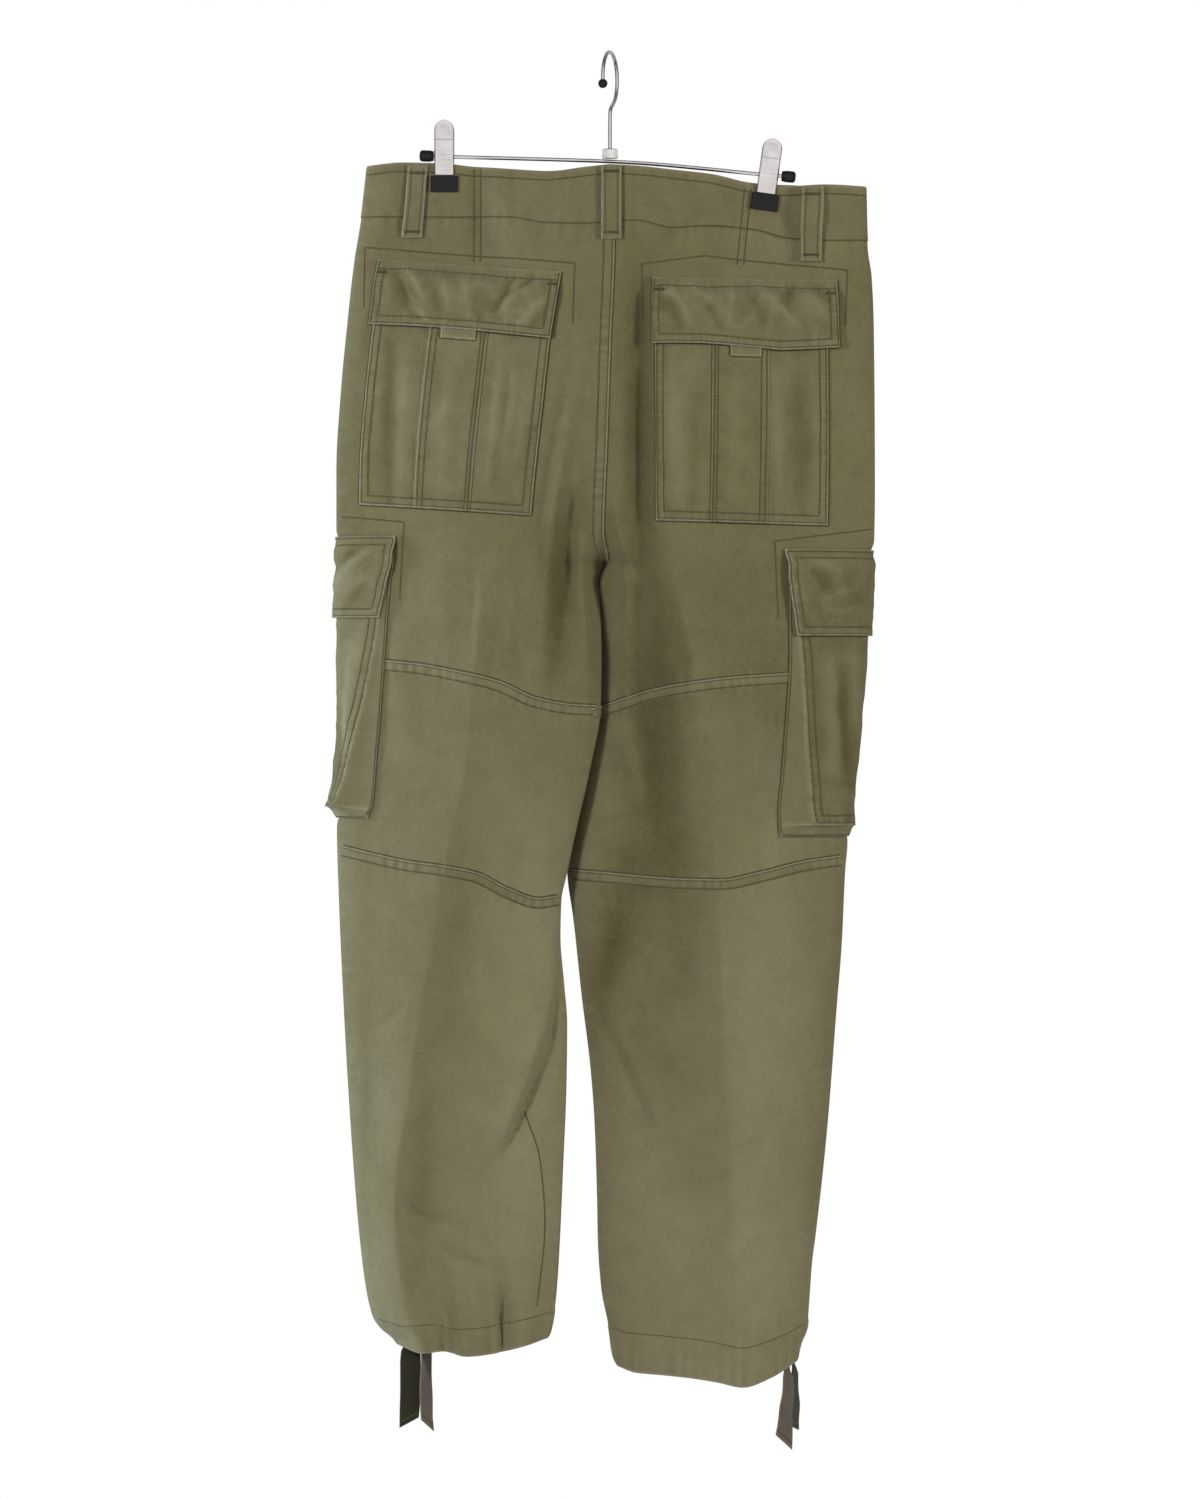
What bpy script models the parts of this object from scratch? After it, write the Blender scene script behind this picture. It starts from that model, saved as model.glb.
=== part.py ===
"""Cargo trousers hung by the waistband from a two-clip hanger, built piece by piece.

Metres, +Z up. The origin is the underside of the hook's crown, where a rail carries the hanger.
The back of the trousers faces -Y, and the wearer's left is at -X. Heights are given as "drop",
the distance below the origin in millimetres. A point of the cloth is named by its side, its face
(back or front), its share across that face from the outer side seam (0) to the centre seam or
inside leg seam (1), and its drop.
"""

import math

import bmesh
import bpy
import numpy as np
from mathutils import Matrix, Vector

MM = 0.001
COLLECTION = "cargo_trousers"

# Cloth and seams, in millimetres
CLOTH = 1.5
BAND_CLOTH = 2.4
BAND_RAISE = 0.6
FLAP_CLOTH = 1.8
POCKET_CLOTH = 1.3
POCKET_PUFF = 2.5
PLEAT = 1.5
FLAP_BELLY = 3.9
TAB_CLOTH = 1.0
LOOP_CLOTH = 1.8
TIE_CLOTH = 1.2
SEAM_GAP = 0.32
FORK_EASE = 0.7
LIE = 1.0
HEM_RAISE = 0.9

# Hanger, in millimetres
BAR_RADIUS = 1.75
HOOK_RADIUS = 1.7
HOOK_ROUND = 24.0
HOOK_TURN = math.radians(15.5)
HOOK_X = -0.9
COLLAR_TOP = 84.7
COLLAR_FOOT = 93.4
COLLAR_RADIUS = 7.4
TIP_RADIUS = 4.2
CAP_RADIUS = 5.2
CAP_LONG = 12.8
CLIP_PLATE = 1.0
PAD_WIDE = 24.0
PAD_DEEP = 3.4
PAD_TOP = 17.2
PAD_FOOT = 32.0
PINCH = 2.6
PINCH_FLAT = 17.0
PINCH_FADE = 150.0

# Where the two halves become legs, and how round the sections are (powers of the share)
FORK_TOP = 380.0
FORK_DROP = 454.0
SEAT_SPREAD = 2.4
SEAT_FULL = 0.55
LEG_FULL = 0.8
CREASE_SHARP = 1.08
EDGE_ROUND = 0.2
FOLD_TAPER = 0.7


def table(names, *rows):
    """The rows as one array for each named column."""
    return dict(zip(names.split(), np.array(rows, float).T))


# The bar's line: it bends a little under the collar and sinks to the right.
BAR = table(
    "x drop",
    (-158.0, 91.2),
    (-136.0, 91.9),
    (-60.0, 93.9),
    (-10.0, 95.5),
    (26.0, 97.3),
    (80.0, 102.0),
    (130.0, 107.0),
    (152.0, 108.9),
)

CLIPS = {
    "left": {"x": -148.7, "tilt": 0.0},
    "right": {"x": 140.5, "tilt": 8.0},
}

# Side seam (outer) and centre or inside leg seam (inner) of each half, by drop
OUTER = {
    "left": table(
        "drop x",
        (96, -217),
        (148, -223),
        (185, -229),
        (243, -235.5),
        (301, -241),
        (371, -245),
        (424, -245),
        (440, -240.5),
        (460, -239),
        (505, -241),
        (620, -240.5),
        (665, -239.5),
        (690, -244.5),
        (747, -243),
        (849, -238.5),
        (929, -234),
        (1008, -228.5),
        (1058, -224),
        (1101, -218.5),
        (1121, -214),
        (1136, -205),
        (1145, -194),
        (1158, -188),
    ),
    "right": table(
        "drop x",
        (96, 227),
        (173, 229),
        (198, 232.5),
        (245, 234.5),
        (389, 235.5),
        (434, 234.8),
        (450, 229.5),
        (493, 226.5),
        (541, 224.5),
        (590, 219.8),
        (648, 213.5),
        (674, 209.5),
        (688, 209.3),
        (702, 211),
        (728, 209),
        (792, 206),
        (849, 201.5),
        (963, 192.5),
        (1058, 182),
        (1077, 179.5),
        (1111, 177),
        (1135, 175),
        (1151, 169),
        (1166, 166),
    ),
}
INNER = {
    "left": table(
        "drop x",
        (99, -1.3),
        (168, -1.3),
        (255, -4.5),
        (344, -7.6),
        (427, -10.7),
        (454, -6.2),
        (470, -12),
        (487, -10),
        (540, -8.4),
        (585, -9.2),
        (630, -17),
        (701, -33),
        (733, -39.6),
        (755, -44.2),
        (788, -45),
        (826, -42),
        (866, -39),
        (917, -39.6),
        (997, -42.8),
        (1058, -45.5),
        (1110, -49),
        (1138, -53.5),
        (1147, -57),
    ),
    "right": table(
        "drop x",
        (99, -1.3),
        (168, -1.3),
        (255, -4.5),
        (344, -7.6),
        (427, -10.7),
        (454, -6.2),
        (462, -9.8),
        (470, -13),
        (487, -13.5),
        (505, -15),
        (540, -16.5),
        (576, -21),
        (612, -28),
        (665, -36.5),
        (708, -40),
        (733, -39),
        (769, -34),
        (842, -26),
        (906, -18.2),
        (952, -14.8),
        (1020, -12.5),
        (1058, -11.8),
        (1102, -8.6),
        (1135, -2.1),
        (1161, 1.8),
        (1170, 5.8),
    ),
}

# How far the back and the front stand out, where the pressed crease lies across the leg, how sharply
# it is pressed, and how far the inside leg edge swings out of the middle plane
DEPTH = {
    "left": table(
        "drop back front crease press swing",
        (96, 16, 13, 0.55, 0.0, 0),
        (150, 25, 20, 0.55, 0.0, 0),
        (200, 34, 26, 0.55, 0.0, 0),
        (260, 41, 31, 0.55, 0.0, 0),
        (340, 45, 34, 0.54, 0.0, 0),
        (430, 44, 36, 0.53, 0.1, 0),
        (470, 43, 37, 0.53, 0.2, -3),
        (560, 43, 38, 0.51, 0.4, -9),
        (650, 43, 37, 0.50, 0.5, -9),
        (730, 42, 36, 0.466, 0.5, -5),
        (790, 41, 34, 0.43, 0.5, 0),
        (850, 40, 33, 0.35, 0.5, 0),
        (930, 38, 32, 0.28, 0.5, 0),
        (1010, 36, 31, 0.20, 0.5, 0),
        (1100, 32, 30, 0.18, 0.4, 0),
        (1158, 25, 25, 0.20, 0.1, 0),
    ),
    "right": table(
        "drop back front crease press swing",
        (96, 16, 13, 0.60, 0.0, 0),
        (150, 24, 20, 0.62, 0.0, 0),
        (200, 33, 26, 0.66, 0.0, 0),
        (260, 40, 31, 0.70, 0.0, 0),
        (340, 44, 34, 0.74, 0.0, 0),
        (430, 43, 36, 0.76, 0.15, 0),
        (470, 45, 37, 0.722, 0.4, 4),
        (510, 48, 36, 0.672, 0.6, 11),
        (560, 51, 34, 0.618, 0.75, 17),
        (600, 52, 33, 0.576, 0.8, 20),
        (650, 52, 32, 0.508, 0.85, 20),
        (690, 51, 32, 0.480, 0.85, 18),
        (730, 51, 32, 0.443, 0.85, 15),
        (790, 49, 32, 0.437, 0.85, 11),
        (850, 47, 32, 0.431, 0.85, 8),
        (930, 44, 31, 0.418, 0.8, 6),
        (1010, 42, 31, 0.390, 0.8, 4),
        (1058, 40, 30, 0.364, 0.75, 3),
        (1100, 37, 30, 0.352, 0.7, 2),
        (1188, 32, 27, 0.33, 0.6, 0),
    ),
}

# Lines that run across each back half, as drops at these shares from the side seam to the middle
SHARES = np.array([0.0, 0.15, 0.3, 0.45, 0.6, 0.75, 0.9, 1.0])
LEVELS = {
    "left": {
        "waist_top": (99.9, 97.0, 97.5, 101.0, 103.5, 105.3, 101.5, 99.0),
        "waist_seam": (148.0, 148.0, 148.0, 148.0, 149.0, 154.0, 154.5, 153.4),
        "flap_top": (182.0, 184.5, 187.0, 190.0, 192.5, 195.0, 197.0, 198.5),
        "flap_foot": (240.4, 243.4, 246.3, 249.3, 252.3, 255.2, 258.2, 260.2),
        "pocket_foot": (400.9, 403.3, 405.6, 408.0, 410.3, 412.7, 415.0, 416.6),
        "fork": (440.0, 442.0, 444.0, 446.0, 448.0, 450.5, 453.0, 454.0),
        "knee_top": (543.0, 545.5, 549.0, 555.5, 564.0, 579.0, 585.0, 586.0),
        "knee_foot": (710.0, 717.5, 724.0, 728.0, 734.0, 748.0, 757.5, 754.6),
        "hem": (1150.7, 1157.5, 1156.0, 1160.5, 1159.0, 1155.3, 1150.0, 1145.3),
    },
    "right": {
        "waist_top": (118.2, 116.8, 117.9, 114.8, 108.0, 104.0, 100.3, 99.0),
        "waist_seam": (168.6, 169.2, 167.0, 158.6, 156.3, 158.5, 151.8, 153.4),
        "flap_top": (202.8, 202.4, 202.0, 201.7, 201.3, 200.9, 200.5, 200.3),
        "flap_foot": (261.0, 262.0, 263.0, 262.5, 261.5, 260.5, 260.2, 260.2),
        "pocket_foot": (422.2, 421.2, 420.3, 419.3, 418.3, 417.3, 416.4, 416.6),
        "fork": (440.0, 442.0, 444.0, 446.0, 448.0, 450.5, 453.0, 454.0),
        "knee_top": (551.3, 554.5, 557.8, 560.3, 564.5, 571.0, 583.0, 591.4),
        "knee_foot": (719.0, 724.5, 733.5, 740.4, 739.8, 737.2, 734.0, 732.3),
        "hem": (1165.8, 1180.0, 1187.5, 1183.0, 1179.6, 1177.5, 1175.7, 1170.3),
    },
}
# The front's own lines: how much lower it is at the centre front, and how far each line sags between its ends
FRONT_LEVELS = {
    "waist_top": (9.0, 2.0),
    "waist_seam": (10.0, 2.0),
    "flap_top": (6.0, 0.0),
    "flap_foot": (3.0, 0.0),
    "pocket_foot": (0.0, 0.0),
    "fork": (0.0, 0.0),
    "knee_top": (0.0, -6.0),
    "knee_foot": (0.0, -4.0),
    "hem": (0.0, 6.0),
}
# Mesh rows between two lines, as shares of the way down
EVEN = {n: tuple(k / n for k in range(n)) for n in range(1, 8)}
ROW_STEPS = {
    "waist_top": EVEN[3],
    "waist_seam": EVEN[2],
    "flap_top": EVEN[2],
    "flap_foot": EVEN[5],
    "pocket_foot": (0.0, 0.4, 0.75),
    "fork": (0.0, 0.1, 0.3, 0.55, 0.8),
    "knee_top": EVEN[6],
    "knee_foot": (0.0, 0.09, 0.18, 0.27, 0.36, 0.45, 0.54, 0.63, 0.72, 0.8, 0.87, 0.935, 0.97),
}
COLUMNS = {
    ("left", "back"): (0, 0.035, 0.1, 0.175, 0.255, 0.325, 0.395, 0.52, 0.65, 0.79, 0.9, 0.965, 1),
    ("right", "back"): (0, 0.035, 0.13, 0.23, 0.335, 0.4, 0.462, 0.57, 0.69, 0.82, 0.91, 0.965, 1),
    ("left", "front"): (0, 0.035, 0.13, 0.255, 0.325, 0.395, 0.52, 0.66, 0.8, 0.93, 1),
    ("right", "front"): (0, 0.035, 0.13, 0.23, 0.335, 0.4, 0.462, 0.58, 0.72, 0.87, 1),
}

# The largest folds: a soft ridge (or trough, if it falls) along the line from one point to another
FOLDS = {
    "back": table(
        "x1 drop1 x2 drop2 bow wide rise",
        (-12, 180, -64, 580, -9, 11, 6.5),
        (-29, 230, -84, 530, -3, 11, -4.5),
        (-30, 425, -20, 585, 3, 8, 8.5),
        (-28, 380, -36, 570, -6, 7, -6.5),
        (-88, 420, -124, 575, -4, 11, 4.5),
        (2, 395, 20, 585, 4, 8, 5.5),
        (34, 475, 26, 590, -4, 11, -4.0),
        (-4, 600, 22, 682, 0, 12, 3.5),
        (28, 160, 31, 480, -2, 9, -5.5),
        (47, 185, 50, 450, 0, 13, 5.0),
        (12, 190, 9, 420, -2, 8, 3.0),
        (132, 140, 176, 200, 4, 9, 3.0),
        (118, 142, 26, 200, -14, 8, 3.5),
        (-142, 130, -86, 188, 6, 10, 2.5),
        (-158, 132, -196, 192, -5, 9, 2.2),
        (36, 672, -26, 702, -4, 8, -4.0),
        (-42, 840, -114, 1010, 8, 11, -4.5),
        (-194, 1030, -92, 1090, 12, 8, -3.0),
        (-146, 1078, -145, 1180, 0, 6, -7.0),
        (-121, 1085, -119, 1180, 0, 10, 5.0),
        (-97, 1072, -98, 1180, 0, 6, -7.0),
        (-72, 1085, -78, 1180, 0, 9, 4.0),
        (-170, 1095, -165, 1175, 0, 9, 4.0),
    ),
    "front": table(
        "x1 drop1 x2 drop2 bow wide rise",
        (-142, 135, -82, 198, 5, 11, 3.5),
        (130, 140, 72, 208, -5, 11, 3.5),
        (-76, 230, -98, 460, -6, 13, 4.0),
        (68, 230, 92, 450, 6, 13, 4.0),
        (-34, 450, -96, 575, -6, 12, -3.5),
        (28, 460, 84, 590, 6, 12, -3.5),
        (-200, 716, -80, 748, 6, 12, 3.5),
        (30, 738, 160, 718, -6, 12, 3.5),
        (-54, 840, -116, 1010, 8, 12, -4.0),
        (54, 860, 126, 1030, -8, 12, -3.5),
        (-145, 1080, -145, 1180, 0, 7, -7.0),
        (-118, 1085, -118, 1180, 0, 10, 5.0),
        (-90, 1078, -92, 1180, 0, 7, -6.0),
        (-170, 1090, -168, 1175, 0, 9, 4.0),
        (110, 1065, 112, 1200, 4, 14, -4.0),
    ),
}

COLOURS = {
    "cloth": (0.165, 0.150, 0.085, 1.0),
    "cloth_worn": (0.200, 0.185, 0.115, 1.0),
    "tie": (0.060, 0.052, 0.034, 1.0),
    "chrome": (0.75, 0.73, 0.72, 1.0),
    "black_rubber": (0.012, 0.012, 0.013, 1.0),
    "button": (0.050, 0.045, 0.030, 1.0),
}
ROUGH = {"chrome": 0.12, "black_rubber": 0.55, "button": 0.35}


def through(knots, values, at):
    """A smooth curve through the knots with no overshoot, held level beyond the ends."""
    knots = np.asarray(knots, float)
    values = np.asarray(values, float)
    at = np.clip(at, knots[0], knots[-1])
    step = np.diff(knots)
    slope = np.diff(values) / step
    lead = np.zeros_like(values)
    lead[0] = slope[0]
    lead[-1] = slope[-1]
    same = slope[:-1] * slope[1:] > 0
    heavy = 2 * step[1:] + step[:-1]
    light = step[1:] + 2 * step[:-1]
    safe = np.where(same, slope[:-1] * slope[1:], 1.0)
    weighed = heavy * np.where(same, slope[1:], 1) + light * np.where(same, slope[:-1], 1)
    mean = (heavy + light) * safe / weighed
    lead[1:-1] = np.where(same, mean, 0.0)
    k = np.clip(np.searchsorted(knots, at, side="right") - 1, 0, len(step) - 1)
    u = (at - knots[k]) / step[k]
    return (
        values[k] * (1 + 2 * u) * (1 - u) ** 2
        + values[k + 1] * (3 - 2 * u) * u**2
        + step[k] * u * (1 - u) * (lead[k] * (1 - u) - lead[k + 1] * u)
    )


def ease(value):
    value = np.clip(value, 0.0, 1.0)
    return value * value * (3 - 2 * value)


def level(side, face, name, share):
    """The drop of a named line at a share across one half of the back or the front."""
    back = through(SHARES, LEVELS[side][name], share)
    if face == "back":
        return back
    lower, sag = FRONT_LEVELS[name]
    first, last = LEVELS[side][name][0], LEVELS[side][name][-1] + lower
    return first + (last - first) * share + sag * 4 * share * (1 - share)


def bar_drop(x):
    return through(BAR["x"], BAR["drop"], x)


def hold_open(x, drop):
    """0 where a clip pinches the two layers together, 1 where they stand apart."""
    free = np.ones_like(x)
    for clip in CLIPS.values():
        jaw = bar_drop(clip["x"]) + PAD_FOOT
        lean = math.tan(math.radians(clip["tilt"]))
        centre = clip["x"] - lean * np.minimum(drop - bar_drop(clip["x"]), PAD_FOOT)
        below = np.maximum(0.0, drop - jaw)
        rise = ease((np.abs(x - centre) - PINCH_FLAT) / (34.0 + 0.45 * below))
        fade = 1 - ease(below / PINCH_FADE)
        free = free * (1 - (1 - rise) * fade)
    return free


def fork_share(drop):
    """0 where the two halves are one body, 1 from the fork down, where each is a leg."""
    near = np.clip((drop - FORK_TOP) / (FORK_DROP - FORK_TOP), 0.0, 1.0)
    return 1 - np.sqrt(1 - near**2)


def folds_at(rows, x, drop):
    """Soft ridges and troughs along bowed lines, strongest halfway and dying away at both ends."""
    lift = np.zeros_like(x)
    names = ("x1", "drop1", "x2", "drop2", "bow", "wide", "rise")
    for x1, d1, x2, d2, bow, wide, rise in zip(*(rows[name] for name in names)):
        along_x, along_d = x2 - x1, d2 - d1
        long = math.hypot(along_x, along_d)
        share = ((x - x1) * along_x + (drop - d1) * along_d) / long**2
        beside = ((x - x1) * along_d - (drop - d1) * along_x) / long
        near = np.clip(share, 0.0, 1.0)
        away = np.hypot(beside - 4 * bow * near * (1 - near), (share - near) * long)
        lift += rise * np.sin(np.pi * near) ** FOLD_TAPER * np.exp(-((away / wide) ** 2))
    return lift


def cloth(side, face, share, drop):
    """The outer surface, in millimetres, as x, y, z."""
    share = np.asarray(share, float)
    drop = np.asarray(drop, float)
    outer = through(OUTER[side]["drop"], OUTER[side]["x"], drop)
    inner = through(INNER[side]["drop"], INNER[side]["x"], drop)
    x = outer + (inner - outer) * share
    rows = DEPTH[side]
    full = through(rows["drop"], rows[face], drop)
    crease = through(rows["drop"], rows["crease"], drop)
    if face == "front":
        crease = 0.5 + 0.3 * (crease - 0.5)
    press = through(rows["drop"], rows["press"], drop)
    swing = through(rows["drop"], rows["swing"], drop) * share**2
    lean = np.where(share < crease, 0.5 * share / crease, 0.5 + 0.5 * (share - crease) / (1 - crease))
    soft = np.sin(np.pi * np.clip(lean, 0, 1)) ** LEG_FULL
    tent = 1 - np.abs(2 * lean - 1) ** CREASE_SHARP
    pressed = press * ease(np.minimum(lean, 1 - lean) / EDGE_ROUND)
    leg = (1 - pressed) * soft + pressed * tent
    body = (1 - (1 - share) ** SEAT_SPREAD) ** SEAT_FULL
    fork = fork_share(drop)
    depth = full * ((1 - fork) * body + fork * leg)
    free = hold_open(x, drop)
    rim = np.sqrt(1 - (1 - np.clip(share / 0.06, 0, 1)) ** 2)
    depth = depth * free + PINCH * rim * (1 - free)
    window = np.clip(share / 0.1, 0, 1) * np.clip((1 - share) / 0.06, 0, 1)
    depth = depth + folds_at(FOLDS[face], x, drop) * window * np.where(free > 0.05, free, 0.0)
    y = swing + (depth if face == "front" else -depth)
    return np.stack([x, y, -drop], axis=-1)


def row_drops(side, face, share):
    """The drops of every mesh row at these shares, and the row number of each named line."""
    names = list(LEVELS[side])
    rows, starts = [], {}
    for name, below in zip(names, names[1:]):
        starts[name] = len(rows)
        top = level(side, face, name, share)
        foot = level(side, face, below, share)
        rows += [top + (foot - top) * step for step in ROW_STEPS[name]]
    starts[names[-1]] = len(rows)
    rows.append(level(side, face, names[-1], share))
    return np.array(rows), starts


def unit(vectors):
    return vectors / np.maximum(np.linalg.norm(vectors, axis=-1, keepdims=True), 1e-9)


def mesh_of_halves():
    """Points and outward normals of the four halves on shared rows, so that neighbours meet on one line."""
    grids = {}
    for side, face in COLUMNS:
        share = np.array(COLUMNS[side, face], float)
        drops, starts = row_drops(side, face, share)
        points = cloth(side, face, share[None, :] + 0 * drops, drops)
        grids[side, face] = {"share": share, "points": points, "starts": starts}
    fork = grids["left", "back"]["starts"]["fork"]
    other_side = {"left": "right", "right": "left"}
    other_face = {"back": "front", "front": "back"}
    for (side, face), grid in grids.items():
        points = grid["points"]
        over_side = grids[side, other_face[face]]["points"]
        over_middle = grids[other_side[side], face]["points"]
        before = np.concatenate([over_side[:, 1:2], points[:, :-1]], axis=1)
        last = np.where(np.arange(len(points))[:, None] <= fork, over_middle[:, -2], over_side[:, -2])
        after = np.concatenate([points[:, 1:], last[:, None]], axis=1)
        down = np.gradient(points, axis=0)
        normal = unit(np.cross(unit(after - before), unit(down)))
        outward = np.array([0.0, 1.0 if face == "front" else -1.0, 0.0])
        middle = points.shape[1] // 2
        if (normal[:, middle] @ outward).mean() < 0:
            normal = -normal
        normal[fork, -1] = (0.0, 0.0, -1.0)
        grid["normals"] = normal
    return grids


def away_from_edges(points, gap, edges="tbse"):
    """The grid with its outermost rows and columns drawn in by a gap: t top, b bottom, s start, e end."""
    moved = points.copy()
    if "s" in edges:
        moved[:, 0] += gap * unit(points[:, 1] - points[:, 0])
    if "e" in edges:
        moved[:, -1] += gap * unit(points[:, -2] - points[:, -1])
    if "t" in edges:
        moved[0] += gap * unit(points[1] - points[0])
    if "b" in edges:
        moved[-1] += gap * unit(points[-2] - points[-1])
    return moved


def material(name):
    if name in bpy.data.materials:
        return bpy.data.materials[name]
    made = bpy.data.materials.new(name)
    made.use_nodes = True
    shader = made.node_tree.nodes["Principled BSDF"]
    shader.inputs["Base Color"].default_value = COLOURS[name]
    shader.inputs["Roughness"].default_value = ROUGH.get(name, 0.9)
    shader.inputs["Metallic"].default_value = 1.0 if name == "chrome" else 0.0
    return made


def add_object(name, mesh, finish):
    obj = bpy.data.objects.new(name, mesh)
    mesh.materials.append(material(finish))
    bpy.data.collections[COLLECTION].objects.link(obj)
    return obj


def sheet_wall(name, outer, inner, finish="cloth"):
    """A closed wall between two matching grids of points, rows by columns, in millimetres."""
    rows, cols = outer.shape[:2]
    bm = bmesh.new()
    bmesh.ops.create_grid(bm, x_segments=cols - 1, y_segments=rows - 1, size=0.5)
    made = bmesh.ops.extrude_face_region(bm, geom=bm.faces[:], use_keep_orig=True)
    under = {item for item in made["geom"] if isinstance(item, bmesh.types.BMVert)}
    for vert in bm.verts:
        col = round((vert.co.x + 0.5) * (cols - 1))
        row = round((vert.co.y + 0.5) * (rows - 1))
        source = inner if vert in under else outer
        vert.co = Vector(source[row, col]) * MM
    bmesh.ops.recalc_face_normals(bm, faces=bm.faces[:])
    bmesh.ops.triangulate(bm, faces=[f for f in bm.faces if len(f.verts) > 3])
    if bm.calc_volume(signed=True) < 0:
        bmesh.ops.reverse_faces(bm, faces=bm.faces[:])
    mesh = bpy.data.meshes.new(name)
    bm.to_mesh(mesh)
    bm.free()
    mesh.shade_smooth()
    mesh.set_sharp_from_angle(angle=math.radians(50))
    return add_object(name, mesh, finish)


def panel(name, grid, first, last, edges="tbse", thick=CLOTH, raised=None):
    rows = slice(grid["starts"][first], grid["starts"][last] + 1)
    normals = grid["normals"][rows]
    outer = away_from_edges(grid["points"][rows], SEAM_GAP / 2, edges)
    # in the steep cleft above the fork the seam allowance parts the two halves a little more
    to_side = np.sign(outer[0, 0, 0])
    outer[:, -1, 0] += to_side * FORK_EASE * np.exp(-(((-outer[:, -1, 2] - 443) / 14) ** 2))
    inner = outer - normals * thick
    if raised is not None:
        outer = outer + normals * raised[:, None, None]
    return sheet_wall(name, outer, inner)


def main_panels(grids):
    for (side, face), grid in grids.items():
        panel(f"{face}_{side}", grid, "waist_seam", "knee_top")
        panel(f"knee_{face}_{side}", grid, "knee_top", "knee_foot")
        steps = len(ROW_STEPS["knee_foot"])
        raised = np.zeros(steps + 1)
        raised[-3:] = HEM_RAISE
        panel(f"lower_leg_{face}_{side}", grid, "knee_foot", "hem", raised=raised)


def waistband(grids):
    """One strip round the waist from the centre front, with its under end lapped behind the upper one."""
    order = (
        ("left", "front", True),
        ("left", "back", False),
        ("right", "back", True),
        ("right", "front", False),
    )
    points, normals = [], []
    for side, face, inward_first in order:
        grid = grids[side, face]
        rows = slice(0, grid["starts"]["waist_seam"] + 1)
        step = slice(None, None, -1) if inward_first else slice(None)
        points.append(grid["points"][rows, step])
        normals.append(grid["normals"][rows, step])
    joined = [points[0]] + [p[:, 1:] for p in points[1:]]
    joined_normals = [normals[0]] + [n[:, 1:] for n in normals[1:]]
    points = np.concatenate(joined, axis=1)
    normals = np.concatenate(joined_normals, axis=1)
    # the under end goes on past the centre front, one wall and a gap further in
    lap_normals = normals[:, 1:3]
    tuck = BAND_CLOTH + 2 * SEAM_GAP
    turned = points[:, -1:] - normals[:, -1:] * tuck
    lap = points[:, 1:3] - lap_normals * tuck
    points = np.concatenate([points[:, :-1], turned, lap], axis=1)
    normals = np.concatenate([normals, lap_normals], axis=1)
    outer = away_from_edges(points, SEAM_GAP / 2, "b") + normals * BAND_RAISE
    sheet_wall("waistband", outer, outer - normals * BAND_CLOTH)


class OnCloth:
    """Points on the built walls of one half, for what is sewn onto them. A negative share is on the other
    face, past the side seam."""

    def __init__(self, grids, side, face):
        self.grids = grids
        self.side = side
        self.face = face
        self.across = {"back": "front", "front": "back"}[face]

    def at(self, share, drop, lift):
        face = self.face if share >= 0 else self.across
        grid = self.grids[self.side, face]
        share = abs(share)
        rows, _ = row_drops(self.side, face, np.array([share]))
        rows = rows[:, 0]
        r = int(np.clip(np.searchsorted(rows, drop) - 1, 0, len(rows) - 2))
        c = int(np.clip(np.searchsorted(grid["share"], share) - 1, 0, len(grid["share"]) - 2))
        v = (drop - rows[r]) / (rows[r + 1] - rows[r])
        u = (share - grid["share"][c]) / (grid["share"][c + 1] - grid["share"][c])
        found = []
        for values in (grid["points"], grid["normals"]):
            top = values[r, c] * (1 - u) + values[r, c + 1] * u
            foot = values[r + 1, c] * (1 - u) + values[r + 1, c + 1] * u
            found.append(top * (1 - v) + foot * v)
        point, normal = found
        normal = normal / np.linalg.norm(normal)
        return point + normal * lift, normal

    def patch(self, shares, drops, lifts, thick):
        """Outer and inner points of a piece on the cloth: shares, drops and lifts for each mesh row."""
        rows, cols = np.shape(shares)
        outer = np.zeros((rows, cols, 3))
        inner = np.zeros((rows, cols, 3))
        for r in range(rows):
            for c in range(cols):
                point, normal = self.at(shares[r][c], drops[r][c], lifts[r][c])
                inner[r, c] = point
                outer[r, c] = point + normal * thick
        return outer, inner


def spread(first, last, inside):
    """The values inside a range, between its two ends."""
    margin = 0.15 * (last - first) / max(len(inside), 1)
    return [first] + [v for v in inside if first + margin < v < last - margin] + [last]


# Back pockets: shares across the half at the flap's top and at the pocket's foot. The pleats stand up
# between the two pleat lines.
POCKETS = {
    "left": {
        "edge": (0.108, 0.0906),
        "pleat": (0.33, 0.298),
        "pleat_far": (0.557, 0.5075),
        "far": (0.800, 0.741),
    },
    "right": {
        "edge": (0.176, 0.174),
        "pleat": (0.392, 0.392),
        "pleat_far": (0.6048, 0.597),
        "far": (0.822, 0.7916),
    },
}
POCKET_MOUTH = 14.0
MOUTH_STAND = 0.7
# The flaps: shares of both ends at the top and at the foot, of the tab, and where and how far the foot dips
FLAPS = {
    "left": {"edge": (0.094, 0.0925), "far": (0.816, 0.788), "tab": (0.37, 0.505), "dip": (0.45, 0.0)},
    "right": {"edge": (0.136, 0.1365), "far": (0.8327, 0.819), "tab": (0.425, 0.54), "dip": (0.355, 4.5)},
}
TAB_SHOWS = 8.0
TAB_LONG = 20.0


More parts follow.
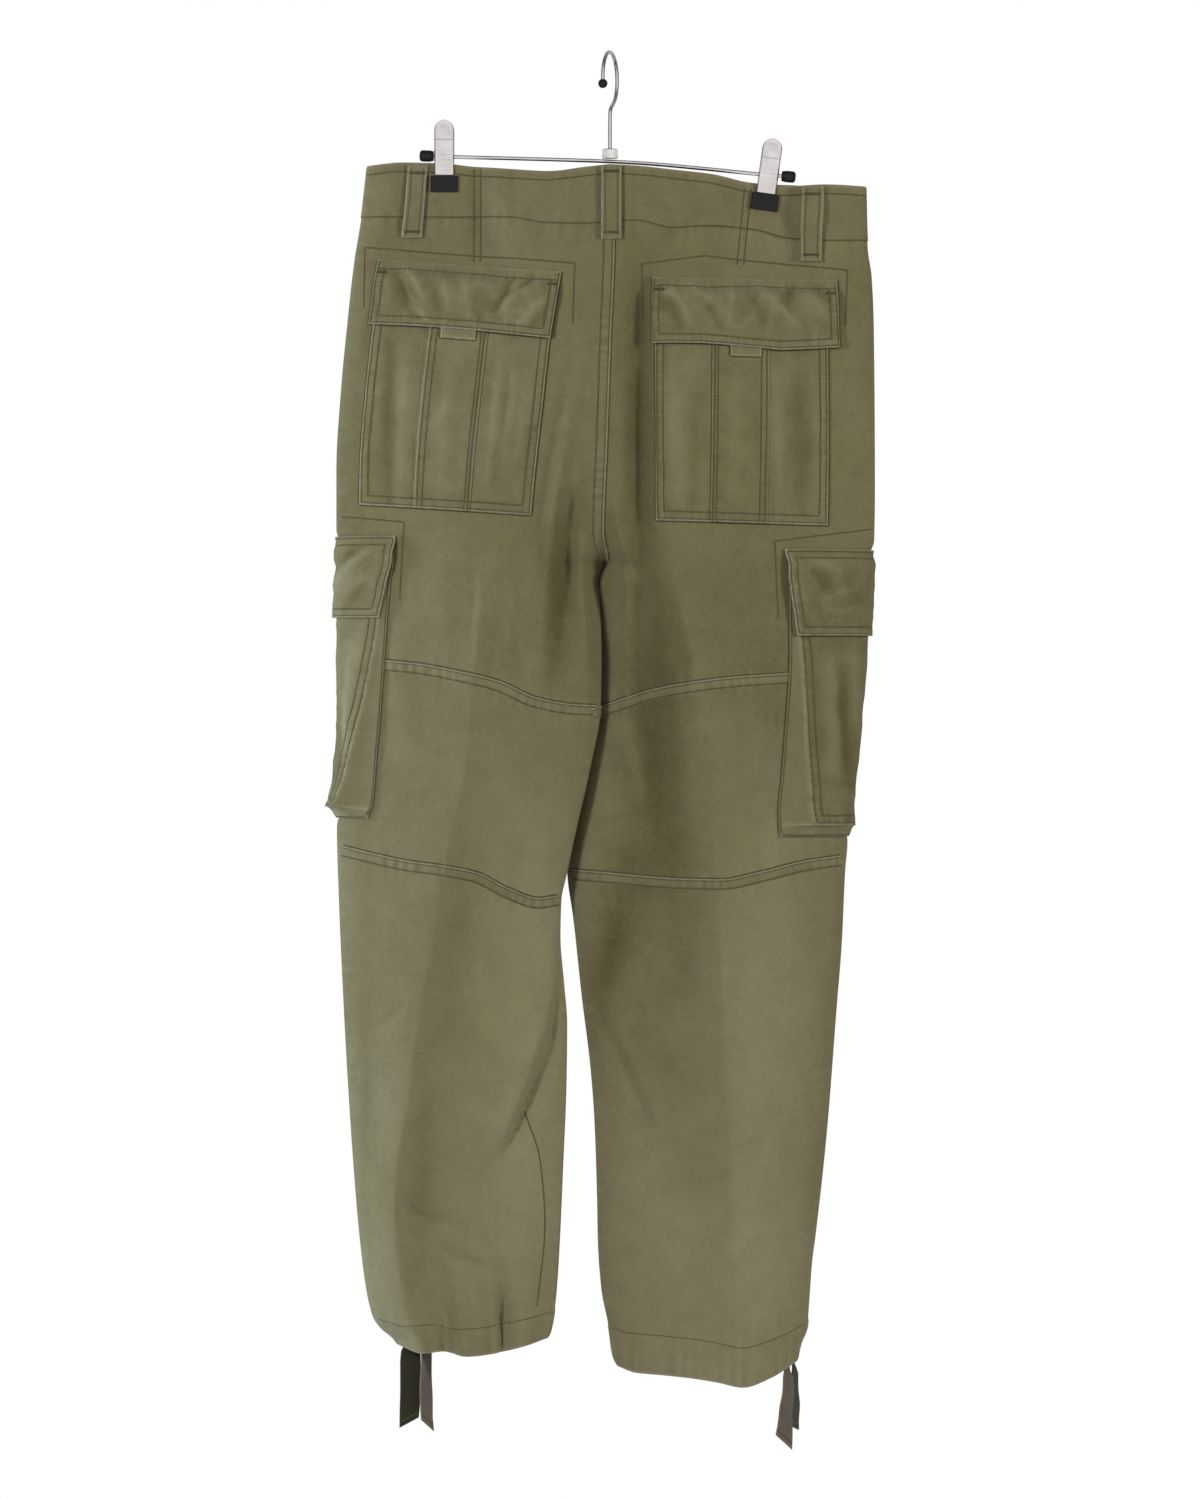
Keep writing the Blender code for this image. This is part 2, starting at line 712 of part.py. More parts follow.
def back_pocket(grids, side):
    place = OnCloth(grids, side, "back")
    cut = POCKETS[side]
    steps = (0.0, 0.12, 0.27, 0.45, 0.63, 0.81, 0.93, 1.0)
    shares, drops, lifts = [], [], []
    for step in steps:
        edge, pleat, pleat_far, far = (a + (b - a) * step for a, b in cut.values())
        mid = (pleat + pleat_far) / 2
        row = [
            edge,
            edge + 0.06 * (pleat - edge),
            edge + 0.55 * (pleat - edge),
            pleat - 0.004,
            pleat + 0.012,
            mid,
            pleat_far - 0.012,
            pleat_far + 0.004,
            far - 0.55 * (far - pleat_far),
            far - 0.06 * (far - pleat_far),
            far,
        ]
        puff = POCKET_PUFF * math.sin(math.pi * step)
        stand = [0, 0.5, 0.9, 0.7, 0.7, 1.0, 0.7, 0.7, 0.9, 0.5, 0]
        fold = [0, 0, 0, 0, 1, 1, 1, 0, 0, 0, 0]
        shares.append(row)
        top = level(side, "back", "flap_top", np.array(row)) + POCKET_MOUTH
        foot = level(side, "back", "pocket_foot", np.array(row))
        drops.append(top + (foot - top) * step)
        mouth = MOUTH_STAND * max(0.0, 1 - step / 0.2)
        lifts.append([LIE + mouth + puff * s + PLEAT * f for s, f in zip(stand, fold)])
    outer, inner = place.patch(shares, drops, lifts, POCKET_CLOTH)
    sheet_wall(f"back_pocket_{side}", outer, inner, "cloth_worn")


def back_flap(grids, side):
    """The flap is sewn to the panel along its top and lies over the pocket's mouth."""
    place = OnCloth(grids, side, "back")
    cut = FLAPS[side]
    columns = COLUMNS[side, "back"]
    centre, dip = cut["dip"]
    steps = (0.0, 0.12, 0.3, 0.5, 0.75, 1.0)
    inside = np.array(spread(cut["edge"][0], cut["far"][0], columns))
    along = (inside - inside[0]) / (inside[-1] - inside[0])
    shares, drops, lifts = [], [], []
    for step in steps:
        edge, far = (a + (b - a) * step for a, b in (cut["edge"], cut["far"]))
        row = edge + (far - edge) * along
        top = level(side, "back", "flap_top", row)
        foot = level(side, "back", "flap_foot", row) + dip * np.clip(1 - np.abs(row - centre) / 0.3, 0, 1)
        shares.append(row)
        drops.append(top + (foot - top) * step)
        over = ease((step - 0.1) / 0.2)
        belly = np.sqrt(np.clip(np.sin(np.pi * along), 0, 1))
        lifts.append(LIE + over * (POCKET_CLOTH + PLEAT + 0.4 + FLAP_BELLY * belly))
    outer, inner = place.patch(shares, drops, lifts, FLAP_CLOTH)
    sheet_wall(f"back_flap_{side}", outer, inner, "cloth_worn")


def flap_tab(grids, side):
    """A short tab between the pocket and its flap, with its end showing below the flap."""
    place = OnCloth(grids, side, "back")
    first, last = FLAPS[side]["tab"]
    _, dip = FLAPS[side]["dip"]
    shares, drops, lifts = [], [], []
    for step in (0.0, 0.35, 0.7, 1.0):
        row = np.linspace(first, last, 4)
        foot = level(side, "back", "flap_foot", row) + TAB_SHOWS + 0.5 * dip
        shares.append(row)
        drops.append(foot - TAB_LONG * (1 - step))
        lifts.append(np.full(4, LIE + POCKET_PUFF * 0.6 + PLEAT + POCKET_CLOTH + 0.5))
    outer, inner = place.patch(shares, drops, lifts, TAB_CLOTH)
    sheet_wall(f"flap_tab_{side}", outer, inner, "cloth_worn")


# Cargo pockets, wrapped round the side seam. "back" and "front" are the shares where the sides are sewn
# to the leg at the mouth and at the foot, "face" is where the face's own back edge comes, and "out" is how
# far the face stands out at the foot.
CARGO = {
    "left": {
        "back": (0.20, 0.13),
        "face": (0.185, 0.012),
        "front": 0.50,
        "mouth": 448.0,
        "foot": 674.0,
        "sewn_foot": 682.0,
        "out": 14.0,
        "flap": (0.225, 0.163),
        "flap_top": 430.0,
        "flap_foot": 503.0,
    },
    "right": {
        "back": (0.29, 0.245),
        "face": (0.272, 0.13),
        "front": 0.42,
        "mouth": 458.0,
        "foot": 688.0,
        "sewn_foot": 698.0,
        "out": 8.0,
        "flap": (0.325, 0.262),
        "flap_top": 442.0,
        "flap_foot": 519.0,
    },
}
CARGO_ROWS = (0.0, 0.16, 0.34, 0.52, 0.7, 0.85, 0.95, 1.0)
FRONT_SPREAD = (0.08, 0.25, 0.5, 0.75, 1.0)
CARGO_LIFT = 3.0
CARGO_DEEPENS = 4.0


def round_the_side(back, front):
    """Signed shares from the back, round the side seam, to the front."""
    turn = 0.035 * min(1.0, back / 0.1)
    return [back, turn + 0.45 * (back - turn), turn, 0.0] + [-front * s for s in FRONT_SPREAD]


def cargo_face(place, cut, share, drop, extra=0.0):
    """A point of the pocket's face, or of what lies on it."""
    step = max(0.0, (drop - cut["mouth"]) / (cut["foot"] - cut["mouth"]))
    stand = CARGO_LIFT + (cut["out"] - CARGO_LIFT) * step**CARGO_DEEPENS
    point, normal = place.at(share, drop, LIE)
    sideways = np.array([-1.0 if place.side == "left" else 1.0, 0.0, 0.0])
    away = unit(normal * 0.7 + sideways * 0.3)
    return point + away * (stand + extra), normal


def cargo_pocket(grids, side):
    """A bellows pocket: its face stands out from the leg on a gusset that deepens toward the foot."""
    place = OnCloth(grids, side, "back")
    cut = CARGO[side]
    points, bases = [], []
    for step in CARGO_ROWS:
        edge = cut["face"][0] + (cut["face"][1] - cut["face"][0]) * step**1.3
        seam = cut["back"][0] + (cut["back"][1] - cut["back"][0]) * step
        drop = cut["mouth"] + (cut["foot"] - cut["mouth"]) * step
        row = [place.at(seam, drop, LIE)]
        row += [cargo_face(place, cut, share, drop) for share in round_the_side(edge, cut["front"] - 0.04)]
        row.append(place.at(-cut["front"], drop, LIE))
        points.append([point for point, _ in row])
        bases.append([base for _, base in row])
    shares = round_the_side(cut["back"][1] - 0.02, cut["front"] - 0.02)
    foot = [place.at(share, cut["sewn_foot"], LIE) for share in [cut["back"][1]] + shares + [-cut["front"]]]
    points.append([point for point, _ in foot])
    bases.append([base for _, base in foot])
    outer, bases = np.array(points), np.array(bases)
    normals = grid_normals(outer, bases)
    # the sewn edges stand on the leg by their own thickness
    sewn = np.zeros(outer.shape[:2])
    sewn[:, 0] = sewn[:, -1] = sewn[-1] = POCKET_CLOTH + 0.4
    outer = outer + bases * sewn[..., None] * np.clip((normals * bases).sum(-1), 0.2, 1)[..., None]
    sheet_wall(f"cargo_pocket_{side}", outer, outer - normals * POCKET_CLOTH, "cloth_worn")


def cargo_flap(grids, side):
    place = OnCloth(grids, side, "back")
    cut = CARGO[side]
    outer, inner = [], []
    for step in (0.0, 0.1, 0.2, 0.35, 0.55, 0.78, 1.0):
        edge = cut["flap"][0] + (cut["flap"][1] - cut["flap"][0]) * step
        drop = cut["flap_top"] + (cut["flap_foot"] - cut["flap_top"]) * step
        over = float(ease(step / 0.2))
        row = []
        for share in round_the_side(edge, cut["front"] + 0.02):
            low, normal = place.at(share, drop, LIE)
            high, _ = cargo_face(place, cut, share, drop, 1.8)
            row.append((low + (high - low) * over, normal))
        inner.append([point for point, _ in row])
        outer.append([point + normal * FLAP_CLOTH for point, normal in row])
    sheet_wall(f"cargo_flap_{side}", np.array(outer), np.array(inner), "cloth_worn")


# Belt loops: x at the top and at the foot, the drops of both, and the face
LOOPS = {
    "belt_loop_back_left": ("back", -172.6, -178.2, 99.5, 165.0),
    "belt_loop_back_centre": ("back", 0.4, 0.2, 100.5, 167.0),
    "belt_loop_back_right": ("back", 180.6, 178.8, 118.8, 186.0),
    "belt_loop_front_left": ("front", -86.0, -88.0, 108.0, 173.0),
    "belt_loop_front_right": ("front", 84.0, 86.0, 112.0, 178.0),
}
LOOP_WIDE = 18.0
LOOP_BOW = 1.8


def on_face(grids, face, x, drop, lift):
    """A point above the built wall at this x, on whichever half it falls."""
    middle = float(through(INNER["left"]["drop"], INNER["left"]["x"], drop))
    side = "left" if x < middle else "right"
    outer = float(through(OUTER[side]["drop"], OUTER[side]["x"], drop))
    inner = float(through(INNER[side]["drop"], INNER[side]["x"], drop))
    return OnCloth(grids, side, face).at((x - outer) / (inner - outer), drop, lift)


def belt_loop(grids, name):
    face, x_top, x_foot, top, foot = LOOPS[name]
    outer, inner = [], []
    for step in (0.0, 0.08, 0.3, 0.55, 0.8, 1.0):
        drop = top + (foot - top) * step
        centre = x_top + (x_foot - x_top) * step
        lift = LIE + BAND_RAISE + LOOP_BOW * math.sin(math.pi * step) ** 0.7
        row = [on_face(grids, face, centre + LOOP_WIDE * s, drop, lift) for s in (-0.5, -0.17, 0.17, 0.5)]
        flat = unit(np.mean([normal for _, normal in row], axis=0))
        inner.append([point for point, _ in row])
        outer.append([point + flat * LOOP_CLOTH for point, _ in row])
    sheet_wall(name, np.array(outer), np.array(inner), "cloth_worn")


# Fly placket on the wearer's left front: drop below the waist seam and the share of its free edge
FLY = table(
    "below edge",
    (1, 0.80),
    (60, 0.80),
    (110, 0.80),
    (135, 0.815),
    (152, 0.85),
    (163, 0.91),
    (168, 0.96),
)
FLY_INNER = 0.993
BUTTON_RADIUS = 8.5
BUTTON_THICK = 3.0


def fly_placket(grids):
    place = OnCloth(grids, "left", "front")
    columns = (0.0, 0.3, 0.6, 0.85, 1.0)
    shares, drops = [], []
    for below, edge in zip(FLY["below"], FLY["edge"]):
        row = np.array([edge + (FLY_INNER - edge) * c for c in columns])
        shares.append(row)
        drops.append(level("left", "front", "waist_seam", row) + below)
    lifts = np.full((len(shares), len(columns)), LIE)
    outer, inner = place.patch(shares, drops, lifts, FLAP_CLOTH)
    sheet_wall("fly_placket", outer, inner, "cloth_worn")


def turned_disc(name, radius, thick, point, axis, finish):
    """A disc with eased edges, standing on a point along an axis."""
    bm = bmesh.new()
    bmesh.ops.create_cone(
        bm, cap_ends=True, segments=16, radius1=radius * MM, radius2=radius * MM, depth=thick * MM
    )
    rim = [e for e in bm.edges if abs(e.verts[0].co.z - e.verts[1].co.z) < 1e-9]
    bmesh.ops.bevel(bm, geom=rim, offset=0.6 * MM, segments=1, profile=0.5, affect="EDGES")
    turn = Vector((0, 0, 1)).rotation_difference(Vector(axis)).to_matrix().to_4x4()
    centre = Vector(point) * MM + Vector(axis).normalized() * thick * MM / 2
    bmesh.ops.transform(bm, matrix=Matrix.Translation(centre) @ turn, verts=bm.verts)
    mesh = bpy.data.meshes.new(name)
    bm.to_mesh(mesh)
    bm.free()
    mesh.shade_smooth()
    mesh.set_sharp_from_angle(angle=math.radians(40))
    return add_object(name, mesh, finish)


def waist_button(grids):
    seam = float(level("left", "front", "waist_seam", 1.0))
    top = float(level("left", "front", "waist_top", 1.0))
    point, normal = on_face(grids, "front", -14.0, (seam + top) / 2, BAND_RAISE + LIE)
    turned_disc("waist_button", BUTTON_RADIUS, BUTTON_THICK, point, normal, "button")


# Hem ties: flat tapes that hang from inside the hem tunnels near the side seams. Each row gives the
# middle of the tape, half its width, and how far the tape is turned about the vertical. "slant" is how
# much lower the tape's +X corner is cut than its -X corner.
TIES = {
    "hem_tie_left_outer": (
        table(
            "drop x y half turn",
            (1143, -177.5, 1.0, 4.0, 0),
            (1150, -177.8, 1.0, 5.5, 0),
            (1157, -178.7, 1.0, 8.6, 3),
            (1170, -178.9, 1.0, 9.3, 8),
            (1190, -178.8, 1.0, 9.3, 6),
            (1208, -179.6, 1.5, 9.3, 12),
            (1221, -180.0, 2.0, 9.0, 18),
        ),
        -9.0,
    ),
    "hem_tie_left_inner": (
        table(
            "drop x y half turn",
            (1143, -164.5, -4.0, 5.0, 40),
            (1150, -164.5, -4.5, 6.5, 52),
            (1162, -164.8, -5.5, 9.0, 58),
            (1176, -164.6, -6.0, 9.3, 60),
            (1194, -165.0, -6.0, 9.3, 58),
            (1210, -164.2, -6.0, 9.3, 55),
            (1223, -163.6, -6.0, 9.0, 50),
        ),
        11.0,
    ),
    "hem_tie_right_inner": (
        table(
            "drop x y half turn",
            (1160, 154.6, 0.5, 3.6, 20),
            (1168, 156.2, -0.6, 3.8, 42),
            (1174, 157.2, -2.6, 4.8, 56),
            (1181, 158.0, -5.2, 9.0, 62),
            (1192, 157.6, -6.5, 9.3, 60),
            (1208, 156.2, -6.5, 9.3, 50),
            (1224, 155.0, -6.0, 9.3, 42),
            (1238, 154.2, -5.5, 9.0, 38),
        ),
        14.0,
    ),
    "hem_tie_right_outer": (
        table(
            "drop x y half turn",
            (1168, 162.6, 4.4, 2.4, 66),
            (1172, 163.4, 7.0, 4.2, 68),
            (1180, 164.4, 12.0, 8.4, 72),
            (1192, 165.0, 14.0, 9.3, 72),
            (1206, 165.2, 14.5, 9.3, 68),
            (1218, 165.0, 14.5, 9.3, 72),
            (1227, 164.8, 14.0, 9.0, 74),
        ),
        4.0,
    ),
}


def hem_tie(name):
    rows, slant = TIES[name]
    outer, inner = [], []
    span = rows["drop"][-1] - rows["drop"][0]
    for drop, x, y, half, turn in zip(*(rows[c] for c in ("drop", "x", "y", "half", "turn"))):
        angle = math.radians(turn)
        wide = np.array([math.cos(angle), math.sin(angle), 0.0])
        normal = np.array([math.sin(angle), -math.cos(angle), 0.0])
        low = ((drop - rows["drop"][0]) / span) ** 3
        line = []
        for share in (-1.0, -0.33, 0.33, 1.0):
            line.append(np.array([x, y, -drop - slant * share * low / 2]) + wide * half * share)
        inner.append([p - normal * TIE_CLOTH / 2 for p in line])
        outer.append([p + normal * TIE_CLOTH / 2 for p in line])
    sheet_wall(name, np.array(outer), np.array(inner), "tie")


def wire(name, points, radius, finish, resolution=3):
    """A round wire along points in millimetres."""
    curve = bpy.data.curves.new(name, "CURVE")
    curve.dimensions = "3D"
    curve.bevel_depth = radius * MM
    curve.bevel_resolution = resolution
    curve.use_fill_caps = True
    spline = curve.splines.new("POLY")
    spline.points.add(len(points) - 1)
    for knot, point in zip(spline.points, points):
        knot.co = (*(Vector(point) * MM), 1.0)
    spline.use_smooth = True
    curve.materials.append(material(finish))
    obj = bpy.data.objects.new(name, curve)
    bpy.data.collections[COLLECTION].objects.link(obj)
    return obj


def hanger_bar():
    ends = BAR["x"][0], BAR["x"][-1]
    points = [(x, 0.0, -float(bar_drop(x))) for x in np.linspace(*ends, 15)]
    wire("hanger_bar", points, BAR_RADIUS, "chrome", 2)
    for name, end, near in (("left", points[0], points[1]), ("right", points[-1], points[-2])):
        out = unit(np.array(end) - np.array(near))
        foot = np.array(end) + out * SEAM_GAP
        turned_disc(f"bar_cap_{name}", CAP_RADIUS, CAP_LONG, foot, out, "black_rubber")


def hook_points():
    """The shaft, an easy bend into the round, and the round over the crown down to the tip."""
    turn = np.array([math.sin(HOOK_TURN), math.cos(HOOK_TURN), 0.0])
    centre = HOOK_RADIUS - HOOK_ROUND
    flat = [(0.0, -COLLAR_TOP + SEAM_GAP), (0.0, -72.0), (0.0, -62.0)]
    first = math.radians(-48)
    join = (HOOK_ROUND * math.cos(first), centre + HOOK_ROUND * math.sin(first))
    lead = (-math.sin(first), math.cos(first))
    knots = ((0.0, -55.0), (0.0, -46.5), (join[0] - 9 * lead[0], join[1] - 9 * lead[1]), join)
    for k in range(1, 7):
        u = k / 6
        mix = ((1 - u) ** 3, 3 * u * (1 - u) ** 2, 3 * u * u * (1 - u), u**3)
        flat.append(tuple(sum(m * knot[axis] for m, knot in zip(mix, knots)) for axis in (0, 1)))
    for k in range(1, 22):
        angle = first + (math.radians(186) - first) * k / 21
        flat.append((HOOK_ROUND * math.cos(angle), centre + HOOK_ROUND * math.sin(angle)))
    base = np.array([HOOK_X, 0.0, 0.0])
    return [base + turn * q + np.array([0, 0, z]) for q, z in flat]


def hanger_hook():
    points = hook_points()
    wire("hanger_hook", points, HOOK_RADIUS, "chrome", 2)
    end = points[-1] + unit(points[-1] - points[-2]) * (TIP_RADIUS + SEAM_GAP)
    bm = bmesh.new()
    bmesh.ops.create_uvsphere(bm, u_segments=14, v_segments=9, radius=TIP_RADIUS * MM)
    bmesh.ops.translate(bm, verts=bm.verts, vec=Vector(end) * MM)
    mesh = bpy.data.meshes.new("hook_tip")
    bm.to_mesh(mesh)
    bm.free()
    mesh.shade_smooth()
    add_object("hook_tip", mesh, "black_rubber")
    top = np.array([HOOK_X, 0.0, -COLLAR_FOOT])
    turned_disc("hanger_collar", COLLAR_RADIUS, COLLAR_FOOT - COLLAR_TOP, top, (0, 0, 1), "chrome")


# One clip plate, from its rounded finger end down to the jaw: below the bar, out from the middle, half width
PLATE = table(
    "below out half",
    (-32.0, 13.4, 4.6),
    (-30.6, 13.2, 7.2),
    (-27.5, 12.6, 8.9),
    (-14.0, 9.4, 8.9),
    (-8.0, 8.6, 8.9),
    (2.0, 6.9, 8.9),
    (10.0, 6.4, 8.9),
    (16.8, 6.0, 8.9),
)
SPRING = {"inside": 2.3, "outside": 4.6, "long": 12.0}


def clip(side):
    """Two sheet plates on a spring round the bar, each with a rubber pad that bears on the waistband."""
    cut = CLIPS[side]
    home = Vector((cut["x"], 0, -float(bar_drop(cut["x"])))) * MM
    place = Matrix.Translation(home) @ Matrix.Rotation(math.radians(cut["tilt"]), 4, "Y")
    for face, sign in (("back", -1.0), ("front", 1.0)):
        rows = zip(*(PLATE[c] for c in ("below", "out", "half")))
        outer, inner = [], []
        for below, out, half in rows:
            line = [np.array([half * s, sign * out, -below]) for s in (-1.0, -0.4, 0.4, 1.0)]
            outer.append(line)
            inner.append([p - np.array([0, sign * CLIP_PLATE, 0]) for p in line])
        plate = sheet_wall(f"clip_{side}_{face}_plate", np.array(outer), np.array(inner), "chrome")
        plate.data.transform(place)
        bm = bmesh.new()
        bmesh.ops.create_cube(bm, size=1.0)
        size = Vector((PAD_WIDE, PAD_DEEP, PAD_FOOT - PAD_TOP)) * MM
        bmesh.ops.scale(bm, vec=size, verts=bm.verts)
        out = PINCH + BAND_RAISE + SEAM_GAP + PAD_DEEP / 2
        bmesh.ops.translate(bm, verts=bm.verts, vec=Vector((0, sign * out, -(PAD_TOP + PAD_FOOT) / 2)) * MM)
        bmesh.ops.bevel(bm, geom=bm.edges[:], offset=1.1 * MM, segments=2, profile=0.5, affect="EDGES")
        mesh = bpy.data.meshes.new(f"clip_{side}_{face}_pad")
        bm.to_mesh(mesh)
        bm.free()
        mesh.transform(place)
        mesh.shade_smooth()
        mesh.set_sharp_from_angle(angle=math.radians(40))
        add_object(mesh.name, mesh, "black_rubber")
    ring = bpy.data.meshes.new(f"clip_{side}_spring")
    bm = bmesh.new()
    corners = ((1, "inside"), (1, "outside"), (-1, "outside"), (-1, "inside"))
    loop = [bm.verts.new(Vector((end * SPRING["long"] / 2, 0, SPRING[edge])) * MM) for end, edge in corners]
    edges = [bm.edges.new((loop[k], loop[(k + 1) % 4])) for k in range(4)]
    bmesh.ops.spin(
        bm,
        geom=loop + edges,
        cent=(0, 0, 0),
        axis=(1, 0, 0),
        angle=2 * math.pi,
        steps=14,
        use_merge=True,
    )
    bmesh.ops.recalc_face_normals(bm, faces=bm.faces[:])
    bm.to_mesh(ring)
    bm.free()
    slope = math.degrees(math.atan2(float(bar_drop(cut["x"] + 5) - bar_drop(cut["x"] - 5)), 10))
    ring.transform(Matrix.Translation(home) @ Matrix.Rotation(math.radians(slope), 4, "Y"))
    add_object(ring.name, ring, "chrome")


def grid_normals(points, toward):
    """Unit normals of a grid from its own rows and columns, on the side that the given directions face."""
    down = np.gradient(points, axis=0)
    across = np.gradient(points, axis=1)
    normals = unit(np.cross(across, down))
    return normals if (normals * toward).sum() > 0 else -normals


def main():
    for obj in list(bpy.data.objects):
        bpy.data.objects.remove(obj)
    bpy.context.scene.collection.children.link(bpy.data.collections.new(COLLECTION))
    grids = mesh_of_halves()
    main_panels(grids)
    waistband(grids)
    for side in ("left", "right"):
        back_pocket(grids, side)
        back_flap(grids, side)
        flap_tab(grids, side)
        cargo_pocket(grids, side)
        cargo_flap(grids, side)
        clip(side)
    for name in LOOPS:
        belt_loop(grids, name)
    for name in TIES:
        hem_tie(name)
    fly_placket(grids)
    waist_button(grids)
    hanger_bar()
    hanger_hook()


main()
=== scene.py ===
"""Olive cargo trousers hung by the waistband from a clip hanger, with their seams and stitching.

Lengths in the tables are in millimetres, and "drop" is the distance below the underside of the
hook's crown. The back faces -Y and the wearer's left is at -X. A point of the cloth is named by its
side, its face (back or front), its share across that face from the side seam (0) to the middle (1),
and its drop.
"""

import math

import bmesh
import bpy
import numpy as np
from mathutils import Matrix, Vector, noise
from mathutils.bvhtree import BVHTree


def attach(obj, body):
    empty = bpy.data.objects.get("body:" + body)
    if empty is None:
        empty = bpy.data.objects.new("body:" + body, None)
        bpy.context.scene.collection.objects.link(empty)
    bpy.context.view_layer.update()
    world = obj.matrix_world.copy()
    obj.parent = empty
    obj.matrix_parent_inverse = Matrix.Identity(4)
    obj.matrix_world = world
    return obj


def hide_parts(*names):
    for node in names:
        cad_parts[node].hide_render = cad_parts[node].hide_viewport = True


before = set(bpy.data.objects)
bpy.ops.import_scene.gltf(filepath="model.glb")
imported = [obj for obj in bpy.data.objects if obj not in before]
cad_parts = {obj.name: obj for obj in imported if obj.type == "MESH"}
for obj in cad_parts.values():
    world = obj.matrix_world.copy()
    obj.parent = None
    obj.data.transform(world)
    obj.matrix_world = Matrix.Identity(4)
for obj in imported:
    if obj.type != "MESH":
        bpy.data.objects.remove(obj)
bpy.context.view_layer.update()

MM = 0.001

# Cloth and seams, in millimetres
CLOTH = 1.5
BAND_CLOTH = 2.4
BAND_RAISE = 0.6
FLAP_CLOTH = 1.8
POCKET_CLOTH = 1.3
POCKET_PUFF = 2.5
PLEAT = 1.5
FLAP_BELLY = 3.9
TAB_CLOTH = 1.0
LOOP_CLOTH = 1.8
TIE_CLOTH = 1.2
SEAM_GAP = 0.32
LIE = 1.0
HEM_RAISE = 0.9

# Hanger, in millimetres
BAR_RADIUS = 1.75
HOOK_RADIUS = 1.7
HOOK_ROUND = 24.0
HOOK_TURN = math.radians(15.5)
HOOK_X = -0.9
COLLAR_TOP = 84.7
COLLAR_FOOT = 93.4
COLLAR_RADIUS = 7.4
TIP_RADIUS = 4.2
CAP_RADIUS = 5.2
CAP_LONG = 12.8
CLIP_PLATE = 1.0
PAD_WIDE = 24.0
PAD_DEEP = 3.4
PAD_TOP = 17.2
PAD_FOOT = 32.0
PINCH = 2.6
PINCH_FLAT = 17.0
PINCH_FADE = 150.0

# The seat's section turns into two legs' sections from FORK_TOP to FORK_DROP beside the middle, and
# from PART_TOP to PART_FOOT out at the sides; PART_NEAR is how close to the middle the first holds.
# The others say how round the sections are and how the folds die away (powers of the share)
FORK_TOP = 380.0
FORK_DROP = 454.0
PART_TOP = 350.0
PART_FOOT = 530.0
PART_NEAR = 5.0
SEAT_SPREAD = 2.4
SEAT_FULL = 0.55
LEG_FULL = 0.8
CREASE_SHARP = 1.08
EDGE_ROUND = 0.2
FOLD_TAPER = 0.7
LAP_EDGE = 1.1


def table(names, *rows):
    """The rows as one array for each named column."""
    return dict(zip(names.split(), np.array(rows, float).T))


# The bar's line: it bends a little under the collar and sinks to the right.
BAR = table(
    "x drop",
    (-158.0, 91.2),
    (-136.0, 91.9),
    (-60.0, 93.9),
    (-10.0, 95.5),
    (26.0, 97.3),
    (80.0, 102.0),
    (130.0, 107.0),
    (152.0, 108.9),
)

CLIPS = {
    "left": {"x": -148.7, "tilt": 0.0},
    "right": {"x": 140.5, "tilt": 8.0},
}

# Side seam (outer) and centre or inside leg seam (inner) of each half, by drop
OUTER = {
    "left": table(
        "drop x",
        (96, -217), (148, -223), (185, -229), (243, -235.5), (301, -241), (371, -245),
        (424, -245), (440, -240.5), (460, -239), (505, -241), (620, -240.5), (665, -239.5),
        (690, -244.5), (747, -243), (849, -238.5), (929, -234), (1008, -228.5), (1058, -224),
        (1101, -218.5), (1121, -214), (1136, -205), (1145, -194), (1158, -188),
    ),
    "right": table(
        "drop x",
        (96, 227), (173, 229), (198, 232.5), (245, 234.5), (389, 235.5), (434, 234.8),
        (450, 229.5), (493, 226.5), (541, 224.5), (590, 219.8), (648, 213.5), (674, 209.5),
        (688, 209.3), (702, 211), (728, 209), (792, 206), (849, 201.5), (963, 192.5),
        (1058, 182), (1077, 179.5), (1111, 177), (1135, 175), (1151, 169), (1166, 166),
    ),
}
INNER = {
    "left": table(
        "drop x",
        (99, -1.3), (168, -1.3), (255, -4.5), (344, -7.6), (427, -10.7), (454, -6.2),
        (470, -12), (487, -10), (540, -8.4), (585, -9.2), (630, -17), (701, -33), (733, -39.6),
        (755, -44.2), (788, -45), (826, -42), (866, -39), (917, -39.6), (997, -42.8),
        (1058, -45.5), (1110, -49), (1138, -53.5), (1147, -57),
    ),
    "right": table(
        "drop x",
        (99, -1.3), (168, -1.3), (255, -4.5), (344, -7.6), (427, -10.7), (454, -6.2),
        (462, -9.8), (470, -13), (487, -13.5), (505, -15), (540, -16.5), (576, -21),
        (612, -28), (665, -36.5), (708, -40), (733, -39), (769, -34), (842, -26), (906, -18.2),
        (952, -14.8), (1020, -12.5), (1058, -11.8), (1102, -8.6), (1135, -2.1), (1161, 1.8),
        (1170, 5.8),
    ),
}

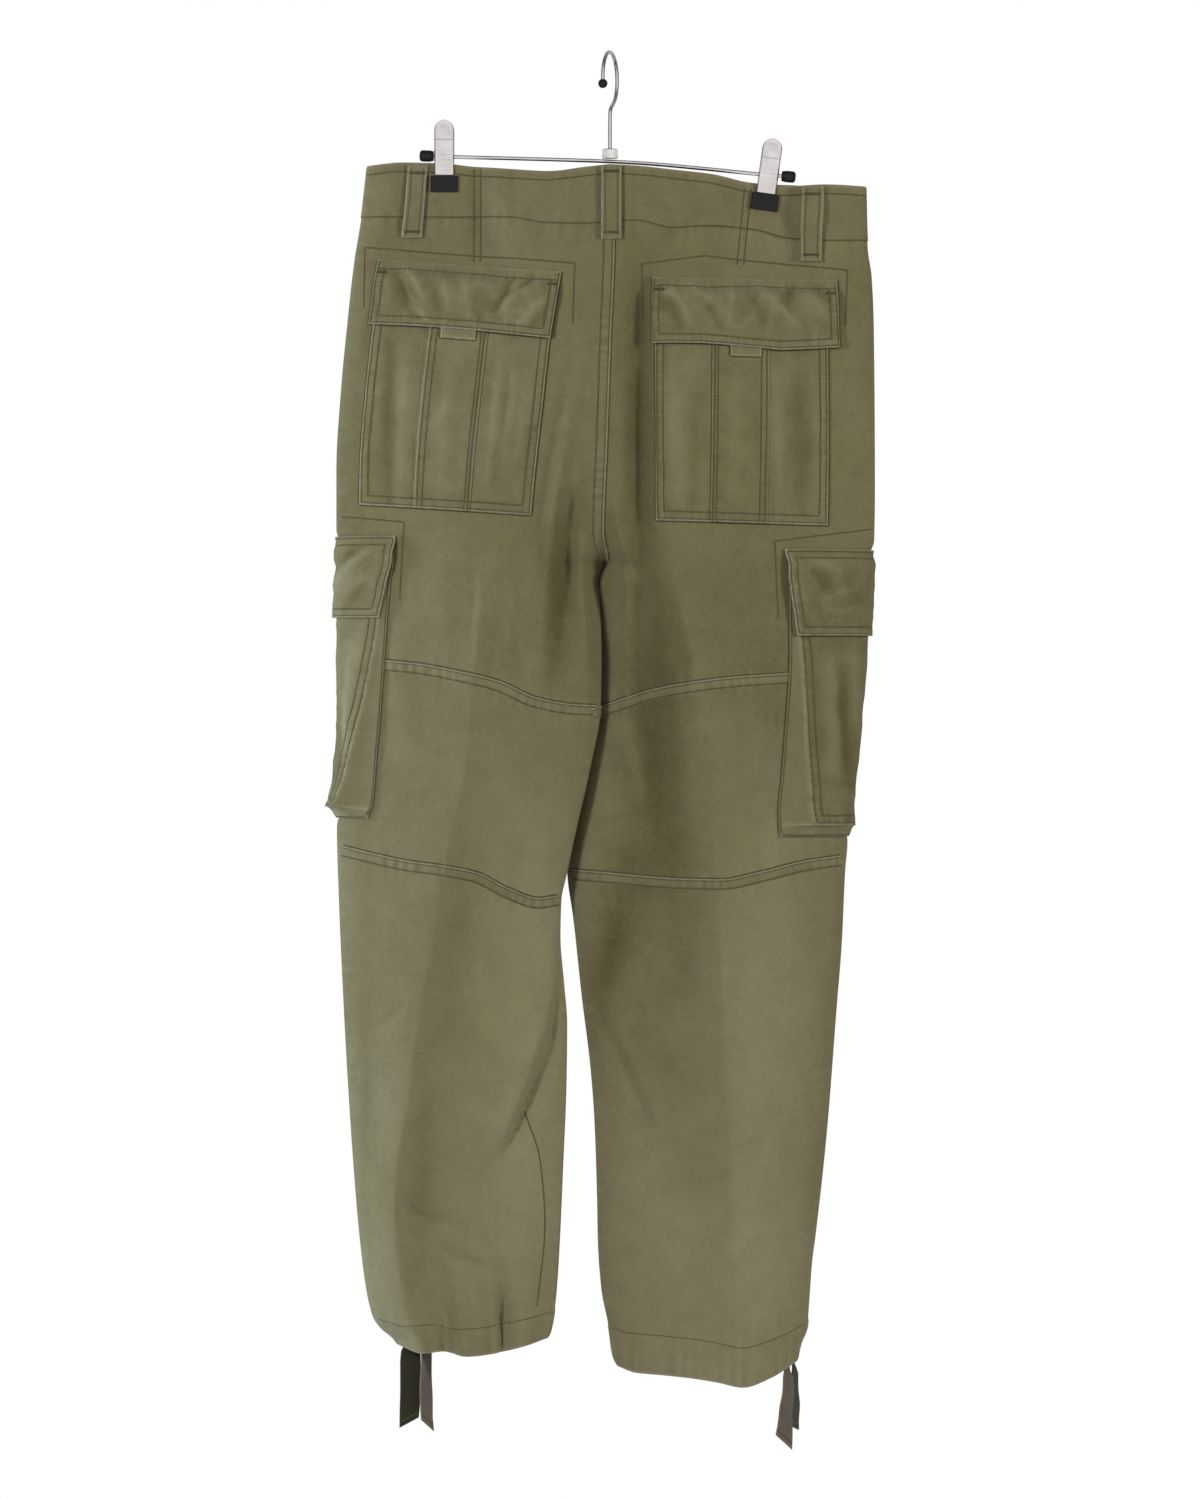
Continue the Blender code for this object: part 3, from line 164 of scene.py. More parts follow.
# How far the back and the front stand out, where the pressed crease lies across the leg, how sharply
# it is pressed, and how far the inside leg edge swings out of the middle plane
DEPTH = {
    "left": table(
        "drop back front crease press swing",
        (96, 16, 13, 0.55, 0.0, 0),
        (150, 25, 20, 0.55, 0.0, 0),
        (200, 34, 26, 0.55, 0.0, 0),
        (260, 41, 31, 0.55, 0.0, 0),
        (340, 45, 34, 0.54, 0.0, 0),
        (430, 44, 36, 0.53, 0.1, 0),
        (470, 43, 37, 0.53, 0.2, -3),
        (560, 43, 38, 0.51, 0.4, -9),
        (650, 43, 37, 0.50, 0.5, -9),
        (730, 42, 36, 0.466, 0.5, -5),
        (790, 41, 34, 0.43, 0.5, 0),
        (850, 40, 33, 0.35, 0.5, 0),
        (930, 38, 32, 0.28, 0.5, 0),
        (1010, 36, 31, 0.20, 0.5, 0),
        (1100, 32, 30, 0.18, 0.4, 0),
        (1158, 25, 25, 0.20, 0.1, 0),
    ),
    "right": table(
        "drop back front crease press swing",
        (96, 16, 13, 0.60, 0.0, 0),
        (150, 24, 20, 0.62, 0.0, 0),
        (200, 33, 26, 0.66, 0.0, 0),
        (260, 40, 31, 0.70, 0.0, 0),
        (340, 44, 34, 0.74, 0.0, 0),
        (430, 43, 36, 0.76, 0.15, 0),
        (470, 45, 37, 0.722, 0.4, 4),
        (510, 48, 36, 0.672, 0.6, 11),
        (560, 51, 34, 0.618, 0.75, 17),
        (600, 52, 33, 0.576, 0.8, 20),
        (650, 52, 32, 0.508, 0.85, 20),
        (690, 51, 32, 0.480, 0.85, 18),
        (730, 51, 32, 0.443, 0.85, 15),
        (790, 49, 32, 0.437, 0.85, 11),
        (850, 47, 32, 0.431, 0.85, 8),
        (930, 44, 31, 0.418, 0.8, 6),
        (1010, 42, 31, 0.390, 0.8, 4),
        (1058, 40, 30, 0.364, 0.75, 3),
        (1100, 37, 30, 0.352, 0.7, 2),
        (1188, 32, 27, 0.33, 0.6, 0),
    ),
}

# Lines that run across each back half, as drops at these shares from the side seam to the middle
SHARES = np.array([0.0, 0.15, 0.3, 0.45, 0.6, 0.75, 0.9, 1.0])
LEVELS = {
    "left": {
        "waist_top": (99.9, 97.0, 97.5, 101.0, 103.5, 105.3, 101.5, 99.0),
        "waist_seam": (148.0, 148.0, 148.0, 148.0, 149.0, 154.0, 154.5, 153.4),
        "flap_top": (182.0, 184.5, 187.0, 190.0, 192.5, 195.0, 197.0, 198.5),
        "flap_foot": (240.4, 243.4, 246.3, 249.3, 252.3, 255.2, 258.2, 260.2),
        "pocket_foot": (400.9, 403.3, 405.6, 408.0, 410.3, 412.7, 415.0, 416.6),
        "fork": (440.0, 442.0, 444.0, 446.0, 448.0, 450.5, 453.0, 454.0),
        "knee_top": (543.0, 545.5, 549.0, 555.5, 564.0, 579.0, 585.0, 586.0),
        "knee_foot": (710.0, 717.5, 724.0, 728.0, 734.0, 748.0, 757.5, 754.6),
        "hem": (1150.7, 1157.5, 1156.0, 1160.5, 1159.0, 1155.3, 1150.0, 1145.3),
    },
    "right": {
        "waist_top": (118.2, 116.8, 117.9, 114.8, 108.0, 104.0, 100.3, 99.0),
        "waist_seam": (168.6, 169.2, 167.0, 158.6, 156.3, 158.5, 151.8, 153.4),
        "flap_top": (202.8, 202.4, 202.0, 201.7, 201.3, 200.9, 200.5, 200.3),
        "flap_foot": (261.0, 262.0, 263.0, 262.5, 261.5, 260.5, 260.2, 260.2),
        "pocket_foot": (422.2, 421.2, 420.3, 419.3, 418.3, 417.3, 416.4, 416.6),
        "fork": (440.0, 442.0, 444.0, 446.0, 448.0, 450.5, 453.0, 454.0),
        "knee_top": (551.3, 554.5, 557.8, 560.3, 564.5, 571.0, 583.0, 591.4),
        "knee_foot": (719.0, 724.5, 733.5, 740.4, 739.8, 737.2, 734.0, 732.3),
        "hem": (1165.8, 1180.0, 1187.5, 1183.0, 1179.6, 1177.5, 1175.7, 1170.3),
    },
}
# The front's own lines: how much lower each is at the centre front, and how far it sags between
# its ends
FRONT_LEVELS = {
    "waist_top": (9.0, 2.0),
    "waist_seam": (10.0, 2.0),
    "flap_top": (6.0, 0.0),
    "flap_foot": (3.0, 0.0),
    "pocket_foot": (0.0, 0.0),
    "fork": (0.0, 0.0),
    "knee_top": (0.0, -6.0),
    "knee_foot": (0.0, -4.0),
    "hem": (0.0, 6.0),
}

# The largest folds: a soft ridge (or trough, if it falls) along the line from one point to another
FOLDS = {
    "back": table(
        "x1 drop1 x2 drop2 bow wide rise",
        (-12, 180, -64, 580, -9, 11, 6.5),
        (-31, 230, -86, 530, -3, 11, -3.0),
        (-30, 425, -20, 585, 3, 8, 8.5),
        (-29, 345, -46, 572, -3, 9, -9.0),
        (-88, 420, -124, 575, -4, 11, 4.5),
        (2, 395, 20, 585, 4, 8, 5.5),
        (28, 465, 28, 610, -4, 12, -5.0),
        (25, 275, 29, 510, -2, 11, -5.5),
        (34, 535, 47, 730, -2, 15, -7.5),
        (28, 160, 31, 480, -2, 9, -5.5),
        (47, 185, 50, 450, 0, 13, 5.0),
        (12, 190, 9, 420, -2, 8, 3.0),
        (132, 140, 176, 200, 4, 9, 3.0),
        (118, 142, 26, 200, -14, 8, 3.5),
        (-142, 130, -86, 188, 6, 10, 2.5),
        (-158, 132, -196, 192, -5, 9, 2.2),
        (0, 590, 27, 668, 2, 9, 3.5),
        (-42, 840, -114, 1010, 8, 11, -4.5),
        (-194, 1030, -92, 1090, 12, 8, -3.0),
        (-146, 1078, -145, 1180, 0, 6, -7.0),
        (-121, 1085, -119, 1180, 0, 10, 5.0),
        (-97, 1072, -98, 1180, 0, 6, -7.0),
        (-72, 1085, -78, 1180, 0, 9, 4.0),
        (-170, 1095, -165, 1175, 0, 9, 4.0),
    ),
    "front": table(
        "x1 drop1 x2 drop2 bow wide rise",
        (-142, 135, -82, 198, 5, 11, 3.5),
        (130, 140, 72, 208, -5, 11, 3.5),
        (-76, 230, -98, 460, -6, 13, 4.0),
        (68, 230, 92, 450, 6, 13, 4.0),
        (-34, 450, -96, 575, -6, 12, -3.5),
        (28, 460, 84, 590, 6, 12, -3.5),
        (-200, 716, -80, 748, 6, 12, 3.5),
        (30, 738, 160, 718, -6, 12, 3.5),
        (-54, 840, -116, 1010, 8, 12, -4.0),
        (54, 860, 126, 1030, -8, 12, -3.5),
        (-145, 1080, -145, 1180, 0, 7, -7.0),
        (-118, 1085, -118, 1180, 0, 10, 5.0),
        (-90, 1078, -92, 1180, 0, 7, -6.0),
        (-170, 1090, -168, 1175, 0, 9, 4.0),
        (110, 1065, 112, 1200, 4, 14, -4.0),
    ),
}

# Finer folds of the worn cloth, laid over the main ones: ridges rise, troughs fall
FINE_FOLDS = {
    "back": table(
        "x1 drop1 x2 drop2 bow wide rise power",
        (-15, 250, -65, 560, -9, 4, 1.8, 1.2),
        (4, 275, 2, 405, -2, 4, 1.3, 1.3),
        (1, 396, 23, 462, -4, 5, 2.0, 1.3),
        (0, 452, 16, 590, 3, 5, 2.6, 1.3),
        (-15, 455, -15, 560, 0, 3, 1.6, 1.3),
        (-34, 385, -46, 430, 2, 7, -2.0, 2),
        (-82, 482, -74, 575, -13, 5, 2.6, 1.4),
        (-78, 495, -78, 560, -2, 6, -2.4, 2),
        (-94, 465, -80, 500, 0, 5, 1.8, 1.6),
        (-98, 520, -104, 600, -2, 6, -1.6, 2),
        (-42, 520, -48, 592, 2, 6, 1.6, 1.6),
        (118, 465, 132, 590, 2, 9, 1.8, 2),
        (84, 430, 96, 560, 2, 8, 1.0, 2),
        (60, 430, 66, 520, 0, 6, -1.2, 2),
        (-150, 430, -140, 560, -3, 12, 1.4, 2),
        (-190, 500, -176, 640, -3, 10, 1.2, 2),
        (120, 130, 26, 188, -14, 4, -0.7, 1.6),
        (138, 138, 170, 180, -4, 4, 2.0, 1.4),
        (150, 138, 190, 172, -4, 4, -1.4, 1.6),
        (124, 148, 96, 186, 3, 4, 1.4, 1.4),
        (-24, 156, -42, 182, 4, 4, 1.4, 1.4),
        (14, 156, 34, 178, 4, 4, 1.4, 1.4),
        (-138, 150, -150, 186, 0, 3, 1.0, 1.6),
        (-126, 150, -128, 182, 0, 3, -0.9, 1.6),
        (-100, 152, -84, 184, 0, 4, 1.0, 1.6),
        (-62, 152, -70, 178, 0, 4, 0.9, 1.6),
        (-60, 106, -16, 140, 5, 6, 1.0, 2),
        (20, 112, 88, 134, 5, 6, 1.0, 2),
        (-205, 180, -230, 280, 0, 6, 1.2, 2),
        (206, 190, 226, 300, 0, 6, 1.2, 2),
        (-44, 200, -52, 300, 0, 5, 1.2, 1.6),
        (-52, 320, -74, 410, 0, 5, 1.2, 1.6),
        (-180, 846, -224, 876, 2, 5, -1.8, 1.4),
        (-72, 838, -98, 850, 1, 5, -0.9, 1.6),
        (-194, 1018, -148, 1066, 5, 3.5, -2.4, 1.2),
        (-166, 1056, -94, 1088, -3, 3.5, -2.8, 1.2),
        (-150, 1046, -104, 1076, -2, 4, 1.6, 1.4),
        (-186, 1070, -176, 1150, 0, 5, 2.0, 1.5),
        (-160, 1080, -156, 1160, 0, 4, -2.0, 1.5),
        (-136, 1100, -132, 1170, 0, 3, 1.8, 1.4),
        (-110, 1104, -108, 1170, 0, 3, -1.6, 1.4),
        (-86, 1104, -90, 1170, 0, 3, 1.6, 1.4),
        (-150, 900, -120, 1040, 5, 14, 1.2, 2),
        (-210, 900, -205, 1010, 0, 10, -1.2, 2),
        (60, 760, 66, 900, 0, 16, -1.2, 2),
        (150, 760, 156, 940, 0, 12, -1.2, 2),
        (40, 1000, 60, 1120, 4, 14, 1.0, 2),
        (-20, 1090, 30, 1120, 4, 10, -1.0, 2),
        (140, 1100, 160, 1180, 0, 5, 1.4, 1.5),
        (120, 1110, 130, 1190, 0, 5, -1.2, 1.5),
    ),
    "front": table(
        "x1 drop1 x2 drop2 bow wide rise power",
        (-30, 410, -96, 480, 5, 8, 2.2, 1.6),
        (20, 410, 86, 490, -5, 8, 2.2, 1.6),
        (-56, 290, -126, 370, 4, 12, 1.4, 2),
        (56, 290, 136, 380, -4, 12, 1.4, 2),
        (-190, 590, -84, 644, 6, 9, 1.6, 1.6),
        (20, 610, 150, 654, 6, 9, 1.6, 1.6),
        (-160, 890, -84, 970, 6, 10, -1.6, 1.6),
        (40, 920, 130, 1010, 6, 10, -1.6, 1.6),
    ),
}
# Broad zones of painted shade (below zero) and painted light (above zero): darker in deep folds and
# on planes turned from the lamps, lighter on lit planes, mostly down the lower legs
PAINTED_LIGHT_AND_SHADE = {
    "back": table(
        "x1 drop1 x2 drop2 bow wide rise",
        (22, 150, 30, 500, -2, 15, -3.0),
        (36, 470, 50, 760, -3, 22, -3.4),
        (-42, 400, -47, 575, -2, 11, -3.4),
        (-12, 380, -8, 640, 0, 14, -1.0),
        (14, 690, -12, 850, 6, 24, -3.0),
        (8, 760, -20, 900, 0, 12, -2.0),
        (-128, 690, -146, 900, 0, 12, -1.2),
        (-160, 860, -176, 1130, 0, 12, -1.6),
        (60, 690, 60, 860, 0, 20, -0.9),
        (90, 440, 100, 600, 0, 40, -1.2),
        (150, 400, 150, 700, 0, 30, -1.2),
        (-232, 170, -240, 600, 0, 26, -1.3),
        (60, 100, 220, 180, 0, 40, 0.8),
        (146, 590, 132, 1230, 0, 38, 2.8),
        (-50, 620, -70, 900, 0, 34, 1.3),
        (-105, 600, -100, 1150, 10, 50, 2.4),
        (-190, 700, -170, 1160, 0, 40, 0.7),
        (30, 900, 50, 1200, 0, 34, 2.2),
        (-60, 840, -80, 1190, 0, 34, 1.4),
        (-150, 1000, -110, 1190, 0, 70, 1.0),
        (110, 1000, 120, 1240, 0, 80, 1.5),
    ),
    "front": table(
        "x1 drop1 x2 drop2 bow wide rise",
        (-20, 380, -20, 620, 0, 30, -2.0),
        (-130, 700, -120, 1150, 0, 60, 1.2),
        (100, 700, 110, 1180, 0, 60, 1.2),
    ),
}

# Pressed creases, with painted light on one side of the line and painted shade on the other
PAINTED_CREASE_SIDES = {
    "back": table(
        "x1 drop1 x2 drop2 bow wide rise power",
        (48, 430, 82, 610, 2, 26, -0.7, 2),
        (84, 590, 114, 1230, 4, 22, -0.6, 2),
    ),
    "front": table(
        "x1 drop1 x2 drop2 bow wide rise power",
        (90, 620, 110, 1200, 0, 26, -0.8, 2),
        (-110, 620, -120, 1150, 0, 26, 0.8, 2),
    ),
}

# Folds where the cloth laps: it stands up on the left of the line, seen along it, and sinks on its
# right
LAPS = {
    "back": table(
        "x1 drop1 x2 drop2 bow wide rise power",
        (-46, 752, -60, 905, 3, 10, 3.6, 2),
        (-54, 856, -104, 990, 4, 12, 5.0, 2),
        (-131, 728, -110, 848, 1, 11, -1.5, 2),
        (-154, 1090, -146, 1180, 0, 8, -2.6, 2),
        (-102, 1085, -98, 1180, 0, 7, 2.0, 2),
        (-16, 836, 42, 962, 3, 12, -1.8, 2),
        (34, 676, -16, 692, -5, 7, 1.6, 2),
        (-118, 440, -122, 560, 0, 9, -1.2, 2),
    ),
    "front": table(
        "x1 drop1 x2 drop2 bow wide rise power",
        (-120, 600, -60, 660, 4, 12, 2.0, 2),
        (60, 610, 130, 660, -4, 12, 2.0, 2),
    ),
}
# Creases worn into the flaps and pockets
SMALL_FOLDS = {
    "back_flap_left": table(
        "x1 drop1 x2 drop2 bow wide rise power",
        (-188, 188, -163, 228, 3, 4.0, 1.6, 1.3),
        (-196, 194, -180, 230, 2, 4.5, -1.8, 1.6),
        (-150, 200, -143, 236, 1, 3.5, 1.2, 1.3),
        (-160, 205, -152, 236, 0, 3.5, -0.9, 1.6),
        (-84, 198, -108, 236, 3, 3.0, -2.0, 1.3),
        (-78, 202, -100, 238, 3, 3.5, 1.5, 1.4),
        (-66, 197, -92, 219, 2, 3.0, -1.5, 1.3),
        (-57, 215, -85, 247, 3, 3.5, 1.8, 1.3),
        (-53, 222, -76, 250, 2, 3.5, -1.6, 1.4),
        (-128, 204, -122, 240, -2, 4.0, 1.0, 1.4),
        (-134, 225, -112, 246, 2, 3.0, -0.9, 1.4),
        (-178, 226, -160, 244, 2, 3.0, 0.9, 1.4),
    ),
    "back_flap_right": table(
        "x1 drop1 x2 drop2 bow wide rise power",
        (45, 206, 69, 246, 2, 3.5, 1.8, 1.3),
        (41, 216, 61, 250, 2, 3.5, -1.6, 1.4),
        (66, 200, 92, 228, -3, 3.5, 1.6, 1.3),
        (76, 218, 96, 250, 2, 3.5, -1.2, 1.4),
        (104, 204, 102, 250, 2, 4.0, 1.1, 1.4),
        (124, 204, 149, 234, 2, 4.0, 1.7, 1.3),
        (118, 214, 136, 246, 2, 3.5, -1.4, 1.4),
        (163, 206, 160, 238, -6, 4.0, -1.9, 1.5),
        (168, 214, 190, 238, 2, 4.0, 1.7, 1.3),
        (176, 208, 196, 226, 2, 3.0, -1.2, 1.4),
        (150, 226, 170, 250, -2, 3.5, 1.2, 1.4),
    ),
    "back_pocket_left": table(
        "x1 drop1 x2 drop2 bow wide rise power",
        (-194, 236, -197, 420, 0, 6.0, -1.8, 2),
        (-178, 240, -186, 405, 0, 7.0, 1.2, 2),
        (-140, 306, -160, 336, 2, 4.0, 1.2, 1.4),
        (-142, 262, -150, 400, 0, 5.0, 0.7, 1.6),
        (-98, 262, -114, 404, 2, 4.0, 1.3, 1.5),
        (-84, 275, -98, 360, 2, 4.0, 1.1, 1.5),
        (-91, 270, -106, 390, 2, 3.5, -1.0, 1.6),
        (-74, 280, -86, 396, 1, 4.5, 0.9, 1.6),
        (-68, 330, -98, 402, 3, 4.0, -0.7, 1.6),
    ),
    "back_pocket_right": table(
        "x1 drop1 x2 drop2 bow wide rise power",
        (144, 280, 148, 425, 2, 5.0, 1.3, 1.5),
        (166, 262, 170, 420, 0, 9.0, -1.5, 2),
        (54, 262, 62, 410, -2, 9.0, 1.0, 2),
        (76, 300, 70, 420, 0, 6.0, -0.8, 2),
        (108, 262, 106, 420, 2, 7.0, 0.8, 2),
        (126, 262, 130, 380, 2, 4.0, -0.7, 1.6),
        (184, 300, 186, 420, 0, 5.0, 0.8, 1.6),
    ),
    "cargo_flap_left": table(
        "x1 drop1 x2 drop2 bow wide rise power",
        (-240, 480, -208, 440, 3, 4.5, 1.8, 1.3),
        (-242, 462, -214, 438, 2, 4.0, -1.4, 1.4),
        (-232, 500, -210, 468, 2, 4.0, -1.2, 1.4),
    ),
    "cargo_flap_right": table(
        "x1 drop1 x2 drop2 bow wide rise power",
        (172, 458, 196, 486, 2, 4.0, -1.7, 1.4),
        (182, 490, 214, 476, 2, 4.0, 1.6, 1.3),
        (176, 452, 206, 468, 2, 4.0, 1.5, 1.3),
        (200, 462, 220, 496, 2, 4.0, -1.2, 1.4),
    ),
    "cargo_pocket_left": table(
        "x1 drop1 x2 drop2 bow wide rise power",
        (-226, 520, -234, 640, 2, 7.0, 2.0, 2),
        (-240, 560, -236, 660, 0, 6.0, -1.6, 2),
    ),
    "cargo_pocket_right": table(
        "x1 drop1 x2 drop2 bow wide rise power",
        (188, 520, 196, 650, 2, 7.0, 1.8, 2),
        (204, 540, 208, 660, 0, 7.0, -1.6, 2),
        (212, 520, 214, 620, 0, 5.0, 1.4, 2),
    ),
}
# Stitched seams that draw the cloth in: the line, how deep the pucker is and how far it reaches
PUCKERS = (
    ("waist_top", 0.28, 14.0),
    ("waist_seam", 0.38, 11.0),
    ("knee_top", 0.42, 12.0),
    ("knee_foot", 0.42, 12.0),
    ("hem", 0.55, 30.0),
)
PUCKER_PITCH = 11.5
SEAM_HIGH = 0.85
SMALL_FOLDS_DEEP = {"back_flap": 1.7, "cargo_flap": 1.6, "back_pocket": 1.3, "cargo_pocket": 1.4}
# How much painted shade each cargo pocket and flap gets all over, the right one most, as it turns
# away from the lamps
CARGO_PAINTED_SHADE = {"left": -0.4, "right": -1.5}
FINE_FOLDS_DEEP = 1.35
# Where each knee seam starts and ends, as shares of its half
SEAM_ENDS = {
    ("back", "left", "knee_top"): (0.035, 0.985),
    ("back", "right", "knee_top"): (0.035, 0.97),
    ("back", "left", "knee_foot"): (0.02, 0.985),
    ("back", "right", "knee_foot"): (0.02, 0.985),
    ("front", "left", "knee_top"): (0.035, 0.965),
    ("front", "right", "knee_top"): (0.035, 0.965),
    ("front", "left", "knee_foot"): (0.035, 0.965),
    ("front", "right", "knee_foot"): (0.035, 0.965),
}
SEEDS = {"back": 1.7, "front": 9.1}
HEM_DEEP = {"left": 27.0, "right": 38.0}
# About how wide one half of a face is, to carry shares into millimetres
HALF_WIDE = 240.0

# Back pockets: shares across the half at the flap's top and at the pocket's foot. The pleats stand
# up between the two pleat lines.
POCKETS = {
    "left": {
        "edge": (0.108, 0.0906),
        "pleat": (0.33, 0.298),
        "pleat_far": (0.557, 0.5075),
        "far": (0.800, 0.741),
    },
    "right": {
        "edge": (0.176, 0.174),
        "pleat": (0.392, 0.392),
        "pleat_far": (0.6048, 0.597),
        "far": (0.822, 0.7916),
    },
}
# Where the pocket's columns of points close up, and how many lead on from there to the next
POCKET_STEPS = (
    (0, 2), (0.025, 2), (0.065, 3), (0.125, 4), (0.185, 13), (0.93, 3), (1.0, 1), (1.012, 1),
    (1.03, 2), (1.09, 13), (1.91, 2), (1.97, 1), (1.988, 1), (2.0, 3), (2.07, 13), (2.815, 4),
    (2.875, 3), (2.935, 2), (2.975, 2), (3, 0),
)
# How far inside the edges the two rows of stitches run
POCKET_ROWS = (2.4, 8.6)
FLAP_ROWS = (2.2, 8.2)
CARGO_ROWS = (2.6, 8.8)
POCKET_MOUTH = 14.0
MOUTH_STAND = 0.7
# The flaps: shares of both ends at the top and at the foot, of the tab, and where and how far the
# foot dips
FLAPS = {
    "left": {
        "edge": (0.094, 0.0925),
        "far": (0.816, 0.788),
        "tab": (0.37, 0.505),
        "dip": (0.45, 0.0),
    },
    "right": {
        "edge": (0.136, 0.1365),
        "far": (0.8327, 0.819),
        "tab": (0.425, 0.54),
        "dip": (0.355, 4.5),
    },
}
TAB_SHOWS = 8.0
TAB_LONG = 20.0

# Cargo pockets, wrapped round the side seam. "back" and "front" are the shares where the sides are
# sewn to the leg at the mouth and at the foot, "face" is where the face's own back edge comes, and
# "out" is how far the face stands out at the foot.
CARGO = {
    "left": {
        "back": (0.20, 0.13),
        "face": (0.185, 0.012),
        "front": 0.50,
        "mouth": 448.0,
        "foot": 674.0,
        "sewn_foot": 682.0,
        "out": 14.0,
        "flap": (0.225, 0.163),
        "flap_top": 430.0,
        "flap_foot": 503.0,
    },
    "right": {
        "back": (0.29, 0.245),
        "face": (0.272, 0.13),
        "front": 0.42,
        "mouth": 458.0,
        "foot": 688.0,
        "sewn_foot": 698.0,
        "out": 8.0,
        "flap": (0.325, 0.262),
        "flap_top": 442.0,
        "flap_foot": 519.0,
    },
}
CARGO_LIFT = 3.0
CARGO_DEEPENS = 4.0

# Belt loops: x at the top and at the foot, the drops of both, and the face
LOOPS = {
    "belt_loop_back_left": ("back", -172.6, -178.2, 99.5, 165.0),
    "belt_loop_back_centre": ("back", 0.4, 0.2, 100.5, 167.0),
    "belt_loop_back_right": ("back", 180.6, 178.8, 118.8, 186.0),
    "belt_loop_front_left": ("front", -86.0, -88.0, 108.0, 173.0),
    "belt_loop_front_right": ("front", 84.0, 86.0, 112.0, 178.0),
}
LOOP_WIDE = 18.0
LOOP_BOW = 1.8

# Fly placket on the wearer's left front: drop below the waist seam and the share of its free edge
FLY = table(
    "below edge",
    (1, 0.80),
    (60, 0.80),
    (110, 0.80),
    (135, 0.815),
    (152, 0.85),
    (163, 0.91),
    (168, 0.96),
)
FLY_INNER = 0.993
BUTTON_RADIUS = 8.5
BUTTON_THICK = 3.0
HOLE_RADIUS = 0.95
HOLE_AWAY = 1.7

# Hem ties: flat tapes that hang from inside the hem tunnels near the side seams. Each row gives the
# middle of the tape, half its width, and how far the tape is turned about the vertical. The number
# after the rows is how much lower the tape's +X corner is cut than its -X corner.
TIES = {
    "hem_tie_left_outer": (
        table(
            "drop x y half turn",
            (1143, -177.5, 1.0, 4.0, 0),
            (1150, -177.8, 1.0, 5.5, 0),
            (1157, -178.7, 1.0, 8.6, 3),
            (1170, -178.9, 1.0, 9.3, 8),
            (1190, -178.8, 1.0, 9.3, 6),
            (1208, -179.6, 1.5, 9.3, 12),
            (1221, -180.0, 2.0, 9.0, 18),
        ),
        -9.0,
    ),
    "hem_tie_left_inner": (
        table(
            "drop x y half turn",
            (1143, -164.5, -4.0, 5.0, 40),
            (1150, -164.5, -4.5, 6.5, 52),
            (1162, -164.8, -5.5, 9.0, 58),
            (1176, -164.6, -6.0, 9.3, 60),
            (1194, -165.0, -6.0, 9.3, 58),
            (1210, -164.2, -6.0, 9.3, 55),
            (1223, -163.6, -6.0, 9.0, 50),
        ),
        11.0,
    ),
    "hem_tie_right_inner": (
        table(
            "drop x y half turn",
            (1160, 154.6, 0.5, 3.6, 20),
            (1168, 156.2, -0.6, 3.8, 42),
            (1174, 157.2, -2.6, 4.8, 56),
            (1181, 158.0, -5.2, 9.0, 62),
            (1192, 157.6, -6.5, 9.3, 60),
            (1208, 156.2, -6.5, 9.3, 50),
            (1224, 155.0, -6.0, 9.3, 42),
            (1238, 154.2, -5.5, 9.0, 38),
        ),
        14.0,
    ),
    "hem_tie_right_outer": (
        table(
            "drop x y half turn",
            (1168, 162.6, 4.4, 2.4, 66),
            (1172, 163.4, 7.0, 4.2, 68),
            (1180, 164.4, 12.0, 8.4, 72),
            (1192, 165.0, 14.0, 9.3, 72),
            (1206, 165.2, 14.5, 9.3, 68),
            (1218, 165.0, 14.5, 9.3, 72),
            (1227, 164.8, 14.0, 9.0, 74),
        ),
        4.0,
    ),
}

# One clip plate, from its rounded finger end down to the jaw: how far below the bar, how far out
# from the middle, and its half width
PLATE = table(
    "below out half",
    (-32.0, 13.4, 4.6),
    (-30.6, 13.2, 7.2),
    (-27.5, 12.6, 8.9),
    (-14.0, 9.4, 8.9),
    (-8.0, 8.6, 8.9),
    (2.0, 6.9, 8.9),
    (10.0, 6.4, 8.9),
    (16.8, 6.0, 8.9),
)
# Its half width where it is straight, where its round end starts and how far that reaches
PLATE_HALF = 8.9
PLATE_ROUND_AT = -23.0
PLATE_ROUND = 9.05
SPRING = {"inside": 2.3, "outside": 4.6, "long": 12.0, "turns": 8.5, "wire": 0.58}


def through(knots, values, at):
    """A smooth curve through the knots with no overshoot, held level beyond the ends."""
    knots = np.asarray(knots, float)
    values = np.asarray(values, float)
    at = np.clip(at, knots[0], knots[-1])
    step = np.diff(knots)
    slope = np.diff(values) / step
    lead = np.zeros_like(values)
    lead[0] = slope[0]
    lead[-1] = slope[-1]
    same = slope[:-1] * slope[1:] > 0
    heavy = 2 * step[1:] + step[:-1]
    light = step[1:] + 2 * step[:-1]
    safe = np.where(same, slope[:-1] * slope[1:], 1.0)
    weighed = heavy * np.where(same, slope[1:], 1) + light * np.where(same, slope[:-1], 1)
    mean = (heavy + light) * safe / weighed
    lead[1:-1] = np.where(same, mean, 0.0)
    k = np.clip(np.searchsorted(knots, at, side="right") - 1, 0, len(step) - 1)
    u = (at - knots[k]) / step[k]
    return (
        values[k] * (1 + 2 * u) * (1 - u) ** 2
        + values[k + 1] * (3 - 2 * u) * u**2
        + step[k] * u * (1 - u) * (lead[k] * (1 - u) - lead[k + 1] * u)
    )


def ease(value):
    value = np.clip(value, 0.0, 1.0)
    return value * value * (3 - 2 * value)


def level(side, face, name, share):
    """The drop of a named line at a share across one half of the back or the front."""
    back = through(SHARES, LEVELS[side][name], share)
    if face == "back":
        return back
    lower, sag = FRONT_LEVELS[name]
    first, last = LEVELS[side][name][0], LEVELS[side][name][-1] + lower
    return first + (last - first) * share + sag * 4 * share * (1 - share)


def bar_drop(x):
    return through(BAR["x"], BAR["drop"], x)


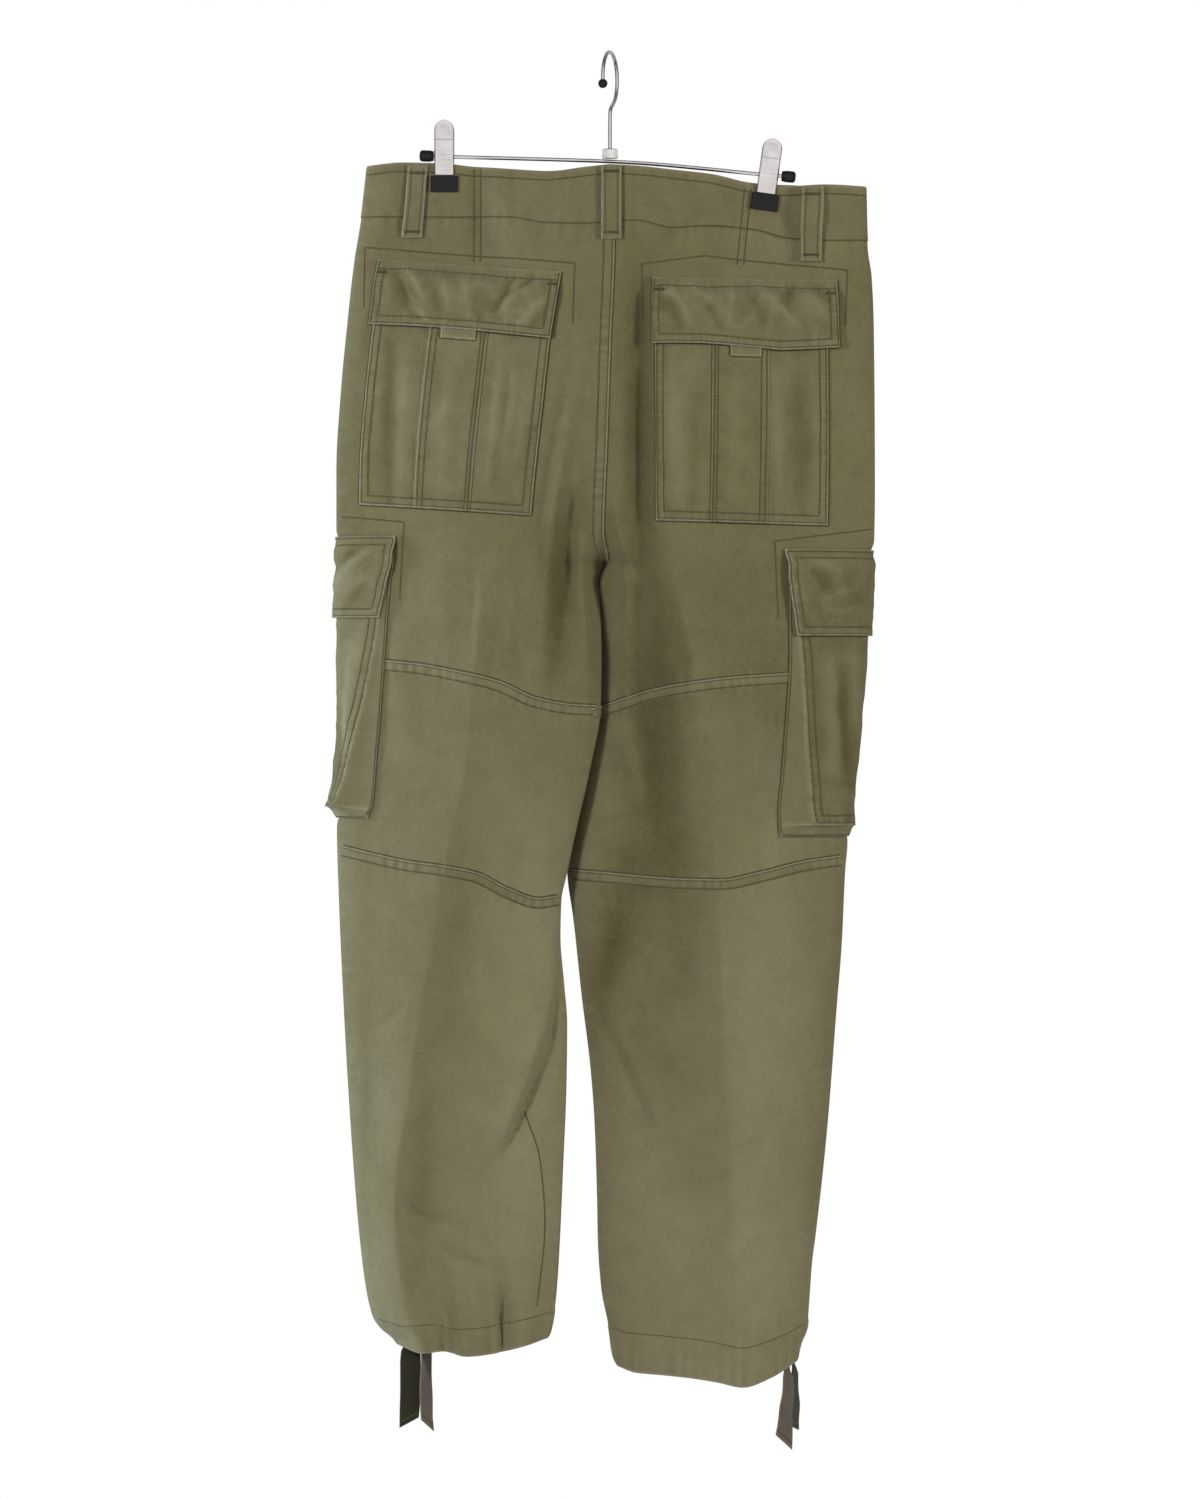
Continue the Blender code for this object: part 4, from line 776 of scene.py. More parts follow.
def hold_open(x, drop):
    """0 where a clip pinches the two layers together, 1 where they stand apart."""
    free = np.ones_like(x)
    for clip in CLIPS.values():
        jaw = bar_drop(clip["x"]) + PAD_FOOT
        lean = math.tan(math.radians(clip["tilt"]))
        centre = clip["x"] - lean * np.minimum(drop - bar_drop(clip["x"]), PAD_FOOT)
        below = np.maximum(0.0, drop - jaw)
        rise = ease((np.abs(x - centre) - PINCH_FLAT) / (34.0 + 0.45 * below))
        fade = 1 - ease(below / PINCH_FADE)
        free = free * (1 - (1 - rise) * fade)
    return free


def fork_share(drop):
    """0 where the two halves are one body, 1 from the fork down, where each is a leg."""
    near = np.clip((drop - FORK_TOP) / (FORK_DROP - FORK_TOP), 0.0, 1.0)
    return 1 - np.sqrt(1 - near**2)


def along_folds(rows, x, drop, profile):
    """The sum of a profile across each bowed line, dying away at both of its ends."""
    lift = np.zeros_like(x)
    names = ("x1", "drop1", "x2", "drop2", "bow", "wide", "rise")
    powers = rows.get("power", np.full(len(rows["x1"]), 2.0))
    for (x1, d1, x2, d2, bow, wide, rise), power in zip(zip(*(rows[name] for name in names)), powers):
        along_x, along_d = x2 - x1, d2 - d1
        long = math.hypot(along_x, along_d)
        share = ((x - x1) * along_x + (drop - d1) * along_d) / long**2
        beside = ((x - x1) * along_d - (drop - d1) * along_x) / long
        near = np.clip(share, 0.0, 1.0)
        beside = beside - 4 * bow * near * (1 - near)
        away = np.hypot(beside, (share - near) * long) / wide
        lift += rise * np.sin(np.pi * near) ** FOLD_TAPER * profile(beside, away, power)
    return lift


def folds_at(rows, x, drop):
    """Soft ridges and troughs; a power near 1 makes them sharp along the top."""
    return along_folds(rows, x, drop, lambda beside, away, power: np.exp(-(away**power)))


def laps_at(rows, x, drop):
    """Steps where one side of the line laps over the other."""

    def step(beside, away, power):
        return -np.tanh(beside / LAP_EDGE) * np.exp(-(away**power))

    return along_folds(rows, x, drop, step)


def edges_at(side, drop):
    """The x of one half's side seam, and of its middle or inside leg seam."""
    return (through(edge[side]["drop"], edge[side]["x"], drop) for edge in (OUTER, INNER))


def crease_at(side, face, drop):
    """The share at which the pressed crease lies."""
    crease = through(DEPTH[side]["drop"], DEPTH[side]["crease"], drop)
    return 0.5 + 0.3 * (crease - 0.5) if face == "front" else crease


def cloth(side, face, share, drop):
    """The outer surface, in millimetres, as x, y, z."""
    share = np.asarray(share, float)
    drop = np.asarray(drop, float)
    outer, inner = edges_at(side, drop)
    x = outer + (inner - outer) * share
    rows = DEPTH[side]
    full = through(rows["drop"], rows[face], drop)
    crease = crease_at(side, face, drop)
    press = through(rows["drop"], rows["press"], drop)
    swing = through(rows["drop"], rows["swing"], drop) * share**2
    lean = np.where(share < crease, 0.5 * share / crease, 0.5 + 0.5 * (share - crease) / (1 - crease))
    soft = np.sin(np.pi * np.clip(lean, 0, 1)) ** LEG_FULL
    tent = 1 - np.abs(2 * lean - 1) ** CREASE_SHARP
    pressed = press * ease(np.minimum(lean, 1 - lean) / EDGE_ROUND)
    leg = (1 - pressed) * soft + pressed * tent
    body = (1 - (1 - share) ** SEAT_SPREAD) ** SEAT_FULL
    parting = ease((drop - PART_TOP) / (PART_FOOT - PART_TOP))
    fork = parting + (fork_share(drop) - parting) * share**PART_NEAR
    depth = full * ((1 - fork) * body + fork * leg)
    free = hold_open(x, drop)
    rim = np.sqrt(1 - (1 - np.clip(share / 0.06, 0, 1)) ** 2)
    depth = depth * free + PINCH * rim * (1 - free)
    window = np.clip(share / 0.1, 0, 1) * np.clip((1 - share) / 0.06, 0, 1)
    depth = depth + folds_at(FOLDS[face], x, drop) * window * np.where(free > 0.05, free, 0.0)
    y = swing + (depth if face == "front" else -depth)
    return np.stack([x, y, -drop], axis=-1)


def unit(vectors):
    return vectors / np.maximum(np.linalg.norm(vectors, axis=-1, keepdims=True), 1e-9)


def hump(value, wide):
    """1 where the value is 0, dying away softly on both sides of it."""
    return np.exp(-((value / wide) ** 2))


def gone_along(points):
    """How far along a line each of its points is."""
    return np.concatenate([[0], np.cumsum(np.linalg.norm(np.diff(points, axis=0), axis=1))])


def hook_points():
    """The shaft, an easy bend into the round, and the round over the crown down to the tip."""
    turn = np.array([math.sin(HOOK_TURN), math.cos(HOOK_TURN), 0.0])
    centre = HOOK_RADIUS - HOOK_ROUND
    flat = [(0.0, -COLLAR_TOP + SEAM_GAP), (0.0, -72.0), (0.0, -62.0)]
    first = math.radians(-48)
    join = (HOOK_ROUND * math.cos(first), centre + HOOK_ROUND * math.sin(first))
    lead = (-math.sin(first), math.cos(first))
    knots = ((0.0, -55.0), (0.0, -46.5), (join[0] - 9 * lead[0], join[1] - 9 * lead[1]), join)
    for k in range(1, 7):
        u = k / 6
        mix = ((1 - u) ** 3, 3 * u * (1 - u) ** 2, 3 * u * u * (1 - u), u**3)
        flat.append(tuple(sum(m * knot[axis] for m, knot in zip(mix, knots)) for axis in (0, 1)))
    for k in range(1, 22):
        angle = first + (math.radians(186) - first) * k / 21
        flat.append((HOOK_ROUND * math.cos(angle), centre + HOOK_ROUND * math.sin(angle)))
    base = np.array([HOOK_X, 0.0, 0.0])
    return [base + turn * q + np.array([0, 0, z]) for q, z in flat]


# ---- finishes ----


def node(tree, kind, inputs=None, **settings):
    """Adds a shader node, sets it up and feeds its sockets with values or with other sockets."""
    made = tree.nodes.new("ShaderNode" + kind)
    for key, value in settings.items():
        setattr(made, key, value)
    for key, value in (inputs or {}).items():
        if isinstance(value, bpy.types.NodeSocket):
            tree.links.new(value, made.inputs[key])
        else:
            made.inputs[key].default_value = value
    return made


def ramp(tree, value, low, high, start=0.0, end=1.0):
    """A value carried from one range to another, held at the ends."""
    made = node(tree, "MapRange", {"From Min": low, "From Max": high, "To Min": start, "To Max": end})
    tree.links.new(value, made.inputs["Value"])
    return made.outputs["Result"]


def math_of(tree, operation, first, second):
    return node(tree, "Math", {0: first, 1: second}, operation=operation).outputs[0]


def summed(tree, first, much, second, more):
    """The sum of two values, each times its own weight."""
    return math_of(
        tree, "ADD", math_of(tree, "MULTIPLY", first, much), math_of(tree, "MULTIPLY", second, more)
    )


def mixed(tree, share, first, second):
    return node(tree, "Mix", {0: share, 6: first, 7: second}, data_type="RGBA").outputs[2]


def speckle(tree, place, scale, detail=3.0, rough=0.55):
    inputs = {"Vector": place, "Scale": scale, "Detail": detail, "Roughness": rough}
    return node(tree, "TexNoise", inputs).outputs["Fac"]


def stretched(tree, place, scale, turn=0.0):
    made = node(tree, "Mapping", {"Vector": place, "Scale": scale, "Rotation": (0.0, 0.0, turn)})
    return made.outputs["Vector"]


def new_group(name, inputs, outputs):
    tree = bpy.data.node_groups.new(name, "ShaderNodeTree")
    for label, kind, value in inputs:
        socket = tree.interface.new_socket(label, in_out="INPUT", socket_type="NodeSocket" + kind)
        if value is not None:
            socket.default_value = value
    for label, kind in outputs:
        tree.interface.new_socket(label, in_out="OUTPUT", socket_type="NodeSocket" + kind)
    return tree, tree.nodes.new("NodeGroupInput"), tree.nodes.new("NodeGroupOutput")


def twill_weave():
    """Slanted twill lines with slubs along the warp."""
    tree, given, out = new_group(
        "twill weave",
        [("Cut", "Vector", None), ("Lines", "Float", 571.0), ("Slubs", "Float", 0.5)],
        [("Height", "Float"), ("Threads", "Float")],
    )
    cut = given.outputs["Cut"]
    slant = stretched(tree, cut, (1, 1, 1), math.radians(27))
    lines = node(tree, "TexWave", {"Vector": slant, "Distortion": 0.6})
    tree.links.new(given.outputs["Lines"], lines.inputs["Scale"])
    slub = speckle(tree, stretched(tree, cut, (900, 70, 1)), 1.0, 3.0)
    grain = speckle(tree, stretched(tree, cut, (700, 620, 1)), 1.0, 2.0)
    slubs = math_of(tree, "MULTIPLY", slub, given.outputs["Slubs"])
    height = math_of(tree, "ADD", math_of(tree, "MULTIPLY", lines.outputs["Fac"], 0.6), slubs)
    tree.links.new(height, out.inputs["Height"])
    both = summed(tree, grain, 0.6, slub, 0.4)
    tree.links.new(ramp(tree, both, 0.3, 0.7), out.inputs["Threads"])
    return tree


def washed_colour():
    """The dyed colour after washing and wear (faded patches, mottling, rubbed pale edges) with
    painted light and shade laid over it.
    """
    tree, given, out = new_group(
        "washed colour",
        [
            ("Colour", "Color", (0.2, 0.2, 0.2, 1)),
            ("Pale", "Color", (0.4, 0.4, 0.4, 1)),
            ("Place", "Vector", None),
            ("Threads", "Float", 0.5),
            ("Wear", "Float", 0.0),
            ("Painted shading", "Float", 0.0),
            ("Fade", "Float", 0.2),
        ],
        [("Colour", "Color"), ("Rub", "Float")],
    )
    place = given.outputs["Place"]
    patches = ramp(tree, speckle(tree, place, 5.5, 4.0), 0.35, 0.68)
    mottle = ramp(tree, speckle(tree, place, 48.0, 5.0, 0.62), 0.3, 0.7)
    fine = ramp(tree, speckle(tree, place, 260.0, 3.0, 0.6), 0.3, 0.7)
    tone_shift = math_of(tree, "MULTIPLY", patches, given.outputs["Fade"])
    colour = mixed(tree, tone_shift, given.outputs["Colour"], given.outputs["Pale"])
    grain = summed(tree, mottle, 0.15, fine, 0.14)
    grain = math_of(tree, "ADD", grain, math_of(tree, "MULTIPLY", given.outputs["Threads"], 0.18))
    light = math_of(tree, "ADD", grain, 0.765)
    # painted light and shade: below zero it darkens the colour, the blue most, so that shaded folds
    # look darker and more yellow; above zero it lightens it
    painted_shading_inputs = {0: given.outputs["Painted shading"], 1: (0.11, 0.115, 0.15), 2: light}
    deep = node(tree, "VectorMath", painted_shading_inputs, operation="MULTIPLY_ADD").outputs[0]
    toned = node(tree, "VectorMath", {0: colour, 1: deep}, operation="MULTIPLY").outputs[0]
    broken = ramp(tree, speckle(tree, place, 170.0, 4.0, 0.65), 0.32, 0.62, 0.25, 1.0)
    rub = math_of(tree, "MULTIPLY", given.outputs["Wear"], broken)
    tree.links.new(mixed(tree, rub, toned, given.outputs["Pale"]), out.inputs["Colour"])
    tree.links.new(rub, out.inputs["Rub"])
    return tree


def principled(name, colour, rough, metallic=0.0, **plain):
    finish = bpy.data.materials.new(name)
    finish.use_nodes = True
    shader = finish.node_tree.nodes["Principled BSDF"]
    shader.inputs["Base Color"].default_value = (*colour, 1.0)
    shader.inputs["Roughness"].default_value = rough
    shader.inputs["Metallic"].default_value = metallic
    for key, value in plain.items():
        shader.inputs[key.replace("_", " ")].default_value = value
    return finish, finish.node_tree, shader


def bumped(tree, shader, height, strength, distance):
    bump = node(tree, "Bump", {"Height": height, "Strength": strength, "Distance": distance})
    tree.links.new(bump.outputs["Normal"], shader.inputs["Normal"])


WEAVE = twill_weave()
WASHED = washed_colour()


def cotton(name, colour, pale, fade, strength=0.45, lines=571.0, herring=False):
    """Woven cotton on the piece's own cut, with its wear and its painted light and shade."""
    rough, slubs = 0.9, 0.5
    finish, tree, shader = principled(name, colour, rough, Sheen_Weight=0.12, Sheen_Roughness=0.5)
    shader.inputs["Specular IOR Level"].default_value = 0.25
    cut = node(tree, "UVMap", uv_map="cut").outputs["UV"]
    if herring:
        parts = node(tree, "SeparateXYZ", {0: cut})
        away = node(tree, "Math", {0: parts.outputs["X"]}, operation="ABSOLUTE").outputs[0]
        cut = node(tree, "CombineXYZ", {"X": away, "Y": parts.outputs["Y"]}).outputs[0]
    place = node(tree, "TexCoord").outputs["Object"]
    threads = {"Cut": cut, "Lines": lines, "Slubs": slubs}
    weave = node(tree, "Group", threads, node_tree=WEAVE).outputs
    wear = node(tree, "Attribute", attribute_name="wear").outputs["Fac"]
    # painted light and shade, stored on each piece's points
    painted_shading = node(tree, "Attribute", attribute_name="painted_shading").outputs["Fac"]
    washed = node(
        tree,
        "Group",
        {
            "Colour": (*colour, 1.0),
            "Pale": (*pale, 1.0),
            "Place": place,
            "Threads": weave["Threads"],
            "Wear": wear,
            "Painted shading": painted_shading,
            "Fade": fade,
        },
        node_tree=WASHED,
    ).outputs
    tree.links.new(washed["Colour"], shader.inputs["Base Color"])
    tree.links.new(ramp(tree, washed["Rub"], 0, 1, rough, rough + 0.06), shader.inputs["Roughness"])
    bumped(tree, shader, weave["Height"], strength, 0.0004)
    return finish


def thread_finish(name, colour, rough):
    """Sewing thread, or the dark strip that paints shade under stitches and shadow beside thick
    edges.
    """
    finish, tree, shader = principled(name, colour, rough, Sheen_Weight=0.05)
    shader.inputs["Specular IOR Level"].default_value = 0.3
    place = node(tree, "TexCoord").outputs["Object"]
    tone = ramp(tree, speckle(tree, place, 70.0, 3.0), 0.3, 0.7)
    dark = tuple(0.8 * c for c in colour) + (1.0,)
    tree.links.new(mixed(tree, tone, dark, (*colour, 1.0)), shader.inputs["Base Color"])
    bumped(tree, shader, speckle(tree, place, 1800.0, 2.0), 0.3, 0.0002)
    return finish


def metal_finish():
    finish, tree, shader = principled("nickel plate", (0.88, 0.85, 0.84), 0.14, 1.0)
    place = node(tree, "TexCoord").outputs["Object"]
    scuffs = speckle(tree, stretched(tree, place, (60, 60, 900)), 1.0, 4.0, 0.7)
    cloud = speckle(tree, place, 90.0, 4.0)
    both = summed(tree, scuffs, 0.5, cloud, 0.5)
    tree.links.new(ramp(tree, both, 0.3, 0.7, 0.10, 0.30), shader.inputs["Roughness"])
    tint = mixed(tree, ramp(tree, cloud, 0.35, 0.65), (0.82, 0.77, 0.76, 1), (0.94, 0.91, 0.90, 1))
    tree.links.new(tint, shader.inputs["Base Color"])
    bumped(tree, shader, scuffs, 0.08, 0.0002)
    return finish


def moulded(name, colour, rough, grain, spread_of=0.08, **plain):
    """Moulded rubber or plastic with a fine grain and an uneven gloss."""
    finish, tree, shader = principled(name, colour, rough, **plain)
    place = node(tree, "TexCoord").outputs["Object"]
    cloud = speckle(tree, place, 130.0, 4.0)
    light = tuple(min(1.0, 1.25 * c + 0.004) for c in colour) + (1.0,)
    tone = mixed(tree, ramp(tree, cloud, 0.35, 0.7), (*colour, 1.0), light)
    tree.links.new(tone, shader.inputs["Base Color"])
    low, high = rough - spread_of, rough + spread_of
    tree.links.new(ramp(tree, cloud, 0.3, 0.7, low, high), shader.inputs["Roughness"])
    bumped(tree, shader, speckle(tree, place, 1500.0, 3.0), grain, 0.0003)
    return finish


OLIVE = cotton("olive twill", (0.178, 0.158, 0.082), (0.300, 0.278, 0.190), fade=0.18)
OLIVE_WORN = cotton("olive twill, worn", (0.180, 0.160, 0.084), (0.330, 0.306, 0.215), fade=0.22)
HERRING = {"fade": 0.3, "strength": 0.6, "lines": 420.0, "herring": True}
# the tapes that hang behind take a darker copy of the tape, as painted shade
TAPE_SHADED = cotton("herringbone tape in painted shade", (0.036, 0.033, 0.017), (0.09, 0.085, 0.06), **HERRING)
TAPE_PALE = cotton("pale herringbone tape", (0.125, 0.103, 0.076), (0.24, 0.21, 0.17), **HERRING)
THREAD = thread_finish("olive thread", (0.150, 0.135, 0.082), 0.75)
# a darker copy of the thread colour, laid in strips that paint shade and shadow
SHADE_STRIP = thread_finish("painted shade strip", (0.098, 0.085, 0.042), 0.95)
CHROME = metal_finish()
RUBBER = moulded("black rubber", (0.006, 0.006, 0.007), 0.30, 0.12, 0.05, Specular_IOR_Level=0.35)
COLLAR_PLASTIC = moulded("milky plastic", (0.80, 0.80, 0.78), 0.22, 0.05, 0.06, Coat_Weight=0.4)
COLLAR_RIM = moulded("amber lacquer", (0.065, 0.038, 0.022), 0.25, 0.05, 0.06)
BUTTON = moulded("olive button", (0.058, 0.050, 0.028), 0.34, 0.10)


# ---- seams and stitching ----

# Stitches from one to the next, and their length, width and height; then how wide the dark strip
# that paints shade under a row of stitches, and the one that paints shadow beside a thick edge, are
STITCH_PITCH = 3.1
STITCH_LONG = 2.05
STITCH_WIDE = 0.7
STITCH_HIGH = 0.34
GROOVE_SHADE_WIDE = 1.35
SHADOW_STRIP_WIDE = 1.5
# Rows of stitches in a pair stand this far apart
DOUBLE_GAP = 6.0
# From how far in front of the middle the ground is looked at, in metres, and over how many points
# on each side its normals are smoothed
LOOK_FROM = 0.4
SMOOTHED = 3
CLOTH_PIECES = []


def cloth_piece(piece, outer, on):
    """Keeps a piece with its surface and what it lies on; its seams and stitches are added to it as
    they are made.
    """
    CLOTH_PIECES.append({"piece": piece, "outer": outer, "on": on, "with": []})


def goes_with(piece, owner):
    for row in CLOTH_PIECES:
        if row["piece"] == owner:
            row["with"].append(piece)


def stitch_form():
    """One stitch: a small block with a narrower, shorter top."""
    bm = bmesh.new()
    bmesh.ops.create_cube(bm, size=1.0)
    bmesh.ops.scale(bm, vec=(0.72, 0.6, 1.0), verts=[v for v in bm.verts if v.co.z > 0])
    bm.verts.ensure_lookup_table()
    points = np.array([v.co for v in bm.verts])
    faces = np.array([[v.index for v in f.verts] for f in bm.faces])
    bm.free()
    return points, faces


STITCH = stitch_form()


def along_path(points, normals, step):
    """The path walked in even steps: points, normals and directions."""
    gone = gone_along(points)
    if gone[-1] < 2 * step:
        return None
    at = np.linspace(0, gone[-1], max(3, int(round(gone[-1] / step)) + 1))
    path = np.stack([np.interp(at, gone, points[:, k]) for k in range(3)], axis=1)
    up = unit(np.stack([np.interp(at, gone, normals[:, k]) for k in range(3)], axis=1))
    lead = unit(np.gradient(path, axis=0))
    return path, up, lead


class Sewing:
    """The stitches of one piece: raised threads on a darker strip that paints the shade of their
    groove.
    """

    def __init__(self, name, owner):
        self.name, self.owner = name, owner
        self.points, self.faces, self.kinds = [], [], []
        self.count = 0

    def add(self, points, faces, kind):
        self.points.append(points)
        self.faces.append(faces + self.count)
        self.kinds.append(np.full(len(faces), kind))
        self.count += len(points)

    def threads(self, path, up, lead, long, wide, high):
        side = np.cross(up, lead)
        form, faces = STITCH
        x, y, z = form[:, 0] * long, form[:, 1] * wide, (form[:, 2] + 0.5) * high
        placed_at = (
            path[:, None]
            + lead[:, None] * x[None, :, None]
            + side[:, None] * y[None, :, None]
            + up[:, None] * z[None, :, None]
        )
        each = faces[None] + np.arange(len(path))[:, None, None] * len(form)
        self.add(placed_at.reshape(-1, 3), each.reshape(-1, 4), 0)

    def press(self, points, normals, wide=SHADOW_STRIP_WIDE):
        """A dark strip laid on the cloth that paints shade: the shadow beside a thick edge, or the
        shade in the groove under a row of stitches.
        """
        walked = along_path(points, normals, 1.5)
        if walked is None:
            return
        path, up, lead = walked
        side = np.cross(up, lead)
        edges = ((-0.5, 0.0), (-0.28, 0.13), (0.28, 0.13), (0.5, 0.0))
        strip = np.stack([path + side * wide * s + up * (0.02 + h) for s, h in edges], axis=1)
        start = np.arange(len(path) - 1)[:, None] * 4
        corner = np.arange(4)[None, :]
        after = (corner + 1) % 4
        quads = [start + corner, start + after, start + 4 + after, start + 4 + corner]
        quads = np.stack(quads, axis=-1)
        last = (len(path) - 1) * 4
        ends = np.array([[3, 2, 1, 0], [last, last + 1, last + 2, last + 3]])
        self.add(strip.reshape(-1, 3), np.concatenate([quads.reshape(-1, 4), ends]), 1)

    def run(self, points, normals, pitch=STITCH_PITCH, line=GROOVE_SHADE_WIDE):
        """A row of stitches, on a dark strip that paints the shade of its groove."""
        walked = along_path(points, normals, pitch)
        if walked is None:
            return
        if line:
            self.press(points, normals, line)
        path, up, _ = walked
        middle = (path[1:] + path[:-1]) / 2
        size = STITCH_LONG * pitch / STITCH_PITCH, STITCH_WIDE, STITCH_HIGH
        self.threads(middle + up[1:] * 0.08, up[1:], unit(path[1:] - path[:-1]), *size)

    def edging(self, outer, normals, edges, insets, trim=None):
        """Rows inside the named edges. Without a trim, each stops where its neighbours cross it."""
        for inset in insets:
            for edge in edges:
                self.run(*inset_line(outer, normals, edge, inset, trim or (inset, inset)))

    def bar(self, points, normals, long=2.6):
        """A bar-tack: close threads laid side by side across the line."""
        walked = along_path(points, normals, 0.75)
        if walked is None:
            return
        path, up, lead = walked
        side = np.cross(up, lead)
        self.threads(path + up * 0.1, up, side, long, 0.5, 0.5)

    def made(self, slot="cloth"):
        if not self.points:
            return None
        points, faces = np.concatenate(self.points) * MM, np.concatenate(self.faces)
        mesh = bpy.data.meshes.new(self.name)
        mesh.from_pydata(points.tolist(), [], faces.tolist())
        mesh.materials.append(THREAD)
        mesh.materials.append(SHADE_STRIP)
        mesh.polygons.foreach_set("material_index", np.concatenate(self.kinds).astype(np.int32))
        bm = bmesh.new()
        bm.from_mesh(mesh)
        bmesh.ops.recalc_face_normals(bm, faces=bm.faces[:])
        bm.to_mesh(mesh)
        bm.free()
        mesh.shade_smooth()
        mesh.set_sharp_from_angle(angle=math.radians(35))
        piece = linked(self.name, mesh)
        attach(piece, "root")
        goes_with(piece, self.owner)
        return piece


def inset_line(outer, normals, edge, inset, trim):
    """A line at a distance inside one edge of a piece, as points and normals, trimmed at its ends."""
    if edge in "se":
        outer, normals = outer.transpose(1, 0, 2), normals.transpose(1, 0, 2)
    if edge in "be":
        outer, normals = outer[::-1], normals[::-1]
    _, down = arcs(outer)
    line, up = [], []
    for c in range(outer.shape[1]):
        line.append([np.interp(inset, down[:, c], outer[:, c, k]) for k in range(3)])
        up.append([np.interp(inset, down[:, c], normals[:, c, k]) for k in range(3)])
    line, up = np.array(line), np.array(up)
    gone = gone_along(line)
    at = np.linspace(trim[0], gone[-1] - trim[1], max(3, int((gone[-1] - sum(trim)) / 1.2)))
    line = np.stack([np.interp(at, gone, line[:, k]) for k in range(3)], axis=1)
    up = np.stack([np.interp(at, gone, up[:, k]) for k in range(3)], axis=1)
    return line, unit(up)


def drawn(points, step=1.4, smooth=True):
    """Even steps along a line given by a few points."""
    points = np.array(points, float)
    gone = gone_along(points)
    at = np.linspace(0, gone[-1], max(3, int(gone[-1] / step)))
    if smooth and len(points) > 2:
        return np.stack([through(gone, points[:, k], at) for k in range(points.shape[1])], axis=1)
    return np.stack([np.interp(at, gone, points[:, k]) for k in range(points.shape[1])], axis=1)


def sidestep(flat, away):
    """The same line moved sideways by a distance."""
    lead = unit(np.gradient(flat, axis=0))
    return flat + np.stack([-lead[:, 1], lead[:, 0]], axis=1) * away


class Ground:
    """Finished pieces of one face, on which seams and stitches are laid by looking along Y."""

    def __init__(self, pieces, face):
        self.toward = 1.0 if face == "front" else -1.0
        points, faces, count = [], [], 0
        for piece in pieces:
            mesh = piece.data
            points += [tuple(v.co) for v in mesh.vertices]
            faces += [[i + count for i in p.vertices] for p in mesh.polygons]
            count += len(mesh.vertices)
        self.tree = BVHTree.FromPolygons(points, faces)

    def lay(self, flat):
        """Points and smoothed normals on the cloth for each (x, drop) of a line that meets it."""
        found, ups = [], []
        for x, drop in flat:
            start = Vector((x * MM, LOOK_FROM * self.toward, -drop * MM))
            place, normal, _, _ = self.tree.ray_cast(start, Vector((0, -self.toward, 0)))
            if place is not None:
                found.append(np.array(place) / MM)
                ups.append(np.array(normal))
        if len(found) < 5:
            return None
        found, ups = np.array(found), np.array(ups)
        pad = np.concatenate([ups[:1]] * SMOOTHED + [ups] + [ups[-1:]] * SMOOTHED)
        ups = unit(sum(pad[k : k + len(ups)] for k in range(2 * SMOOTHED + 1)))
        return found, ups


def seam_band(name, ground, flat, wide, high, owner, seed=0.0):
    """A lapped seam: its folded edge stands up on one side and it sinks in on the other."""
    offsets = np.array([-0.5, -0.485, -0.42, -0.33, -0.2, 0.05, 0.27, 0.37, 0.44, 0.5]) * wide
    heights = np.array([0.04, 0.9, 1.0, 0.72, 0.74, 0.66, 0.5, 0.22, 0.3, 0.04]) * high
    laid = [ground.lay(sidestep(flat, away)) for away in offsets]
    if any(row is None or len(row[0]) != len(flat) for row in laid):
        return None
    base = np.stack([row[0] for row in laid], axis=1)
    normals = np.stack([row[1] for row in laid], axis=1)
    gone = gone_along(flat)[:, None]
    phase = 1.7 * np.sin(gone / 13 + seed) + 1.1 * np.sin(gone / 5.9 + 2 * seed)
    wave = np.sin(2 * np.pi * gone / 9.0 + phase)
    amount = np.clip(0.35 + 0.8 * np.sin(gone / 19 + seed), 0.1, 1)
    gather = 0.3 * np.sign(wave) * np.abs(wave) ** 1.6 * amount
    rise = heights[None] + gather * (heights[None] > 0.3 * high)
    outer = base + normals * rise[..., None]
    inner = base + normals * 0.01
    wear = 1.0 * hump(offsets + 0.45 * wide, 0.75)[None] + 0 * gone
    # painted light and shade: paler on the puckers' ridges, darker in their hollows and in the dip
    # near the band's far side
    painted_shading = np.clip(gather / 0.25, -1, 1) - 0.8 * hump(offsets - 0.37 * wide, 0.8)[None]
    piece = shell(name, outer, inner, OLIVE_WORN, (), wear, np.clip(painted_shading, -1, 1))
    goes_with(piece, owner)
    return outer, normals


# ---- the cloth and what lies on it ----


def rumple(x, drop, seed):
    """The soft unevenness of worn cotton, with a few faint creases above the knee."""
    worn = 0.55 + 0.45 * (1 - ease((drop - 420) / 160))
    soft = [
        noise.noise(Vector((a / 64, b / 92, seed)))
        + 0.30 * noise.noise(Vector((a / 24, b / 33, seed + 40)))
        for a, b in zip(x.ravel(), drop.ravel())
    ]
    return (np.array(soft).reshape(x.shape) + 0.28 * crumpled(x, drop, seed + 80, 40)) * worn


def crumpled(x, drop, seed, size):
    """Creased cloth: thin soft ridges that wander and meet at angles, about -1 to 1."""
    found = []
    for a, b in zip(x.ravel(), drop.ravel()):
        bend = 0.5 * noise.noise(Vector((a / (2.1 * size), b / (2.6 * size), seed + 9)))
        value = noise.noise(Vector((a / size + bend, b / (1.25 * size) - bend, seed)))
        found.append(1 - 2 * min(1.0, abs(value) * 2.4) ** 0.75)
    return np.array(found).reshape(x.shape)


def pucker(along, away, reach, seed, pitch=PUCKER_PITCH):
    """Short uneven ripples that cross a seam and die away from it, from -1 to 1."""
    turn = 2 * np.pi * along / pitch
    phase = turn + 1.4 * np.sin(turn / 3.7 + seed) + 1.1 * np.sin(turn / 6.3 + 2.3 * seed)
    amount = 0.6 + 0.4 * np.sin(turn / 4.6 + 3.1 * seed)
    return amount * np.cos(phase) * hump(away, reach)


